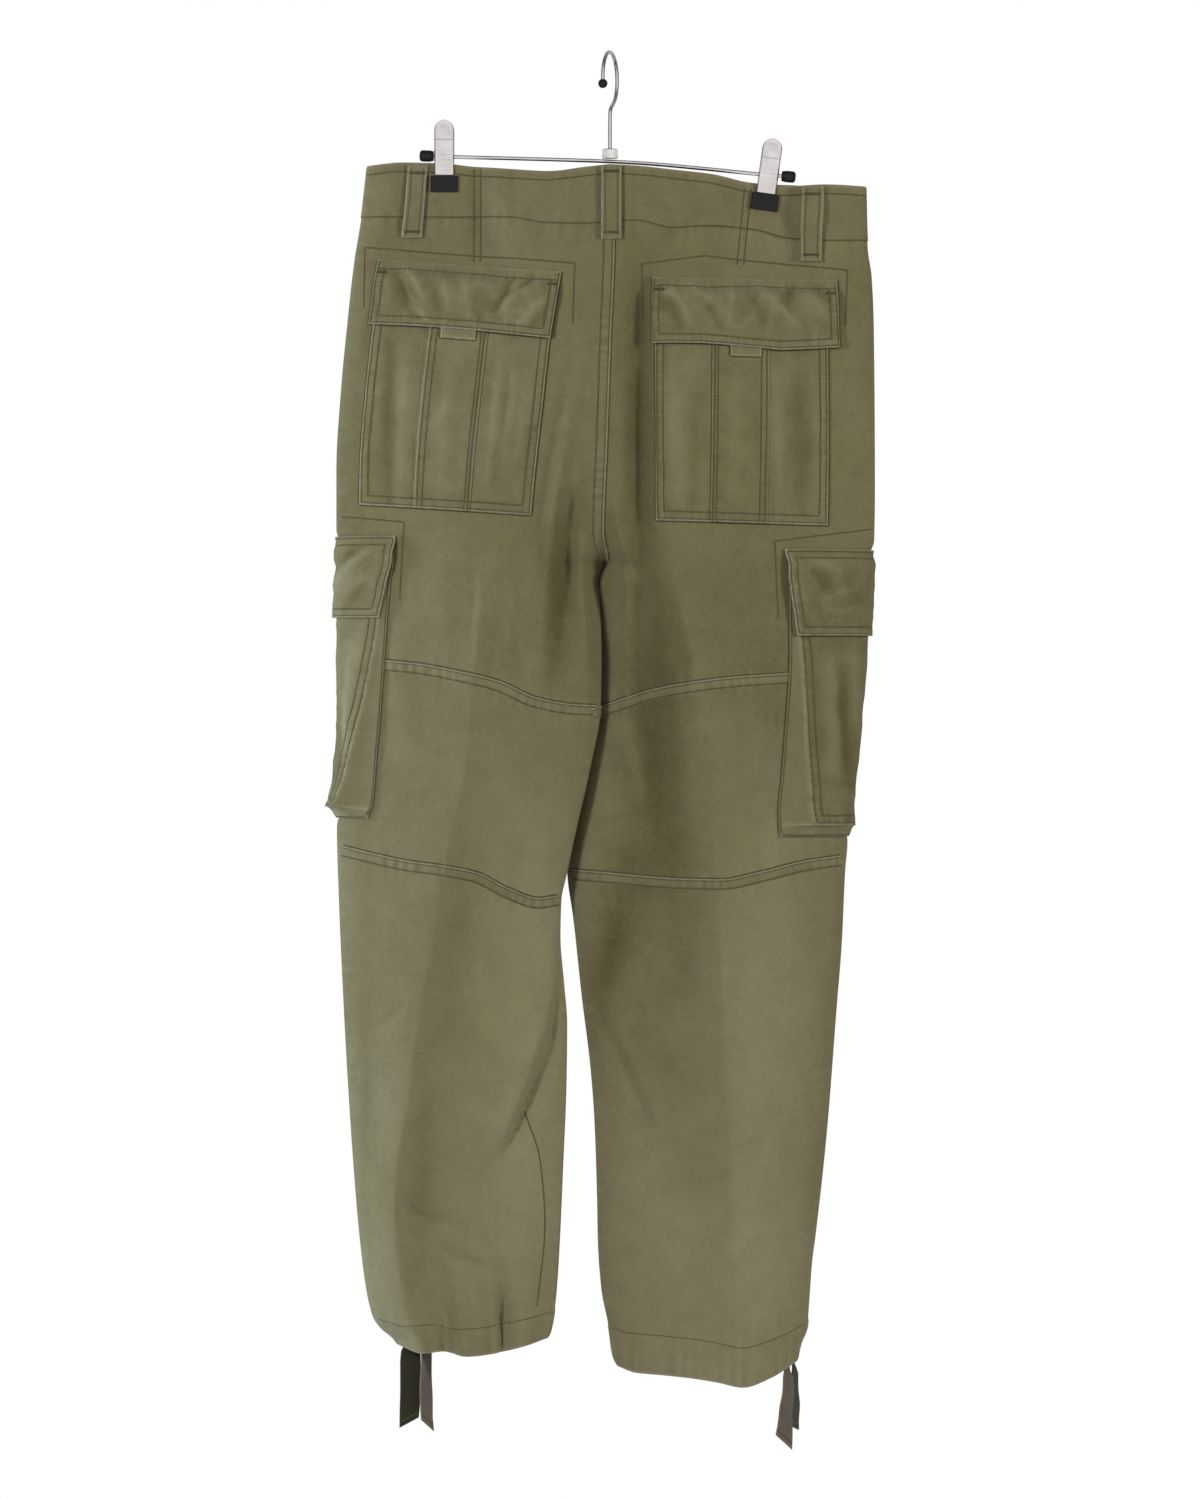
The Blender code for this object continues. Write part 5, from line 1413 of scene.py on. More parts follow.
def skin(side, face, share, drop):
    """The outer surface with its fine folds, and how high each point stands in its pucker."""
    points = cloth(side, face, share, drop)
    x = points[..., 0]
    seed = SEEDS[face]
    ripple = np.zeros_like(x)
    for name, deep, reach in PUCKERS:
        ripple += deep * pucker(x, drop - level(side, face, name, share), reach, seed + deep)
    outer, inner = edges_at(side, drop)
    wide = np.abs(inner - outer)
    ripple += 0.34 * pucker(drop, (1 - share) * wide, 9.0, seed + 0.7)
    ripple += 0.25 * pucker(drop, share * wide - 4.0, 8.0, seed + 0.2)
    fork = fork_share(drop)
    window = np.clip(share / 0.05, 0, 1) * (1 - fork * (1 - np.clip((1 - share) / 0.05, 0, 1)))
    folds = FINE_FOLDS_DEEP * folds_at(FINE_FOLDS[face], x, drop) + laps_at(LAPS[face], x, drop)
    fine = ripple + folds + rumple(x, drop, seed)
    free = hold_open(x, drop)
    away = 1.0 if face == "front" else -1.0
    points[..., 1] += away * fine * window * (0.15 + 0.85 * free)
    return points, np.clip(ripple / 0.5, -1, 1)


def spaced(count, edge=(0.004, 0.012, 0.024)):
    """Even steps from 0 to 1 with a few close ones at each end."""
    even = np.linspace(0, 1, count + 1)
    inner = [v for v in even if edge[-1] * 1.3 < v < 1 - edge[-1] * 1.3]
    return np.array([0.0, *edge, *inner, *(1 - e for e in reversed(edge)), 1.0])


def at_crease(steps, side, face, drop):
    """Shares across one half for steps from 0 to 1, with the middle step on the pressed crease."""
    crease = crease_at(side, face, drop)
    return np.where(steps < 0.5, 2 * steps * crease, crease + (1 - crease) * (2 * steps - 1))


def half_grid(side, face, first, last, gap, across, rows=0):
    """Shares and drops of a fine mesh between two lines of one half."""
    names = list(LEVELS[side])
    names = names[names.index(first) : names.index(last) + 1]
    steps = spaced(across)
    shares, drops = [], []
    for name, below in zip(names, names[1:]):
        top, foot = float(level(side, face, name, 0.5)), float(level(side, face, below, 0.5))
        count = rows or max(2, round((foot - top) / gap))
        for k in range(count + (below == last)):
            row = at_crease(steps, side, face, top + (foot - top) * k / count)
            start, end = level(side, face, name, row), level(side, face, below, row)
            shares.append(row)
            drops.append(start + (end - start) * k / count)
    return np.array(shares), np.array(drops)


def normals_of(points, toward):
    """Unit normals of a grid of points, on the side that the given direction faces."""
    normals = unit(np.cross(np.gradient(points, axis=1), np.gradient(points, axis=0)))
    return normals if (normals * toward).sum() > 0 else -normals


def arcs(points):
    """How far each point is along its row and down its column, in millimetres."""
    across = np.linalg.norm(np.diff(points, axis=1), axis=-1)
    down = np.linalg.norm(np.diff(points, axis=0), axis=-1)
    u = np.concatenate([np.zeros((len(points), 1)), np.cumsum(across, axis=1)], axis=1)
    v = np.concatenate([np.zeros((1, points.shape[1])), np.cumsum(down, axis=0)], axis=0)
    return u, v


def border(points, edges="tbse"):
    """How far each point is from the nearest of these edges: top, bottom, start and end."""
    u, v = arcs(points)
    ways = {"t": v, "b": v[-1:] - v, "s": u, "e": u[:, -1:] - u}
    return np.min([ways[e] for e in edges], axis=0)


def rounded(outer, inner, edges):
    """The two faces drawn together at the named edges, so that a fold or a cut edge is rounded."""
    outer, inner = outer.copy(), inner.copy()
    rings = {"t": np.s_[0, :], "b": np.s_[-1, :], "s": np.s_[:, 0], "e": np.s_[:, -1]}
    for edge in edges:
        ring = rings[edge]
        high, low = outer[ring].copy(), inner[ring].copy()
        outer[ring] = 0.62 * high + 0.38 * low
        inner[ring] = 0.38 * high + 0.62 * low
    return outer, inner


def linked(name, data):
    """A new object of the scene."""
    made = bpy.data.objects.new(name, data)
    bpy.context.scene.collection.objects.link(made)
    return made


def mesh_of(bm, name):
    mesh = bpy.data.meshes.new(name)
    bm.to_mesh(mesh)
    bm.free()
    return mesh


def baked(thing, name):
    """The mesh of an object with its modifiers or bevels made real. The object goes."""
    bpy.context.view_layer.update()
    graph = bpy.context.evaluated_depsgraph_get()
    mesh = bpy.data.meshes.new_from_object(thing.evaluated_get(graph))
    bpy.data.objects.remove(thing)
    mesh.name = name
    mesh.materials.clear()
    return mesh


def facing(place, axis):
    """Stands a form made along Z on a place in millimetres, along an axis."""
    turn = Vector((0, 0, 1)).rotation_difference(Vector(axis)).to_matrix().to_4x4()
    return Matrix.Translation(Vector(place) * MM) @ turn


def store(mesh, values):
    """Keeps numbers for each point on the mesh, for its material to read."""
    for name, data in values.items():
        kept = mesh.attributes.new(name, "FLOAT", "POINT")
        kept.data.foreach_set("value", data.astype(np.float32))


def finish_piece(mesh, finish, nodes=(), smooth=40.0):
    """Makes a mesh a piece: its material, its body and the solids that it stands for."""
    mesh.materials.append(finish)
    mesh.shade_smooth()
    mesh.set_sharp_from_angle(angle=math.radians(smooth))
    piece = linked(mesh.name, mesh)
    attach(piece, "root")
    if nodes:
        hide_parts(*nodes)
    return piece


def shell(name, outer, inner, finish, nodes=(), wear=None, painted_shading=None, smooth=50.0):
    """A closed wall of cloth between two matching grids of points, in millimetres."""
    rows, cols = outer.shape[:2]
    # a flat closed grid, whose own coordinates tell the row, the column and the face of each point
    bm = bmesh.new()
    bmesh.ops.create_grid(bm, x_segments=cols - 1, y_segments=rows - 1, size=0.5)
    made = bmesh.ops.extrude_face_region(bm, geom=bm.faces[:], use_keep_orig=True)
    under = [item for item in made["geom"] if isinstance(item, bmesh.types.BMVert)]
    bmesh.ops.translate(bm, verts=under, vec=(0, 0, -0.1))
    bmesh.ops.recalc_face_normals(bm, faces=bm.faces[:])
    mesh = mesh_of(bm, name)
    flat = np.empty(len(mesh.vertices) * 3, np.float32)
    mesh.vertices.foreach_get("co", flat)
    flat = flat.reshape(-1, 3)
    col = np.rint((flat[:, 0] + 0.5) * (cols - 1)).astype(int)
    row = np.rint((flat[:, 1] + 0.5) * (rows - 1)).astype(int)
    low = flat[:, 2] < -0.05
    placed = np.where(low[:, None], inner[row, col], outer[row, col]) * MM
    mesh.vertices.foreach_set("co", placed.astype(np.float32).ravel())
    facing_out = np.cross(np.gradient(outer, axis=1), np.gradient(outer, axis=0))
    if (facing_out * (outer - inner)).sum() < 0:
        mesh.flip_normals()
    # the flat cut, on which the weave is drawn
    u, v = arcs(outer)
    u = u - u[:, cols // 2 : cols // 2 + 1]
    corner = np.empty(len(mesh.loops), np.int32)
    mesh.loops.foreach_get("vertex_index", corner)
    cut = np.stack([u[row, col], -v[row, col]], axis=1)[corner] * MM
    mesh.uv_layers.new(name="cut").data.foreach_set("uv", cut.astype(np.float32).ravel())
    zero = np.zeros((rows, cols))
    wear = zero if wear is None else wear
    painted_shading = zero if painted_shading is None else painted_shading
    store(mesh, {"wear": wear[row, col], "painted_shading": painted_shading[row, col]})
    mesh.update()
    return finish_piece(mesh, finish, nodes, smooth)


def sewn_on(node, outer, inner, on, wear, painted_shading=None):
    """A worn piece of cloth that lies on others, and the sewing that goes with it."""
    piece = shell(f"cloth_{node}", outer, inner, OLIVE_WORN, [node], wear, painted_shading)
    cloth_piece(piece, outer, [f"cloth_{name}" for name in on])
    return piece, Sewing(f"stitches_{node}", piece)


def main_panels():
    """The four halves, each in three pieces down to its hem."""
    pieces = {}
    for side, face in (("left", "back"), ("right", "back"), ("left", "front"), ("right", "front")):
        gap, across = (3.2, 76) if face == "back" else (5.0, 48)
        for node, first, last in (
            (f"{face}_{side}", "waist_seam", "knee_top"),
            (f"knee_{face}_{side}", "knee_top", "knee_foot"),
            (f"lower_leg_{face}_{side}", "knee_foot", "hem"),
        ):
            share, drop = half_grid(side, face, first, last, gap, across)
            outer, ripple = skin(side, face, share, drop)
            normals = normals_of(outer, [0, 1 if face == "front" else -1, 0])
            raised = np.zeros_like(share)
            if last == "hem":
                up = level(side, face, "hem", share) - drop
                raised = HEM_RAISE * ease((HEM_DEEP[side] - up) / 1.6)
            inner = outer - normals * CLOTH
            outer = outer + normals * raised[..., None]
            if last == "hem":
                outer, inner = rounded(outer, inner, "b")
            wear = 0.8 * hump(border(outer, "b"), 2.0) if last == "hem" else None
            # painted light and shade: the puckers' ridges paler and their hollows darker, the broad
            # zones of painted light and shade, and the creases lit on one side and shaded on the
            # other
            tone_shift = ripple + folds_at(PAINTED_LIGHT_AND_SHADE[face], outer[..., 0], drop)
            tone_shift = tone_shift + laps_at(PAINTED_CREASE_SIDES[face], outer[..., 0], drop)
            piece = shell(f"cloth_{node}", outer, inner, OLIVE, [node], wear, tone_shift)
            cloth_piece(piece, outer, ["cloth_waistband"])
            pieces[node] = piece
    return pieces


BAND_ROWS = 24
# How many columns of points the under end goes on past the centre front
BAND_LAP = 15


def waistband():
    """One strip round the waist from the centre front, with its under end lapped behind."""
    order = (
        ("left", "front", True),
        ("left", "back", False),
        ("right", "back", True),
        ("right", "front", False),
    )
    parts = []
    for side, face, inward_first in order:
        across = 76 if face == "back" else 48
        share, drop = half_grid(side, face, "waist_top", "waist_seam", 2.2, across, BAND_ROWS)
        outer, ripple = skin(side, face, share, drop)
        step = slice(None, None, -1) if inward_first else slice(None)
        parts.append((outer[:, step], ripple[:, step]))
    points = np.concatenate([p if k == 0 else p[:, 1:] for k, (p, _) in enumerate(parts)], axis=1)
    ripple = np.concatenate([r if k == 0 else r[:, 1:] for k, (_, r) in enumerate(parts)], axis=1)
    outward = points * [0, 1, 0] + np.sign(points * [1, 0, 0]) * 0.01
    normals = normals_of(points, outward)
    tuck = BAND_CLOTH + 2 * SEAM_GAP
    lapped = np.s_[:, 1 : 1 + BAND_LAP]
    lap = points[lapped] - normals[lapped] * tuck
    points = np.concatenate([points[:, :-1], points[:, -1:] - normals[:, -1:] * tuck, lap], axis=1)
    normals = np.concatenate([normals, normals[lapped]], axis=1)
    ripple = np.concatenate([ripple, ripple[lapped]], axis=1)
    outer = points + normals * BAND_RAISE
    outer, inner = rounded(outer, outer - normals * BAND_CLOTH, "tb")
    wear = 0.9 * hump(border(outer, "t"), 2.2)
    # the puckers' heights become painted light and shade: paler ridges, darker hollows
    piece = shell("cloth_waistband", outer, inner, OLIVE, ["waistband"], wear, ripple)
    cloth_piece(piece, outer, ["pad_clip_left_back", "pad_clip_right_back"])
    return piece, outer


def on_cloth(side, face, share, drop, lift):
    """Points above the cloth and their normals. A negative share is on the other face."""
    share, drop = np.broadcast_arrays(np.asarray(share, float), np.asarray(drop, float))
    other = {"back": "front", "front": "back"}[face]
    found = []
    for which, sign in ((face, 1.0), (other, -1.0)):
        s = np.clip(share * sign, 0.0015, 0.9985)
        ahead, behind = np.clip(s + 0.006, 0, 1), np.clip(s - 0.006, 0, 1)
        across = cloth(side, which, ahead, drop) - cloth(side, which, behind, drop)
        down = cloth(side, which, s, drop + 1.5) - cloth(side, which, s, drop - 1.5)
        normal = unit(np.cross(across, down))
        toward = 1.0 if which == "front" else -1.0
        normal = normal * np.sign(normal[..., 1:2] * toward + 1e-9)
        found.append((skin(side, which, np.clip(share * sign, 0, 1), drop)[0], normal))
    here = (share >= 0)[..., None]
    # at the side seam itself the two faces share one normal
    near = np.clip(1 - np.abs(share) / 0.02, 0, 1)[..., None]
    both = unit(found[0][1] + found[1][1])
    normal = unit(np.where(here, found[0][1], found[1][1]) * (1 - near) + both * near)
    point = np.where(here, found[0][0], found[1][0])
    return point + normal * np.asarray(lift, float)[..., None], normal


def lifted(side, shares, drops, lifts, thick, face="back"):
    """Outer and inner points of a piece that lies on the cloth."""
    points, normals = on_cloth(side, face, shares, drops, lifts)
    return points + normals * thick, points


def soft_noise(shares, drops, seed, wide, long):
    """Slow unevenness across a small piece, about -1 to 1."""
    both = zip(shares.ravel(), drops.ravel())
    found = [noise.noise(Vector((HALF_WIDE * s / wide, d / long, seed))) for s, d in both]
    return np.array(found).reshape(shares.shape)


def pieces_along(*knots):
    """Steps between the knots: each knot is its value and how many steps lead to the next."""
    found = []
    for (value, count), (following, _) in zip(knots, knots[1:]):
        found += [value + (following - value) * k / count for k in range(count)]
    return np.array(found + [knots[-1][0]])


def rim_of(outer):
    """A sewn-on piece's outline, as x and drop: down one side, along its foot and up the other."""
    ring = np.concatenate([outer[2:, 0], outer[-1, 1:], outer[-2:1:-1, -1]])
    return drawn(np.stack([ring[:, 0], -ring[:, 2]], axis=1), 1.5, False)


def channels(away, insets, deep=0.34, wide=1.1):
    """The grooves that rows of stitches press into a piece, by the distance from its edge."""
    return -deep * sum(hump(away - inset, wide) for inset in insets)


def small_folds(name, side, share, drop):
    """The folds of one piece that is sewn on a panel."""
    outer, inner = edges_at(side, drop)
    x = outer + (inner - outer) * np.clip(share, 0, 1)
    return SMALL_FOLDS_DEEP[name] * folds_at(SMALL_FOLDS[f"{name}_{side}"], x, drop)


def toned(gather, soft, sunk, base=0.0):
    """The painted light and shade of a sewn-on piece: paler on ridges and puckers, darker in dents
    and stitch grooves, with a base for the whole piece.
    """
    return base + np.clip(gather / 0.3, -1, 1) + 1.2 * np.clip(soft, -1.6, 1.6) + 3.0 * sunk


def back_pocket(side):
    """A patch pocket with a box pleat down its middle."""
    cut = POCKETS[side]
    # across: 0 to 1 is the near field, 1 to 2 the pleat and 2 to 3 the far field
    across = pieces_along(*POCKET_STEPS)
    down = spaced(104, (0.003, 0.010, 0.018))[:, None]
    ends = [(a + (b - a) * down) for a, b in cut.values()]
    field = np.clip(across.astype(int), 0, 2)
    part = across - field
    row = np.choose(field, ends[:3]) * (1 - part) + np.choose(field, ends[1:]) * part
    top = level(side, "back", "flap_top", row) + POCKET_MOUTH
    foot = level(side, "back", "pocket_foot", row)
    drop = top + (foot - top) * down
    half = (across - 1.5) / 1.5
    belly = np.clip(1 - half**2, 0, 1) ** 0.45
    puff = POCKET_PUFF * np.sin(np.pi * np.clip(down, 0, 1) ** 0.9) ** 0.8
    pleat = PLEAT * ease((across - 0.994) / 0.03) * ease((2.006 - across) / 0.03)
    # the pleat's two folds lie hollow beside their stitching
    hollow = -0.35 * (hump(across - 0.985, 0.02) + hump(across - 2.015, 0.02))
    middle = -0.3 * hump(across - 1.5, 0.03)
    mouth = MOUTH_STAND * np.clip(1 - down / 0.2, 0, 1)
    seed = 21.0 + len(side)
    soft = 0.6 * soft_noise(row, drop, seed, 30, 46)
    soft = soft + 0.38 * crumpled(HALF_WIDE * row, drop, seed + 5, 26)
    soft = soft * np.clip(8 * down, 0, 1) * (0.3 + 0.7 * belly)
    soft = soft + small_folds("back_pocket", side, row, drop)
    wide = HALF_WIDE * (ends[3] - ends[0])
    near_side = np.minimum(across / 3, 1 - across / 3) * wide
    near_foot = (1 - down) * (foot - top)
    from_side = np.minimum(row - ends[0], ends[3] - row) * HALF_WIDE
    sunk = channels(np.minimum(from_side, near_foot), POCKET_ROWS) * np.clip(4 * down, 0, 1)
    gather = 0.34 * pucker(drop, near_side, 8.0, 2.0 + len(side), 7.2)
    gather = gather + 0.38 * pucker(HALF_WIDE * row, near_foot, 9.0, 4.0, 7.8)
    beside = np.minimum(np.abs(across - 1.1), np.abs(across - 1.9)) * 55
    gather = gather + 0.2 * pucker(drop, beside, 6.0, 6.0, 8.5)
    lift = LIE - 0.35 + mouth + puff * belly + pleat + hollow + middle + soft + gather + sunk
    lift = np.maximum(lift, 0.35)
    outer, inner = lifted(side, row, drop, lift, POCKET_CLOTH)
    outer, inner = rounded(outer, inner, "tbse")
    wear = 0.95 * hump(border(outer, "bse"), 2.1)
    folds = hump(across - 1.0, 0.016) + hump(across - 2.0, 0.016)
    wear = np.maximum(wear, 0.75 * folds * np.ones_like(row))
    # painted light and shade from the folds, puckers and stitch grooves, a little darker over the
    # whole pocket
    painted_shading = toned(gather, soft, sunk, -0.3)
    piece, sewn = sewn_on(f"back_pocket_{side}", outer, inner, [f"back_{side}"], wear, painted_shading)
    grid = outer, normals_of(outer, [0, -1, 0])
    for inset in POCKET_ROWS:
        for edge in "sbe":
            sewn.run(*inset_line(*grid, edge, inset, (inset if edge == "b" else 12.0, inset)))
    for c in np.searchsorted(across, (1.055, 1.135, 1.865, 1.945)):
        sewn.run(grid[0][5:, c], grid[1][5:, c])
    # dark strips along the pleat's two folds paint their shadow
    for c in np.searchsorted(across, (0.985, 2.012)):
        sewn.press(grid[0][5:-3, c], grid[1][5:-3, c], 1.2)
    sewn.made()
    return piece, rim_of(outer)


def back_flap(side):
    """A double-stitched flap, sewn down along its top, that lies over the pocket's mouth."""
    cut = FLAPS[side]
    centre, dip = cut["dip"]
    along = spaced(104, (0.003, 0.008, 0.014, 0.022, 0.034, 0.042, 0.05, 0.06))[None, :]
    down = spaced(54, (0.008, 0.02, 0.04))[:, None]
    edge, far = (a + (b - a) * down for a, b in (cut["edge"], cut["far"]))
    row = edge + (far - edge) * along
    top = level(side, "back", "flap_top", row)
    foot = level(side, "back", "flap_foot", row) + dip * np.clip(1 - np.abs(row - centre) / 0.3, 0, 1)
    drop = top + (foot - top) * down
    over = ease((down - 0.04) / 0.26)
    belly = np.sqrt(np.clip(np.sin(np.pi * along), 0, 1))
    seed = 33.0 + len(side)
    soft = 0.8 * soft_noise(row, drop, seed, 30, 24)
    soft = soft + 0.62 * crumpled(HALF_WIDE * row, drop, seed + 5, 19)
    soft = soft * ease(down / 0.35) * (0.45 + 0.55 * ease((1 - down) / 0.25))
    soft = soft + small_folds("back_flap", side, row, drop)
    cols_mm = along * (far - edge) * HALF_WIDE
    gather = 0.36 * pucker(HALF_WIDE * row, foot - drop, 9.0, 1.0, 7.0)
    gather = gather + 0.26 * pucker(drop, cols_mm, 8.0, 3.0, 6.5)
    gather = gather + 0.26 * pucker(drop, (1 - along) * (far - edge) * HALF_WIDE, 8.0, 5.0, 6.5)
    gather = gather + 0.30 * pucker(HALF_WIDE * row, drop - top - 9.0, 6.0, 8.0, 7.5)
    # the folded top stands up as a roll above its stitching; all rows of stitches lie in a groove
    press = channels(drop - top, (9.0,), 0.5, 1.5) + 0.55 * hump(drop - top - 4.2, 3.2)
    from_side = np.minimum(row - edge, far - row) * HALF_WIDE
    sunk = channels(np.minimum(from_side, foot - drop), FLAP_ROWS) * np.clip(5 * down - 0.3, 0, 1)
    # a slack diagonal dent where the tab draws the flap in
    pull = -0.9 * hump(row - sum(cut["tab"]) / 2, 0.06) * hump(foot - drop - 16, 11)
    lift = LIE - 0.5 + over * (POCKET_CLOTH + PLEAT + 0.9 + FLAP_BELLY * belly)
    lift = lift + soft + gather + pull * over
    lift = np.maximum(lift + press + sunk, 0.3)
    outer, inner = lifted(side, row, drop, lift, FLAP_CLOTH)
    outer, inner = rounded(outer, inner, "tbse")
    wear = 1.0 * hump(border(outer, "bse"), 2.4)
    wear = np.maximum(wear, 0.5 * hump(border(outer, "t"), 1.6))
    # painted light and shade from the folds, puckers and stitch grooves, a little darker over the
    # whole flap
    painted_shading = toned(gather, soft, sunk, -0.2)
    _, sewn = sewn_on(f"back_flap_{side}", outer, inner, [f"back_{side}"], wear, painted_shading)
    grid = outer, normals_of(outer, [0, -1, 0])
    sewn.edging(*grid, "sbe", FLAP_ROWS)
    sewn.run(*inset_line(*grid, "t", 9.0, (1.5, 1.5)))
    for c in (slice(3, 9), slice(-9, -3)):
        sewn.bar(outer[12, c], grid[1][12, c], 3.2)
    sewn.made()
    return rim_of(outer)


def flap_tab(side):
    """A short tab between the pocket and its flap, with its end showing below the flap."""
    first, last = FLAPS[side]["tab"]
    dip = FLAPS[side]["dip"][1]
    along = spaced(18, (0.02, 0.05))[None, :]
    down = spaced(12, (0.02, 0.05))[:, None]
    row = first + (last - first) * along + 0 * down
    foot = level(side, "back", "flap_foot", row) + TAB_SHOWS + 0.5 * dip
    drop = foot - TAB_LONG * (1 - down)
    lift = np.full_like(row, LIE + POCKET_PUFF * 0.6 + PLEAT + POCKET_CLOTH + 0.75) + 0.9 * (1 - down)
    outer, inner = lifted(side, row, drop, lift, TAB_CLOTH)
    outer, inner = rounded(outer, inner, "tbse")
    wear = 1.0 * hump(border(outer, "bse"), 1.5)
    sewn_on(f"flap_tab_{side}", outer, inner, [f"back_flap_{side}"], wear)
    return rim_of(outer)


def round_the_side(back, front):
    """Signed shares from the back, round the side seam, to the front, closer at the side."""
    near = back * np.linspace(1, 0, 17)[:-1] ** 1.35
    far = -front * np.linspace(0, 1, 27) ** 1.25
    return np.concatenate([near, far])


def cargo_face(side, cut, share, drop, extra=0.0):
    """A point of the pocket's face, or of what lies on it."""
    step = np.clip((drop - cut["mouth"]) / (cut["foot"] - cut["mouth"]), 0, None)
    stand = CARGO_LIFT + (cut["out"] - CARGO_LIFT) * step**CARGO_DEEPENS
    point, normal = on_cloth(side, "back", share, drop, LIE)
    sideways = np.array([-1.0 if side == "left" else 1.0, 0.0, 0.0])
    away = unit(normal * 0.7 + sideways * 0.3)
    return point + away * np.asarray(stand + extra)[..., None], normal


def cargo_pocket(side):
    """A bellows pocket: its face stands out from the leg on a gusset, deeper toward the foot."""
    cut = CARGO[side]
    down = spaced(96, (0.004, 0.010, 0.02))[:, None]
    edge = cut["face"][0] + (cut["face"][1] - cut["face"][0]) * down**1.3
    seam = cut["back"][0] + (cut["back"][1] - cut["back"][0]) * down
    drop = cut["mouth"] + (cut["foot"] - cut["mouth"]) * down
    front = cut["front"]
    share = np.array([round_the_side(float(e), front - 0.04) for e in edge[:, 0]])
    seed = 50.0 + len(side)
    spread_drop = drop + 0 * share
    soft = soft_noise(share, spread_drop, seed, 30, 46)
    soft = soft + 0.6 * crumpled(HALF_WIDE * share, spread_drop, seed + 3, 24)
    gather = 0.4 * pucker(HALF_WIDE * share, (cut["foot"] - drop), 12.0, 2.0, 8.0)
    gather = gather + 0.35 * pucker(drop, (edge - share) * HALF_WIDE, 8.0, 4.0, 7.5)
    soft = 0.75 * soft * ease(6 * (1 - down)) + small_folds("cargo_pocket", side, share, spread_drop)
    from_edge = np.minimum(np.abs(edge - share) * HALF_WIDE, cut["foot"] - spread_drop)
    sunk = channels(from_edge, CARGO_ROWS)
    face, base = cargo_face(side, cut, share, spread_drop, soft + gather + sunk)
    high = LIE + POCKET_CLOTH - 0.2
    sewn_back, back_base = on_cloth(side, "back", seam + 0 * drop, drop, high)
    sewn_front, front_base = on_cloth(side, "back", -front + 0 * drop, drop, high)
    # the gussets: cloth drawn in hollow between the sewn edge and the face
    steps = np.array([0.0, 0.08, 0.2, 0.36, 0.52, 0.68, 0.82, 0.93])
    hollow = steps * (1 - steps)
    back_gusset = sewn_back + (face[:, :1] - sewn_back) * steps[None, :, None]
    back_gusset -= back_base * (0.9 * hollow * cut["out"] * 0.35 * (0.3 + down))[..., None]
    low = np.array([0.93, 0.75, 0.5, 0.25, 0.08, 0.0])
    front_gusset = sewn_front + (face[:, -1:] - sewn_front) * low[None, :, None]
    points = np.concatenate([back_gusset, face, front_gusset], axis=1)
    bases = np.concatenate(
        [back_base + 0 * back_gusset, base, front_base + 0 * front_gusset], axis=1
    )
    # the foot: the same cloth turned under and sewn to the leg
    flat_shares = np.concatenate(
        [
            cut["back"][1] + (share[-1, 0] - cut["back"][1]) * 0.5 * steps,
            share[-1] * 1.0,
            -front + (share[-1, -1] + front) * low,
        ]
    )
    sewn_foot = np.full_like(flat_shares, cut["sewn_foot"])
    foot, foot_base = on_cloth(side, "back", flat_shares, sewn_foot, high)
    under = []
    for u in (0.1, 0.25, 0.45, 0.65, 0.85, 1.0):
        level_row = points[-1] + (foot - points[-1]) * u
        sag = np.clip((points[-1] - foot) @ np.array([0, 0, 1.0]) / 8, 0, 1)
        level_row[:, 2] += 3.0 * math.sin(math.pi * u) * sag
        under.append(level_row)
    outer = np.concatenate([points, under])
    bases = np.concatenate([bases, np.repeat(foot_base[None], len(under), axis=0)])
    normals = normals_of(outer, bases)
    inner = outer - normals * POCKET_CLOTH
    outer, inner = rounded(outer, inner, "tbse")
    columns = outer.shape[1]
    u, v = arcs(outer)
    ridge = hump(u - u[:, len(steps)][:, None], 2.0)
    foot_line = hump(v - v[len(points) - 1], 2.0)
    wear = 0.6 * np.maximum(ridge, foot_line)
    wear = np.maximum(wear, 0.4 * hump(border(outer, "bse"), 1.6))
    # the face gets painted light and shade from its folds, puckers and stitch grooves, and the face
    # and front gusset get the pocket's painted shade all over
    tone, rows = CARGO_PAINTED_SHADE[side], len(points)
    fields = (
        np.zeros((rows, len(steps))),
        toned(gather, soft, sunk, tone),
        np.full((rows, len(low)), tone),
    )
    painted_shading = np.concatenate([np.concatenate(fields, axis=1), np.zeros((len(under), columns))])
    leg = [f"back_{side}", f"front_{side}"]
    _, sewn = sewn_on(f"cargo_pocket_{side}", outer, inner, leg, wear, painted_shading)
    shown = np.s_[:rows, len(steps) : len(steps) + share.shape[1]]
    face_grid = outer[shown], normals[shown]
    sewn.edging(*face_grid, "sbe", CARGO_ROWS)
    sewn.edging(outer, normals, "sbe", (1.6,), (3.0, 3.0))
    sewn.made()
    return np.stack([outer[2:, 0, 0], -outer[2:, 0, 2]], axis=1)


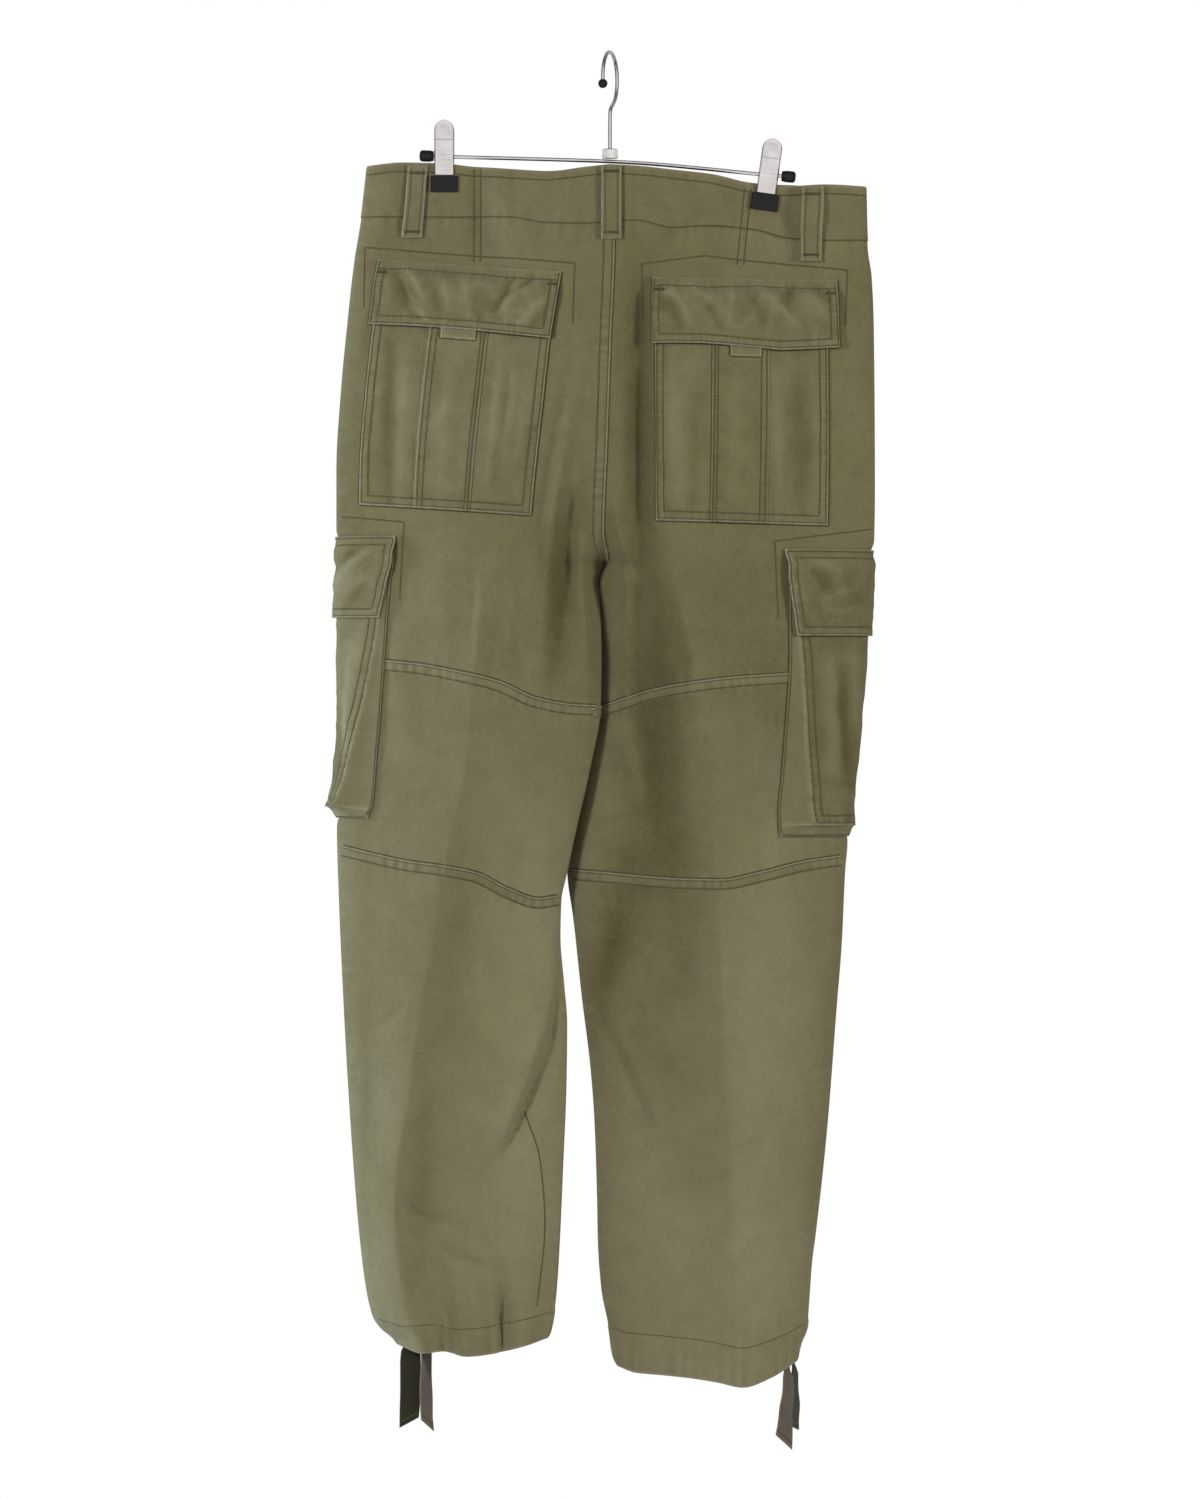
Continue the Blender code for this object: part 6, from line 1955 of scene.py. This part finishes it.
def cargo_flap(side):
    """The flap over the bellows pocket, wrapped round the side seam."""
    cut = CARGO[side]
    down = spaced(42, (0.006, 0.014, 0.026))[:, None]
    edge = cut["flap"][0] + (cut["flap"][1] - cut["flap"][0]) * down
    drop = cut["flap_top"] + (cut["flap_foot"] - cut["flap_top"]) * down
    share = np.array([round_the_side(float(e), cut["front"] + 0.02) for e in edge[:, 0]])
    drop = drop + 0 * share
    over = ease(down / 0.2) + 0 * share
    low, normal = on_cloth(side, "back", share, drop, LIE)
    soft = soft_noise(share, drop, 71.0 + len(side), 30, 26)
    soft = soft + 0.9 * crumpled(HALF_WIDE * share, drop, 75.0, 18)
    soft = 0.6 * soft * ease(down / 0.3) * (0.4 + 0.6 * ease((1 - down) / 0.25))
    soft = soft + small_folds("cargo_flap", side, share, drop)
    from_edge = np.minimum(np.abs(edge - share) * HALF_WIDE, cut["flap_foot"] - drop)
    sunk = channels(np.minimum(from_edge, drop - cut["flap_top"]), FLAP_ROWS) * over
    gather = 0.38 * pucker(HALF_WIDE * share, cut["flap_foot"] - drop, 9.0, 6.0, 7.2)
    gather = gather + 0.28 * pucker(drop, (edge - share) * HALF_WIDE, 8.0, 2.0, 6.6)
    high, _ = cargo_face(side, cut, share, drop, 1.9 + soft + gather + sunk)
    inner = low + (high - low) * over[..., None]
    outer = inner + normal * FLAP_CLOTH
    outer, inner = rounded(outer, inner, "tbse")
    wear = 1.0 * hump(border(outer, "bse"), 2.4)
    wear = np.maximum(wear, 0.5 * hump(border(outer, "t"), 1.6))
    # painted light and shade from the folds, puckers and stitch grooves, over the pocket's painted
    # shade
    painted_shading = toned(gather, soft, sunk, CARGO_PAINTED_SHADE[side])
    leg = [f"back_{side}", f"front_{side}"]
    _, sewn = sewn_on(f"cargo_flap_{side}", outer, inner, leg, wear, painted_shading)
    sewn.edging(outer, normals_of(outer, normal), "tsbe", FLAP_ROWS)
    sewn.made()
    return np.stack([outer[2:-2, 0, 0], -outer[2:-2, 0, 2]], axis=1)


def at_x(face, x, drop, lift):
    """Points above the cloth at these x, on whichever half they fall, and their normals."""
    x, drop = np.broadcast_arrays(np.asarray(x, float), np.asarray(drop, float))
    points, normals = np.zeros((*x.shape, 3)), np.zeros((*x.shape, 3))
    middle = through(INNER["left"]["drop"], INNER["left"]["x"], drop)
    for side in ("left", "right"):
        outer, inner = edges_at(side, drop)
        share = np.clip((x - outer) / (inner - outer), 0.001, 0.999)
        here = (x < middle) == (side == "left")
        point, normal = on_cloth(side, face, share, drop, lift)
        points[here], normals[here] = point[here], normal[here]
    return points, normals


def belt_loop(name):
    """A folded loop with two sunk stitch lines, bar-tacked at both ends."""
    face, x_top, x_foot, top, foot = LOOPS[name]
    down = spaced(46, (0.006, 0.02))[:, None]
    across = np.array([-9, -8.6, -7.8, -6.8, -6.0, -5.4, -4.8, -4.0, -2.6, -1.2, 0.0])
    across = np.concatenate([across, -across[-2::-1]])[None, :] * LOOP_WIDE / 18
    drop = top + (foot - top) * down
    centre = x_top + (x_foot - x_top) * down
    bow = LOOP_BOW * np.sin(np.pi * down) ** 0.7
    lift = LIE + BAND_RAISE - 0.3 + bow + 0 * across
    base, normal = at_x(face, centre + across, drop + 0 * across, lift)
    flat = unit(normal.mean(axis=1, keepdims=True))
    middle = base[:, base.shape[1] // 2 : base.shape[1] // 2 + 1]
    beside = base - middle
    level_base = middle + beside - flat * (beside * flat).sum(-1, keepdims=True) * 0.6
    sunk = 0.42 * (hump(np.abs(across) - 5.4, 0.8))
    ends = 1.0 * (1 - ease(down * (foot - top) / 7.0 - 0.2))
    ends = ends + 0.8 * (1 - ease((1 - down) * (foot - top) / 6.0 - 0.2))
    ripple = 0.12 * np.sin(2 * np.pi * drop / 4.1 + 2 * np.sin(drop / 7.0))
    ripple = ripple * hump(np.abs(across) - 6.4, 2.2)
    thick = LOOP_CLOTH + ends - sunk + ripple
    outer = level_base + flat * thick[..., None]
    outer, inner = rounded(outer, level_base, "tbse")
    wear = 0.95 * hump(np.abs(across) - 8.8, 1.1) + 0 * down
    wear = np.maximum(wear, 0.8 * hump(border(outer, "tb"), 2.0))
    # painted shade in the two sunk stitch lines
    painted_shading = np.clip(-2.2 * sunk + 0 * down, -1, 1)
    _, sewn = sewn_on(name, outer, inner, ["waistband"], wear, painted_shading)
    normals = normals_of(outer, flat)
    for c in (5, outer.shape[1] - 6):
        sewn.run(outer[3:-3, c], normals[3:-3, c])
    _, v = arcs(outer)
    for place in (7.5, float(v[-1].mean()) - 7.0):
        r = int(np.argmin(np.abs(v[:, outer.shape[1] // 2] - place)))
        sewn.bar(outer[r, 3:-3], normals[r, 3:-3])
    sewn.made()


def fly_placket():
    """The fly's facing on the wearer's left front, with its curved double stitching."""
    below = through(np.linspace(0, 1, 7), FLY["below"], np.linspace(0, 1, 56))[:, None]
    free = through(FLY["below"], FLY["edge"], below)
    along = spaced(18, (0.01, 0.03, 0.06))[None, :]
    share = free + (FLY_INNER - free) * along
    drop = level("left", "front", "waist_seam", share) + below
    lift = LIE - 0.4 + 0.3 * soft_noise(share, drop, 80.0, 26, 40)
    outer, inner = lifted("left", share, drop, lift, FLAP_CLOTH, "front")
    outer, inner = rounded(outer, inner, "tbse")
    wear = 0.8 * hump(border(outer, "be"), 2.0)
    _, sewn = sewn_on("fly_placket", outer, inner, ["front_left"], wear)
    grid = outer, normals_of(outer, [0, 1, 0])
    for edge, inset in (("s", 2.4), ("s", 8.4), ("e", 2.4)):
        sewn.run(*inset_line(*grid, edge, inset, (3.0, 3.0)))
    sewn.made()


def hem_tie(name, finish):
    """A flat herringbone tape with a slanted end turned under and stitched."""
    rows, slant = TIES[name]
    span = rows["drop"][-1] - rows["drop"][0]
    down = spaced(52, (0.004, 0.012, 0.025))[:, None]
    along = np.concatenate([[-1, -0.97, -0.9], np.linspace(-0.8, 0.8, 13), [0.9, 0.97, 1]])[None, :]
    drop = rows["drop"][0] + span * down
    x, y, half, turn = (through(rows["drop"], rows[c], drop) for c in ("x", "y", "half", "turn"))
    angle = np.radians(turn)
    seed = sum(ord(c) for c in name) % 17
    curl = 0.5 * np.sin(drop / 9.0 + seed) * along + 0.35 * np.sin(drop / 5.3 + 2 * seed)
    wide = np.stack([np.cos(angle), np.sin(angle), 0 * angle], axis=-1)
    normal = np.stack([np.sin(angle), -np.cos(angle), 0 * angle], axis=-1)
    low = down**3
    z = -drop - slant * along * low / 2
    middle = np.stack([x + 0 * along, y + 0 * along, z], axis=-1)
    points = middle + wide * (half * along)[..., None]
    points = points + normal * curl[..., None] * ease(down * 4)[..., None]
    selvage = 0.15 * hump(np.abs(along) - 0.93, 0.05)
    hem = 0.35 * ease((down - 0.90) / 0.02)
    thick = (TIE_CLOTH + selvage + hem - 0.15)[..., None] / 2
    outer, inner = rounded(points + normal * thick, points - normal * thick, "bse")
    wear = 0.7 * hump(border(outer, "bse"), 1.4)
    piece = shell(f"tape_{name}", outer, inner, finish, [name], wear)
    side = "left" if "left" in name else "right"
    cloth_piece(piece, outer, [f"cloth_lower_leg_back_{side}"])
    sewn = Sewing(f"stitches_{name}", piece)
    for grid in ((outer, normals_of(outer, [0, -1, 0])), (inner, normals_of(inner, [0, 1, 0]))):
        sewn.run(*inset_line(*grid, "b", 5.5, (1.5, 1.5)), pitch=2.6)
    sewn.made()


# ---- the button, the hanger and its clips ----


def turned(name, profile, place, axis, finish, nodes, steps=48):
    """A body turned round an axis from (radius, height) steps, which start and end on the axis."""
    bm = bmesh.new()
    verts = [bm.verts.new((r * MM, 0, h * MM)) for r, h in profile]
    edges = [bm.edges.new(pair) for pair in zip(verts, verts[1:])]
    round_z = {"cent": (0, 0, 0), "axis": (0, 0, 1), "angle": 2 * math.pi}
    bmesh.ops.spin(bm, geom=verts + edges, steps=steps, use_merge=True, **round_z)
    bmesh.ops.remove_doubles(bm, verts=bm.verts[:], dist=1e-6)
    bmesh.ops.recalc_face_normals(bm, faces=bm.faces[:])
    bmesh.ops.transform(bm, matrix=facing(place, axis), verts=bm.verts)
    return finish_piece(mesh_of(bm, name), finish, nodes, 35.0)


def rod(name, points, radius, finish, nodes, around=8):
    """A round wire along points in millimetres, made a mesh."""
    curve = bpy.data.curves.new(name + "_line", "CURVE")
    curve.dimensions = "3D"
    curve.bevel_depth = radius * MM
    curve.bevel_resolution = around
    curve.use_fill_caps = True
    spline = curve.splines.new("POLY")
    spline.points.add(len(points) - 1)
    for knot, point in zip(spline.points, points):
        knot.co = (*(Vector(point) * MM), 1.0)
    spline.use_smooth = True
    return finish_piece(baked(linked(name + "_line", curve), name), finish, nodes, 50.0)


def waist_button():
    """A rimmed button with four holes, sewn on with a crossed thread."""
    seam = float(level("left", "front", "waist_seam", 1.0))
    top = float(level("left", "front", "waist_top", 1.0))
    points, normals = at_x("front", [-14.0], (seam + top) / 2, BAND_RAISE + LIE)
    place, normal = points[0], normals[0]
    r, t = BUTTON_RADIUS, BUTTON_THICK
    profile = [(0, 0), (r - 1.6, 0), (r - 0.5, 0.5), (r, 1.3), (r - 0.1, 2.2), (r - 0.7, t)]
    profile += [(r - 1.6, t - 0.1), (r - 2.5, t - 0.9), (r - 3.4, t - 1.1), (0, t - 1.2)]
    button = turned("waist_button_round", profile, place, normal, BUTTON, (), 56)
    across = unit(np.cross(normal, [0, 0, 1.0]))
    up = np.cross(across, normal)
    bm = bmesh.new()
    for a, b in ((-1, -1), (1, -1), (-1, 1), (1, 1)):
        hole = {"radius1": HOLE_RADIUS * MM, "radius2": HOLE_RADIUS * MM, "depth": 12 * MM}
        made = bmesh.ops.create_cone(bm, cap_ends=True, segments=20, **hole)
        spot = place + across * HOLE_AWAY * a + up * HOLE_AWAY * b
        bmesh.ops.transform(bm, matrix=facing(spot, normal), verts=made["verts"])
    drill = linked("button_holes", mesh_of(bm, "button_holes"))
    cut = button.modifiers.new("holes", "BOOLEAN")
    cut.operation, cut.solver, cut.object = "DIFFERENCE", "EXACT", drill
    mesh = baked(button, "waist_button_disc")
    bpy.data.objects.remove(drill)
    piece = finish_piece(mesh, BUTTON, ["waist_button"], 35.0)
    sewn = Sewing("button_thread", piece)
    for a, b in ((-1, -1), (1, -1)):
        reach = across * HOLE_AWAY * a + up * HOLE_AWAY * b
        ends = [place + reach * s + normal * (t - 1.0) for s in (-1.0, 0.0, 1.0)]
        ends[1] = ends[1] + normal * (0.5 + 0.2 * a)
        path, ups, lead = along_path(np.array(ends), np.array([normal] * 3), 0.6)
        for shift in (-0.3, 0.3):
            sewn.threads(path + np.cross(ups, lead) * shift, ups, lead, 1.0, 0.5, 0.45)
    sewn.made("button")


def hanger():
    """The bar, its end caps, the hook with its tip, and the milky collar that the hook turns in."""
    ends = BAR["x"][0], BAR["x"][-1]
    points = [(x, 0.0, -float(bar_drop(x))) for x in np.linspace(*ends, 90)]
    rod("bar_rod", points, BAR_RADIUS, CHROME, ["hanger_bar"])
    r, long = CAP_RADIUS, CAP_LONG
    cap = [(0, 0), (r * 0.62, 0), (r * 0.8, 0.2), (r * 0.9, 1.0), (r * 0.94, 1.6), (r * 0.9, 2.1)]
    cap += [(r * 0.97, 2.9), (r, 4.2), (r, long - 3.4), (r * 0.96, long - 2.0)]
    cap += [(r * 0.82, long - 0.8), (r * 0.55, long - 0.15), (0, long)]
    for name, end, near in (("left", points[0], points[3]), ("right", points[-1], points[-4])):
        out = unit(np.array(end) - np.array(near))
        place = np.array(end) + out * 0.05
        turned(f"cap_{name}", cap, place, out, RUBBER, [f"bar_cap_{name}"])
    walked = np.array(hook_points())
    gone = gone_along(walked)
    at = np.linspace(0, gone[-1], 150)
    fine = np.stack([through(gone, walked[:, k], at) for k in range(3)], axis=1)
    rod("hook_rod", fine, HOOK_RADIUS, CHROME, ["hanger_hook"])
    end = fine[-1] + unit(fine[-1] - fine[-2]) * TIP_RADIUS * 0.75
    bm = bmesh.new()
    bmesh.ops.create_uvsphere(bm, u_segments=40, v_segments=24, radius=TIP_RADIUS * MM)
    bmesh.ops.translate(bm, verts=bm.verts, vec=Vector(end) * MM)
    finish_piece(mesh_of(bm, "tip_ball"), RUBBER, ["hook_tip"], 60.0)
    high = COLLAR_FOOT - COLLAR_TOP
    r = COLLAR_RADIUS
    bell = [(0, 0), (r * 0.86, 0), (r * 0.97, 0.4), (r, 1.2), (r * 0.985, 2.6)]
    bell += [(r * 0.93, high - 2.6), (r * 0.95, high - 1.4), (r * 0.92, high - 0.7)]
    bell += [(r * 0.80, high - 0.35), (r * 0.42, high - 0.5), (0, high - 0.5)]
    foot = np.array([HOOK_X, 0.0, -COLLAR_FOOT])
    turned("collar_bell", bell, foot, (0, 0, 1), COLLAR_PLASTIC, ["hanger_collar"], 64)
    rim = [(0, high - 0.44), (r * 0.34, high - 0.42), (r * 0.40, high - 0.1), (r * 0.62, high + 0.1)]
    rim += [(r * 0.82, high - 0.05), (r * 0.86, high - 0.3), (r * 0.6, high - 0.49), (0, high - 0.49)]
    turned("collar_rim", rim, foot, (0, 0, 1), COLLAR_RIM, (), 64)


def clip(side):
    """Two pressed plates on a coiled spring round the bar, with ribbed rubber pads on their jaws."""
    cut = CLIPS[side]
    home = Vector((cut["x"], 0, -float(bar_drop(cut["x"])))) * MM
    place = Matrix.Translation(home) @ Matrix.Rotation(math.radians(cut["tilt"]), 4, "Y")
    for face, sign in (("back", -1.0), ("front", 1.0)):
        below = np.concatenate([np.linspace(-32, -27, 14), np.linspace(-27, 16.8, 88)])
        below = np.unique(below)[:, None]
        rim = np.array([0.88, 0.95, 0.985, 1])
        across = np.concatenate([-rim[::-1], np.linspace(-0.8, 0.8, 25), rim])[None, :]
        out = through(PLATE["below"], PLATE["out"], below)
        end = np.sqrt(np.clip(1 - ((PLATE_ROUND_AT - below) / PLATE_ROUND) ** 2, 0.0, 1))
        half = through(PLATE["below"], PLATE["half"], below)
        half = np.where(below < PLATE_ROUND_AT, PLATE_HALF * end, half)
        half = np.maximum(half, 1.2)
        x = half * across
        dimple = -0.6 * np.exp(-((x / 4.2) ** 4 + ((below + 22.5) / 4.6) ** 4))
        crown = 0.5 * np.clip(1 - across**2, 0, 1) ** 0.5
        groove = -0.45 * hump(below + 14.0, 0.8)
        ribs = 0.2 * np.sin(2 * np.pi * (below - 1.0) / 4.6) * ease((below + 4) / 3)
        ribs = ribs * ease((15.5 - below) / 2) * np.exp(-((x / 6.6) ** 8))
        flange = -1.7 * ease((np.abs(across) - 0.86) / 0.14)
        y = out + dimple + groove + ribs + crown - 0.5 + flange * ease((-below + 40) / 10)
        outer = np.stack([x + 0 * y, sign * y, -below + 0 * y], axis=-1)
        inner = outer - np.array([0, sign * CLIP_PLATE, 0])
        outer, inner = rounded(outer, inner, "tbse")
        name = f"clip_{side}_{face}"
        plate = shell(f"plate_{name}", outer, inner, CHROME, [f"{name}_plate"], smooth=42.0)
        plate.data.transform(place)
        # the pad: a moulded block with ribs across, rounded over at its ends and sides
        down = spaced(40, (0.01, 0.03, 0.07))[:, None]
        wide = spaced(24, (0.01, 0.03, 0.07))[None, :]
        z = -(PAD_TOP + (PAD_FOOT - PAD_TOP) * down)
        close = PINCH + BAND_RAISE + SEAM_GAP
        from_end = np.minimum(down, 1 - down) * (PAD_FOOT - PAD_TOP)
        edge = np.minimum(from_end, np.minimum(wide, 1 - wide) * PAD_WIDE)
        round_off = 1.3 * (1 - np.sqrt(np.clip(1 - (1 - np.clip(edge / 1.5, 0, 1)) ** 2, 0, 1)))
        rib = 0.22 * np.sin(2 * np.pi * (down * 14.8) / 2.4) * ease((edge - 1.2) / 1.0)
        far = close + PAD_DEEP - round_off + rib - 0.2
        level_z, near = z + 0 * far, sign * (close + 0 * far + 0.1)
        shape = np.stack([(wide - 0.5) * PAD_WIDE + 0 * far, sign * far, level_z], axis=-1)
        under = np.stack([(wide - 0.5) * (PAD_WIDE - 0.6) + 0 * far, near, level_z], axis=-1)
        pad = shell(f"pad_{name}", shape, under, RUBBER, [f"{name}_pad"], smooth=60.0)
        pad.data.transform(place)
    radius = (SPRING["inside"] + SPRING["outside"]) / 2 + 0.3
    angle = np.linspace(0, 2 * math.pi * SPRING["turns"], int(SPRING["turns"] * 28))
    along = (angle / angle[-1] - 0.5) * (SPRING["long"] - 1.2)
    coil = np.stack([along, radius * np.cos(angle), radius * np.sin(angle)], axis=1)
    slope = math.atan2(float(bar_drop(cut["x"] + 5) - bar_drop(cut["x"] - 5)), 10)
    spring = rod(f"coil_{side}", coil, SPRING["wire"], CHROME, [f"clip_{side}_spring"], 3)
    spring.data.transform(Matrix.Translation(home) @ Matrix.Rotation(slope, 4, "Y"))


# ---- seams across the panels ----

# Stitched lines on the panels, as x and drop: patches behind the pockets, darts and leg seams
LINES = {
    ("back", "left"): (
        ("patch", ((-220.3, 226.6), (-219.4, 173.0), (-32.1, 188.2), (-33.9, 241.7))),
        ("double", ((-119.1, 103.5), (-119.1, 186.0))),
        ("patch", ((-240.0, 413.0), (-183.8, 418.3), (-187.7, 485.8))),
        ("leg", ((-77.2, 942.0), (-63.3, 985.7), (-58.9, 1042.7), (-66.0, 1116.8))),
    ),
    ("back", "right"): (
        ("patch", ((28.5, 241.0), (27.2, 189.1), (84.3, 181.1), (210.5, 193.6), (208.7, 243.5))),
        ("double", ((122.2, 120.0), (115.1, 188.2))),
        ("patch", ((148.6, 504.0), (145.4, 435.3), (232.0, 424.0))),
    ),
    ("front", "left"): (("double", ((-146.0, 155.0), (-178.0, 230.0), (-228.0, 305.0))),),
    ("front", "right"): (("double", ((146.0, 170.0), (176.0, 240.0), (226.0, 315.0))),),
}


def double(sewn, ground, points):
    """Two rows of stitches side by side along a line."""
    flat = drawn(points)
    for away in (-DOUBLE_GAP / 2, DOUBLE_GAP / 2):
        laid = ground.lay(sidestep(flat, away))
        if laid:
            sewn.run(*laid)


def single(sewn, ground, points, smooth=True):
    laid = ground.lay(drawn(points, smooth=smooth))
    if laid:
        sewn.run(*laid)


def corner_lines(sewn, ground, points):
    """A stitched outline with square corners."""
    for a, b in zip(points, points[1:]):
        single(sewn, ground, [a, b], smooth=False)


def lay_seam(name, ground, flat, owner, sewn, wide, seed):
    """A lapped seam with its two rows of stitches and a dark strip above its edge that paints the
    edge's shadow.
    """
    made = seam_band(name, ground, flat, wide, SEAM_HIGH, owner, seed)
    if made is None:
        print("seam left out", name)
        return
    outer, normals = made
    for column, line in ((3, 0.9), (7, GROOVE_SHADE_WIDE)):
        sewn.run(outer[:, column] + normals[:, column] * 0.1, normals[:, column], line=line)
    # painted shadow beside the seam's raised edge
    laid = ground.lay(sidestep(flat, -wide / 2 - 0.6))
    if laid:
        sewn.press(*laid, 1.5)


def across_half(side, face, share, drop, step):
    """A line across one half, in even steps, as x and drop."""
    return drawn(np.stack([cloth(side, face, share, drop)[:, 0], drop], axis=1), step)


def seams(pieces, band, rims):
    """Lapped seams, darts, knee seams and patch stitching on the back and on the front."""
    for face in ("back", "front"):
        panels = [p for n, p in pieces.items() if face in n] + [band]
        ground = Ground(panels, face)
        for side in ("left", "right"):
            sewn = {
                "seat": Sewing(f"stitches_{face}_{side}", pieces[f"{face}_{side}"]),
                "knee": Sewing(f"stitches_knee_{face}_{side}", pieces[f"knee_{face}_{side}"]),
                "shin": Sewing(f"stitches_hem_{face}_{side}", pieces[f"lower_leg_{face}_{side}"]),
            }
            for name, where in (("knee_top", "knee"), ("knee_foot", "shin")):
                first, last = SEAM_ENDS[face, side, name]
                share = np.linspace(first, last, 150)
                flat = across_half(side, face, share, level(side, face, name, share), 1.6)
                if side == "right":
                    flat = flat[::-1]
                seed = SEEDS[face] + (3.0 if side == "left" else 0.0)
                owner = sewn[where].owner
                lay_seam(f"seam_{name}_{face}_{side}", ground, flat, owner, sewn[where], 10.0, seed)
            share = np.linspace(0.02, 0.98, 150)
            drop = level(side, face, "hem", share) - HEM_DEEP[side] + 2.5
            laid = ground.lay(across_half(side, face, share, drop, 1.4))
            if laid:
                sewn["shin"].run(*laid, line=0.8)
            for kind, points in LINES.get((face, side), ()):
                if kind == "double":
                    double(sewn["seat"], ground, points)
                elif kind == "patch":
                    corner_lines(sewn["seat"], ground, points)
                elif kind == "leg":
                    single(sewn["shin"], ground, points)
            if face == "back":
                # dark strips round each pocket, flap, tab and cargo piece paint the shadow beside
                # their edges
                for rim, on in rims[side]:
                    under = Ground(panels + on, face) if on else ground
                    laid = under.lay(sidestep(rim, 0.5 if side == "left" else -0.5))
                    if laid:
                        sewn["seat"].press(*laid, 1.6)
            for one in sewn.values():
                one.made()
        # the centre seam, from the waist to the fork
        middle = np.linspace(150, 452, 160) if face == "back" else np.linspace(170, 445, 140)
        x = through(INNER["left"]["drop"], INNER["left"]["x"], middle)
        owner = pieces[f"{face}_left"]
        sewn = Sewing(f"stitches_centre_{face}", owner)
        flat = np.stack([x - 1.0, middle], axis=1)
        lay_seam(f"seam_centre_{face}", ground, flat, owner, sewn, 11.0, 2.0)
        sewn.made()


def band_stitches(band, outer):
    """Stitching along both edges of the waistband."""
    sewn = Sewing("stitches_waistband", band)
    normals = normals_of(outer, outer * [0, 1, 0])
    shown = slice(0, outer.shape[1] - BAND_LAP - 3)
    for edge, inset in (("t", 8.6), ("b", 2.4)):
        sewn.run(*inset_line(outer[:, shown], normals[:, shown], edge, inset, (3.0, 3.0)))
    sewn.made()


# ---- the camera, the floor and the light ----

# The camera's distance, the height of what it sees and its middle as x and z, in metres
CAMERA_AWAY = 8.0
VIEW_TALL = 1.338
VIEW_CENTRE = (-0.0098, -0.6208)
# The floor, the point that the lamps face, both in metres, and how strong the room's soft light is
FLOOR_RADIUS = 0.9
FLOOR_DROP = 1.45
LIGHT_AIM = (0.0, 0.0, -0.62)
AMBIENT = 0.32
# The room's tones: its soft light from below (0) to above (1), and what polished metal shows of it,
# from the camera's side (0) to the far side (1)
ROOM_TONES = {
    "soft": ("Z", ((0, 0.30), (0.36, 0.55), (0.46, 0.16), (0.50, 0.22), (0.56, 0.80), (1, 0.95))),
    "shine": ("Y", ((0, 0.80), (0.12, 0.66), (0.22, 0.30), (0.32, 0.10), (0.62, 0.16), (1, 0.50))),
}
# Each lamp: its name, place, size, power and colour
LIGHTS = (
    ("window side", (-2.6, 0.06, -0.75), (0.4, 1.8), 66.0, (0.66, 0.83, 1.0)),
    ("window bounce", (-1.45, -1.65, -0.05), (0.4, 0.5), 26.0, (1.0, 0.985, 0.96)),
    ("room side", (1.9, -1.25, -0.10), (0.4, 0.5), 27.0, (1.0, 0.98, 0.90)),
)


def stage():
    """A long lens straight at the back, a plain pale floor, and wide soft light from both sides."""
    scene = bpy.context.scene
    scene.view_settings.view_transform = "Standard"
    scene.view_settings.look = "None"
    camera = bpy.data.cameras.new("camera")
    camera.lens = camera.sensor_width * CAMERA_AWAY / VIEW_TALL
    camera.sensor_fit = "AUTO"
    seen = linked("camera", camera)
    seen.location = (VIEW_CENTRE[0], -CAMERA_AWAY, VIEW_CENTRE[1])
    seen.rotation_euler = (math.radians(90), 0, 0)
    scene.camera = seen
    bm = bmesh.new()
    bmesh.ops.create_circle(bm, cap_ends=True, segments=96, radius=FLOOR_RADIUS)
    bmesh.ops.translate(bm, verts=bm.verts, vec=(0, 0, -FLOOR_DROP))
    mesh = mesh_of(bm, "floor")
    mesh.materials.append(principled("pale floor", (0.82, 0.82, 0.82), 0.9)[0])
    linked("floor", mesh)
    world = bpy.data.worlds.new("studio")
    world.use_nodes = True
    scene.world = world
    tree = world.node_tree
    tree.nodes.clear()
    out = tree.nodes.new("ShaderNodeOutputWorld")
    rays = node(tree, "LightPath")
    way = node(tree, "SeparateXYZ", {0: node(tree, "TexCoord").outputs["Generated"]})
    around = {}
    for kind, (axis, stops) in ROOM_TONES.items():
        band = node(tree, "ValToRGB", {"Fac": ramp(tree, way.outputs[axis], -1, 1)})
        ends = band.color_ramp.elements
        ends[0].color, ends[1].color = ((tone, tone, tone, 1) for _, tone in (stops[0], stops[-1]))
        for place, tone in stops[1:-1]:
            ends.new(place).color = (tone, tone, tone, 1)
        strength = AMBIENT if kind == "soft" else 1.0
        tone = {"Color": band.outputs["Color"], "Strength": strength}
        around[kind] = node(tree, "Background", tone).outputs[0]
    white = node(tree, "Background", {"Color": (1, 1, 1, 1), "Strength": 1.0}).outputs[0]
    glossy, straight = rays.outputs["Is Glossy Ray"], rays.outputs["Is Camera Ray"]
    soft = node(tree, "MixShader", {0: glossy, 1: around["soft"], 2: around["shine"]}).outputs[0]
    both = node(tree, "MixShader", {0: straight, 1: soft, 2: white})
    tree.links.new(both.outputs[0], out.inputs["Surface"])
    for name, place, size, power, colour in LIGHTS:
        lamp = bpy.data.lights.new(name, "AREA")
        lamp.shape = "RECTANGLE"
        lamp.size, lamp.size_y = size
        lamp.energy = power
        lamp.color = colour
        holder = linked(name, lamp)
        holder.location = place
        holder.visible_glossy = False
        aim = Vector(LIGHT_AIM) - Vector(place)
        holder.rotation_euler = aim.to_track_quat("-Z", "Y").to_euler()


def main():
    stage()
    pieces = main_panels()
    band, band_outer = waistband()
    rims = {}
    for side in ("left", "right"):
        pocket, pocket_rim = back_pocket(side)
        rims[side] = [
            (pocket_rim, []),
            (back_flap(side), [pocket]),
            (flap_tab(side), [pocket]),
            (cargo_pocket(side), []),
            (cargo_flap(side), []),
        ]
        clip(side)
    for name in LOOPS:
        belt_loop(name)
    for name in TIES:
        # the outer tapes hang behind and take the tape in painted shade
        hem_tie(name, TAPE_SHADED if name.endswith("outer") else TAPE_PALE)
    fly_placket()
    waist_button()
    hanger()
    band_stitches(band, band_outer)
    seams(pieces, band, rims)


main()
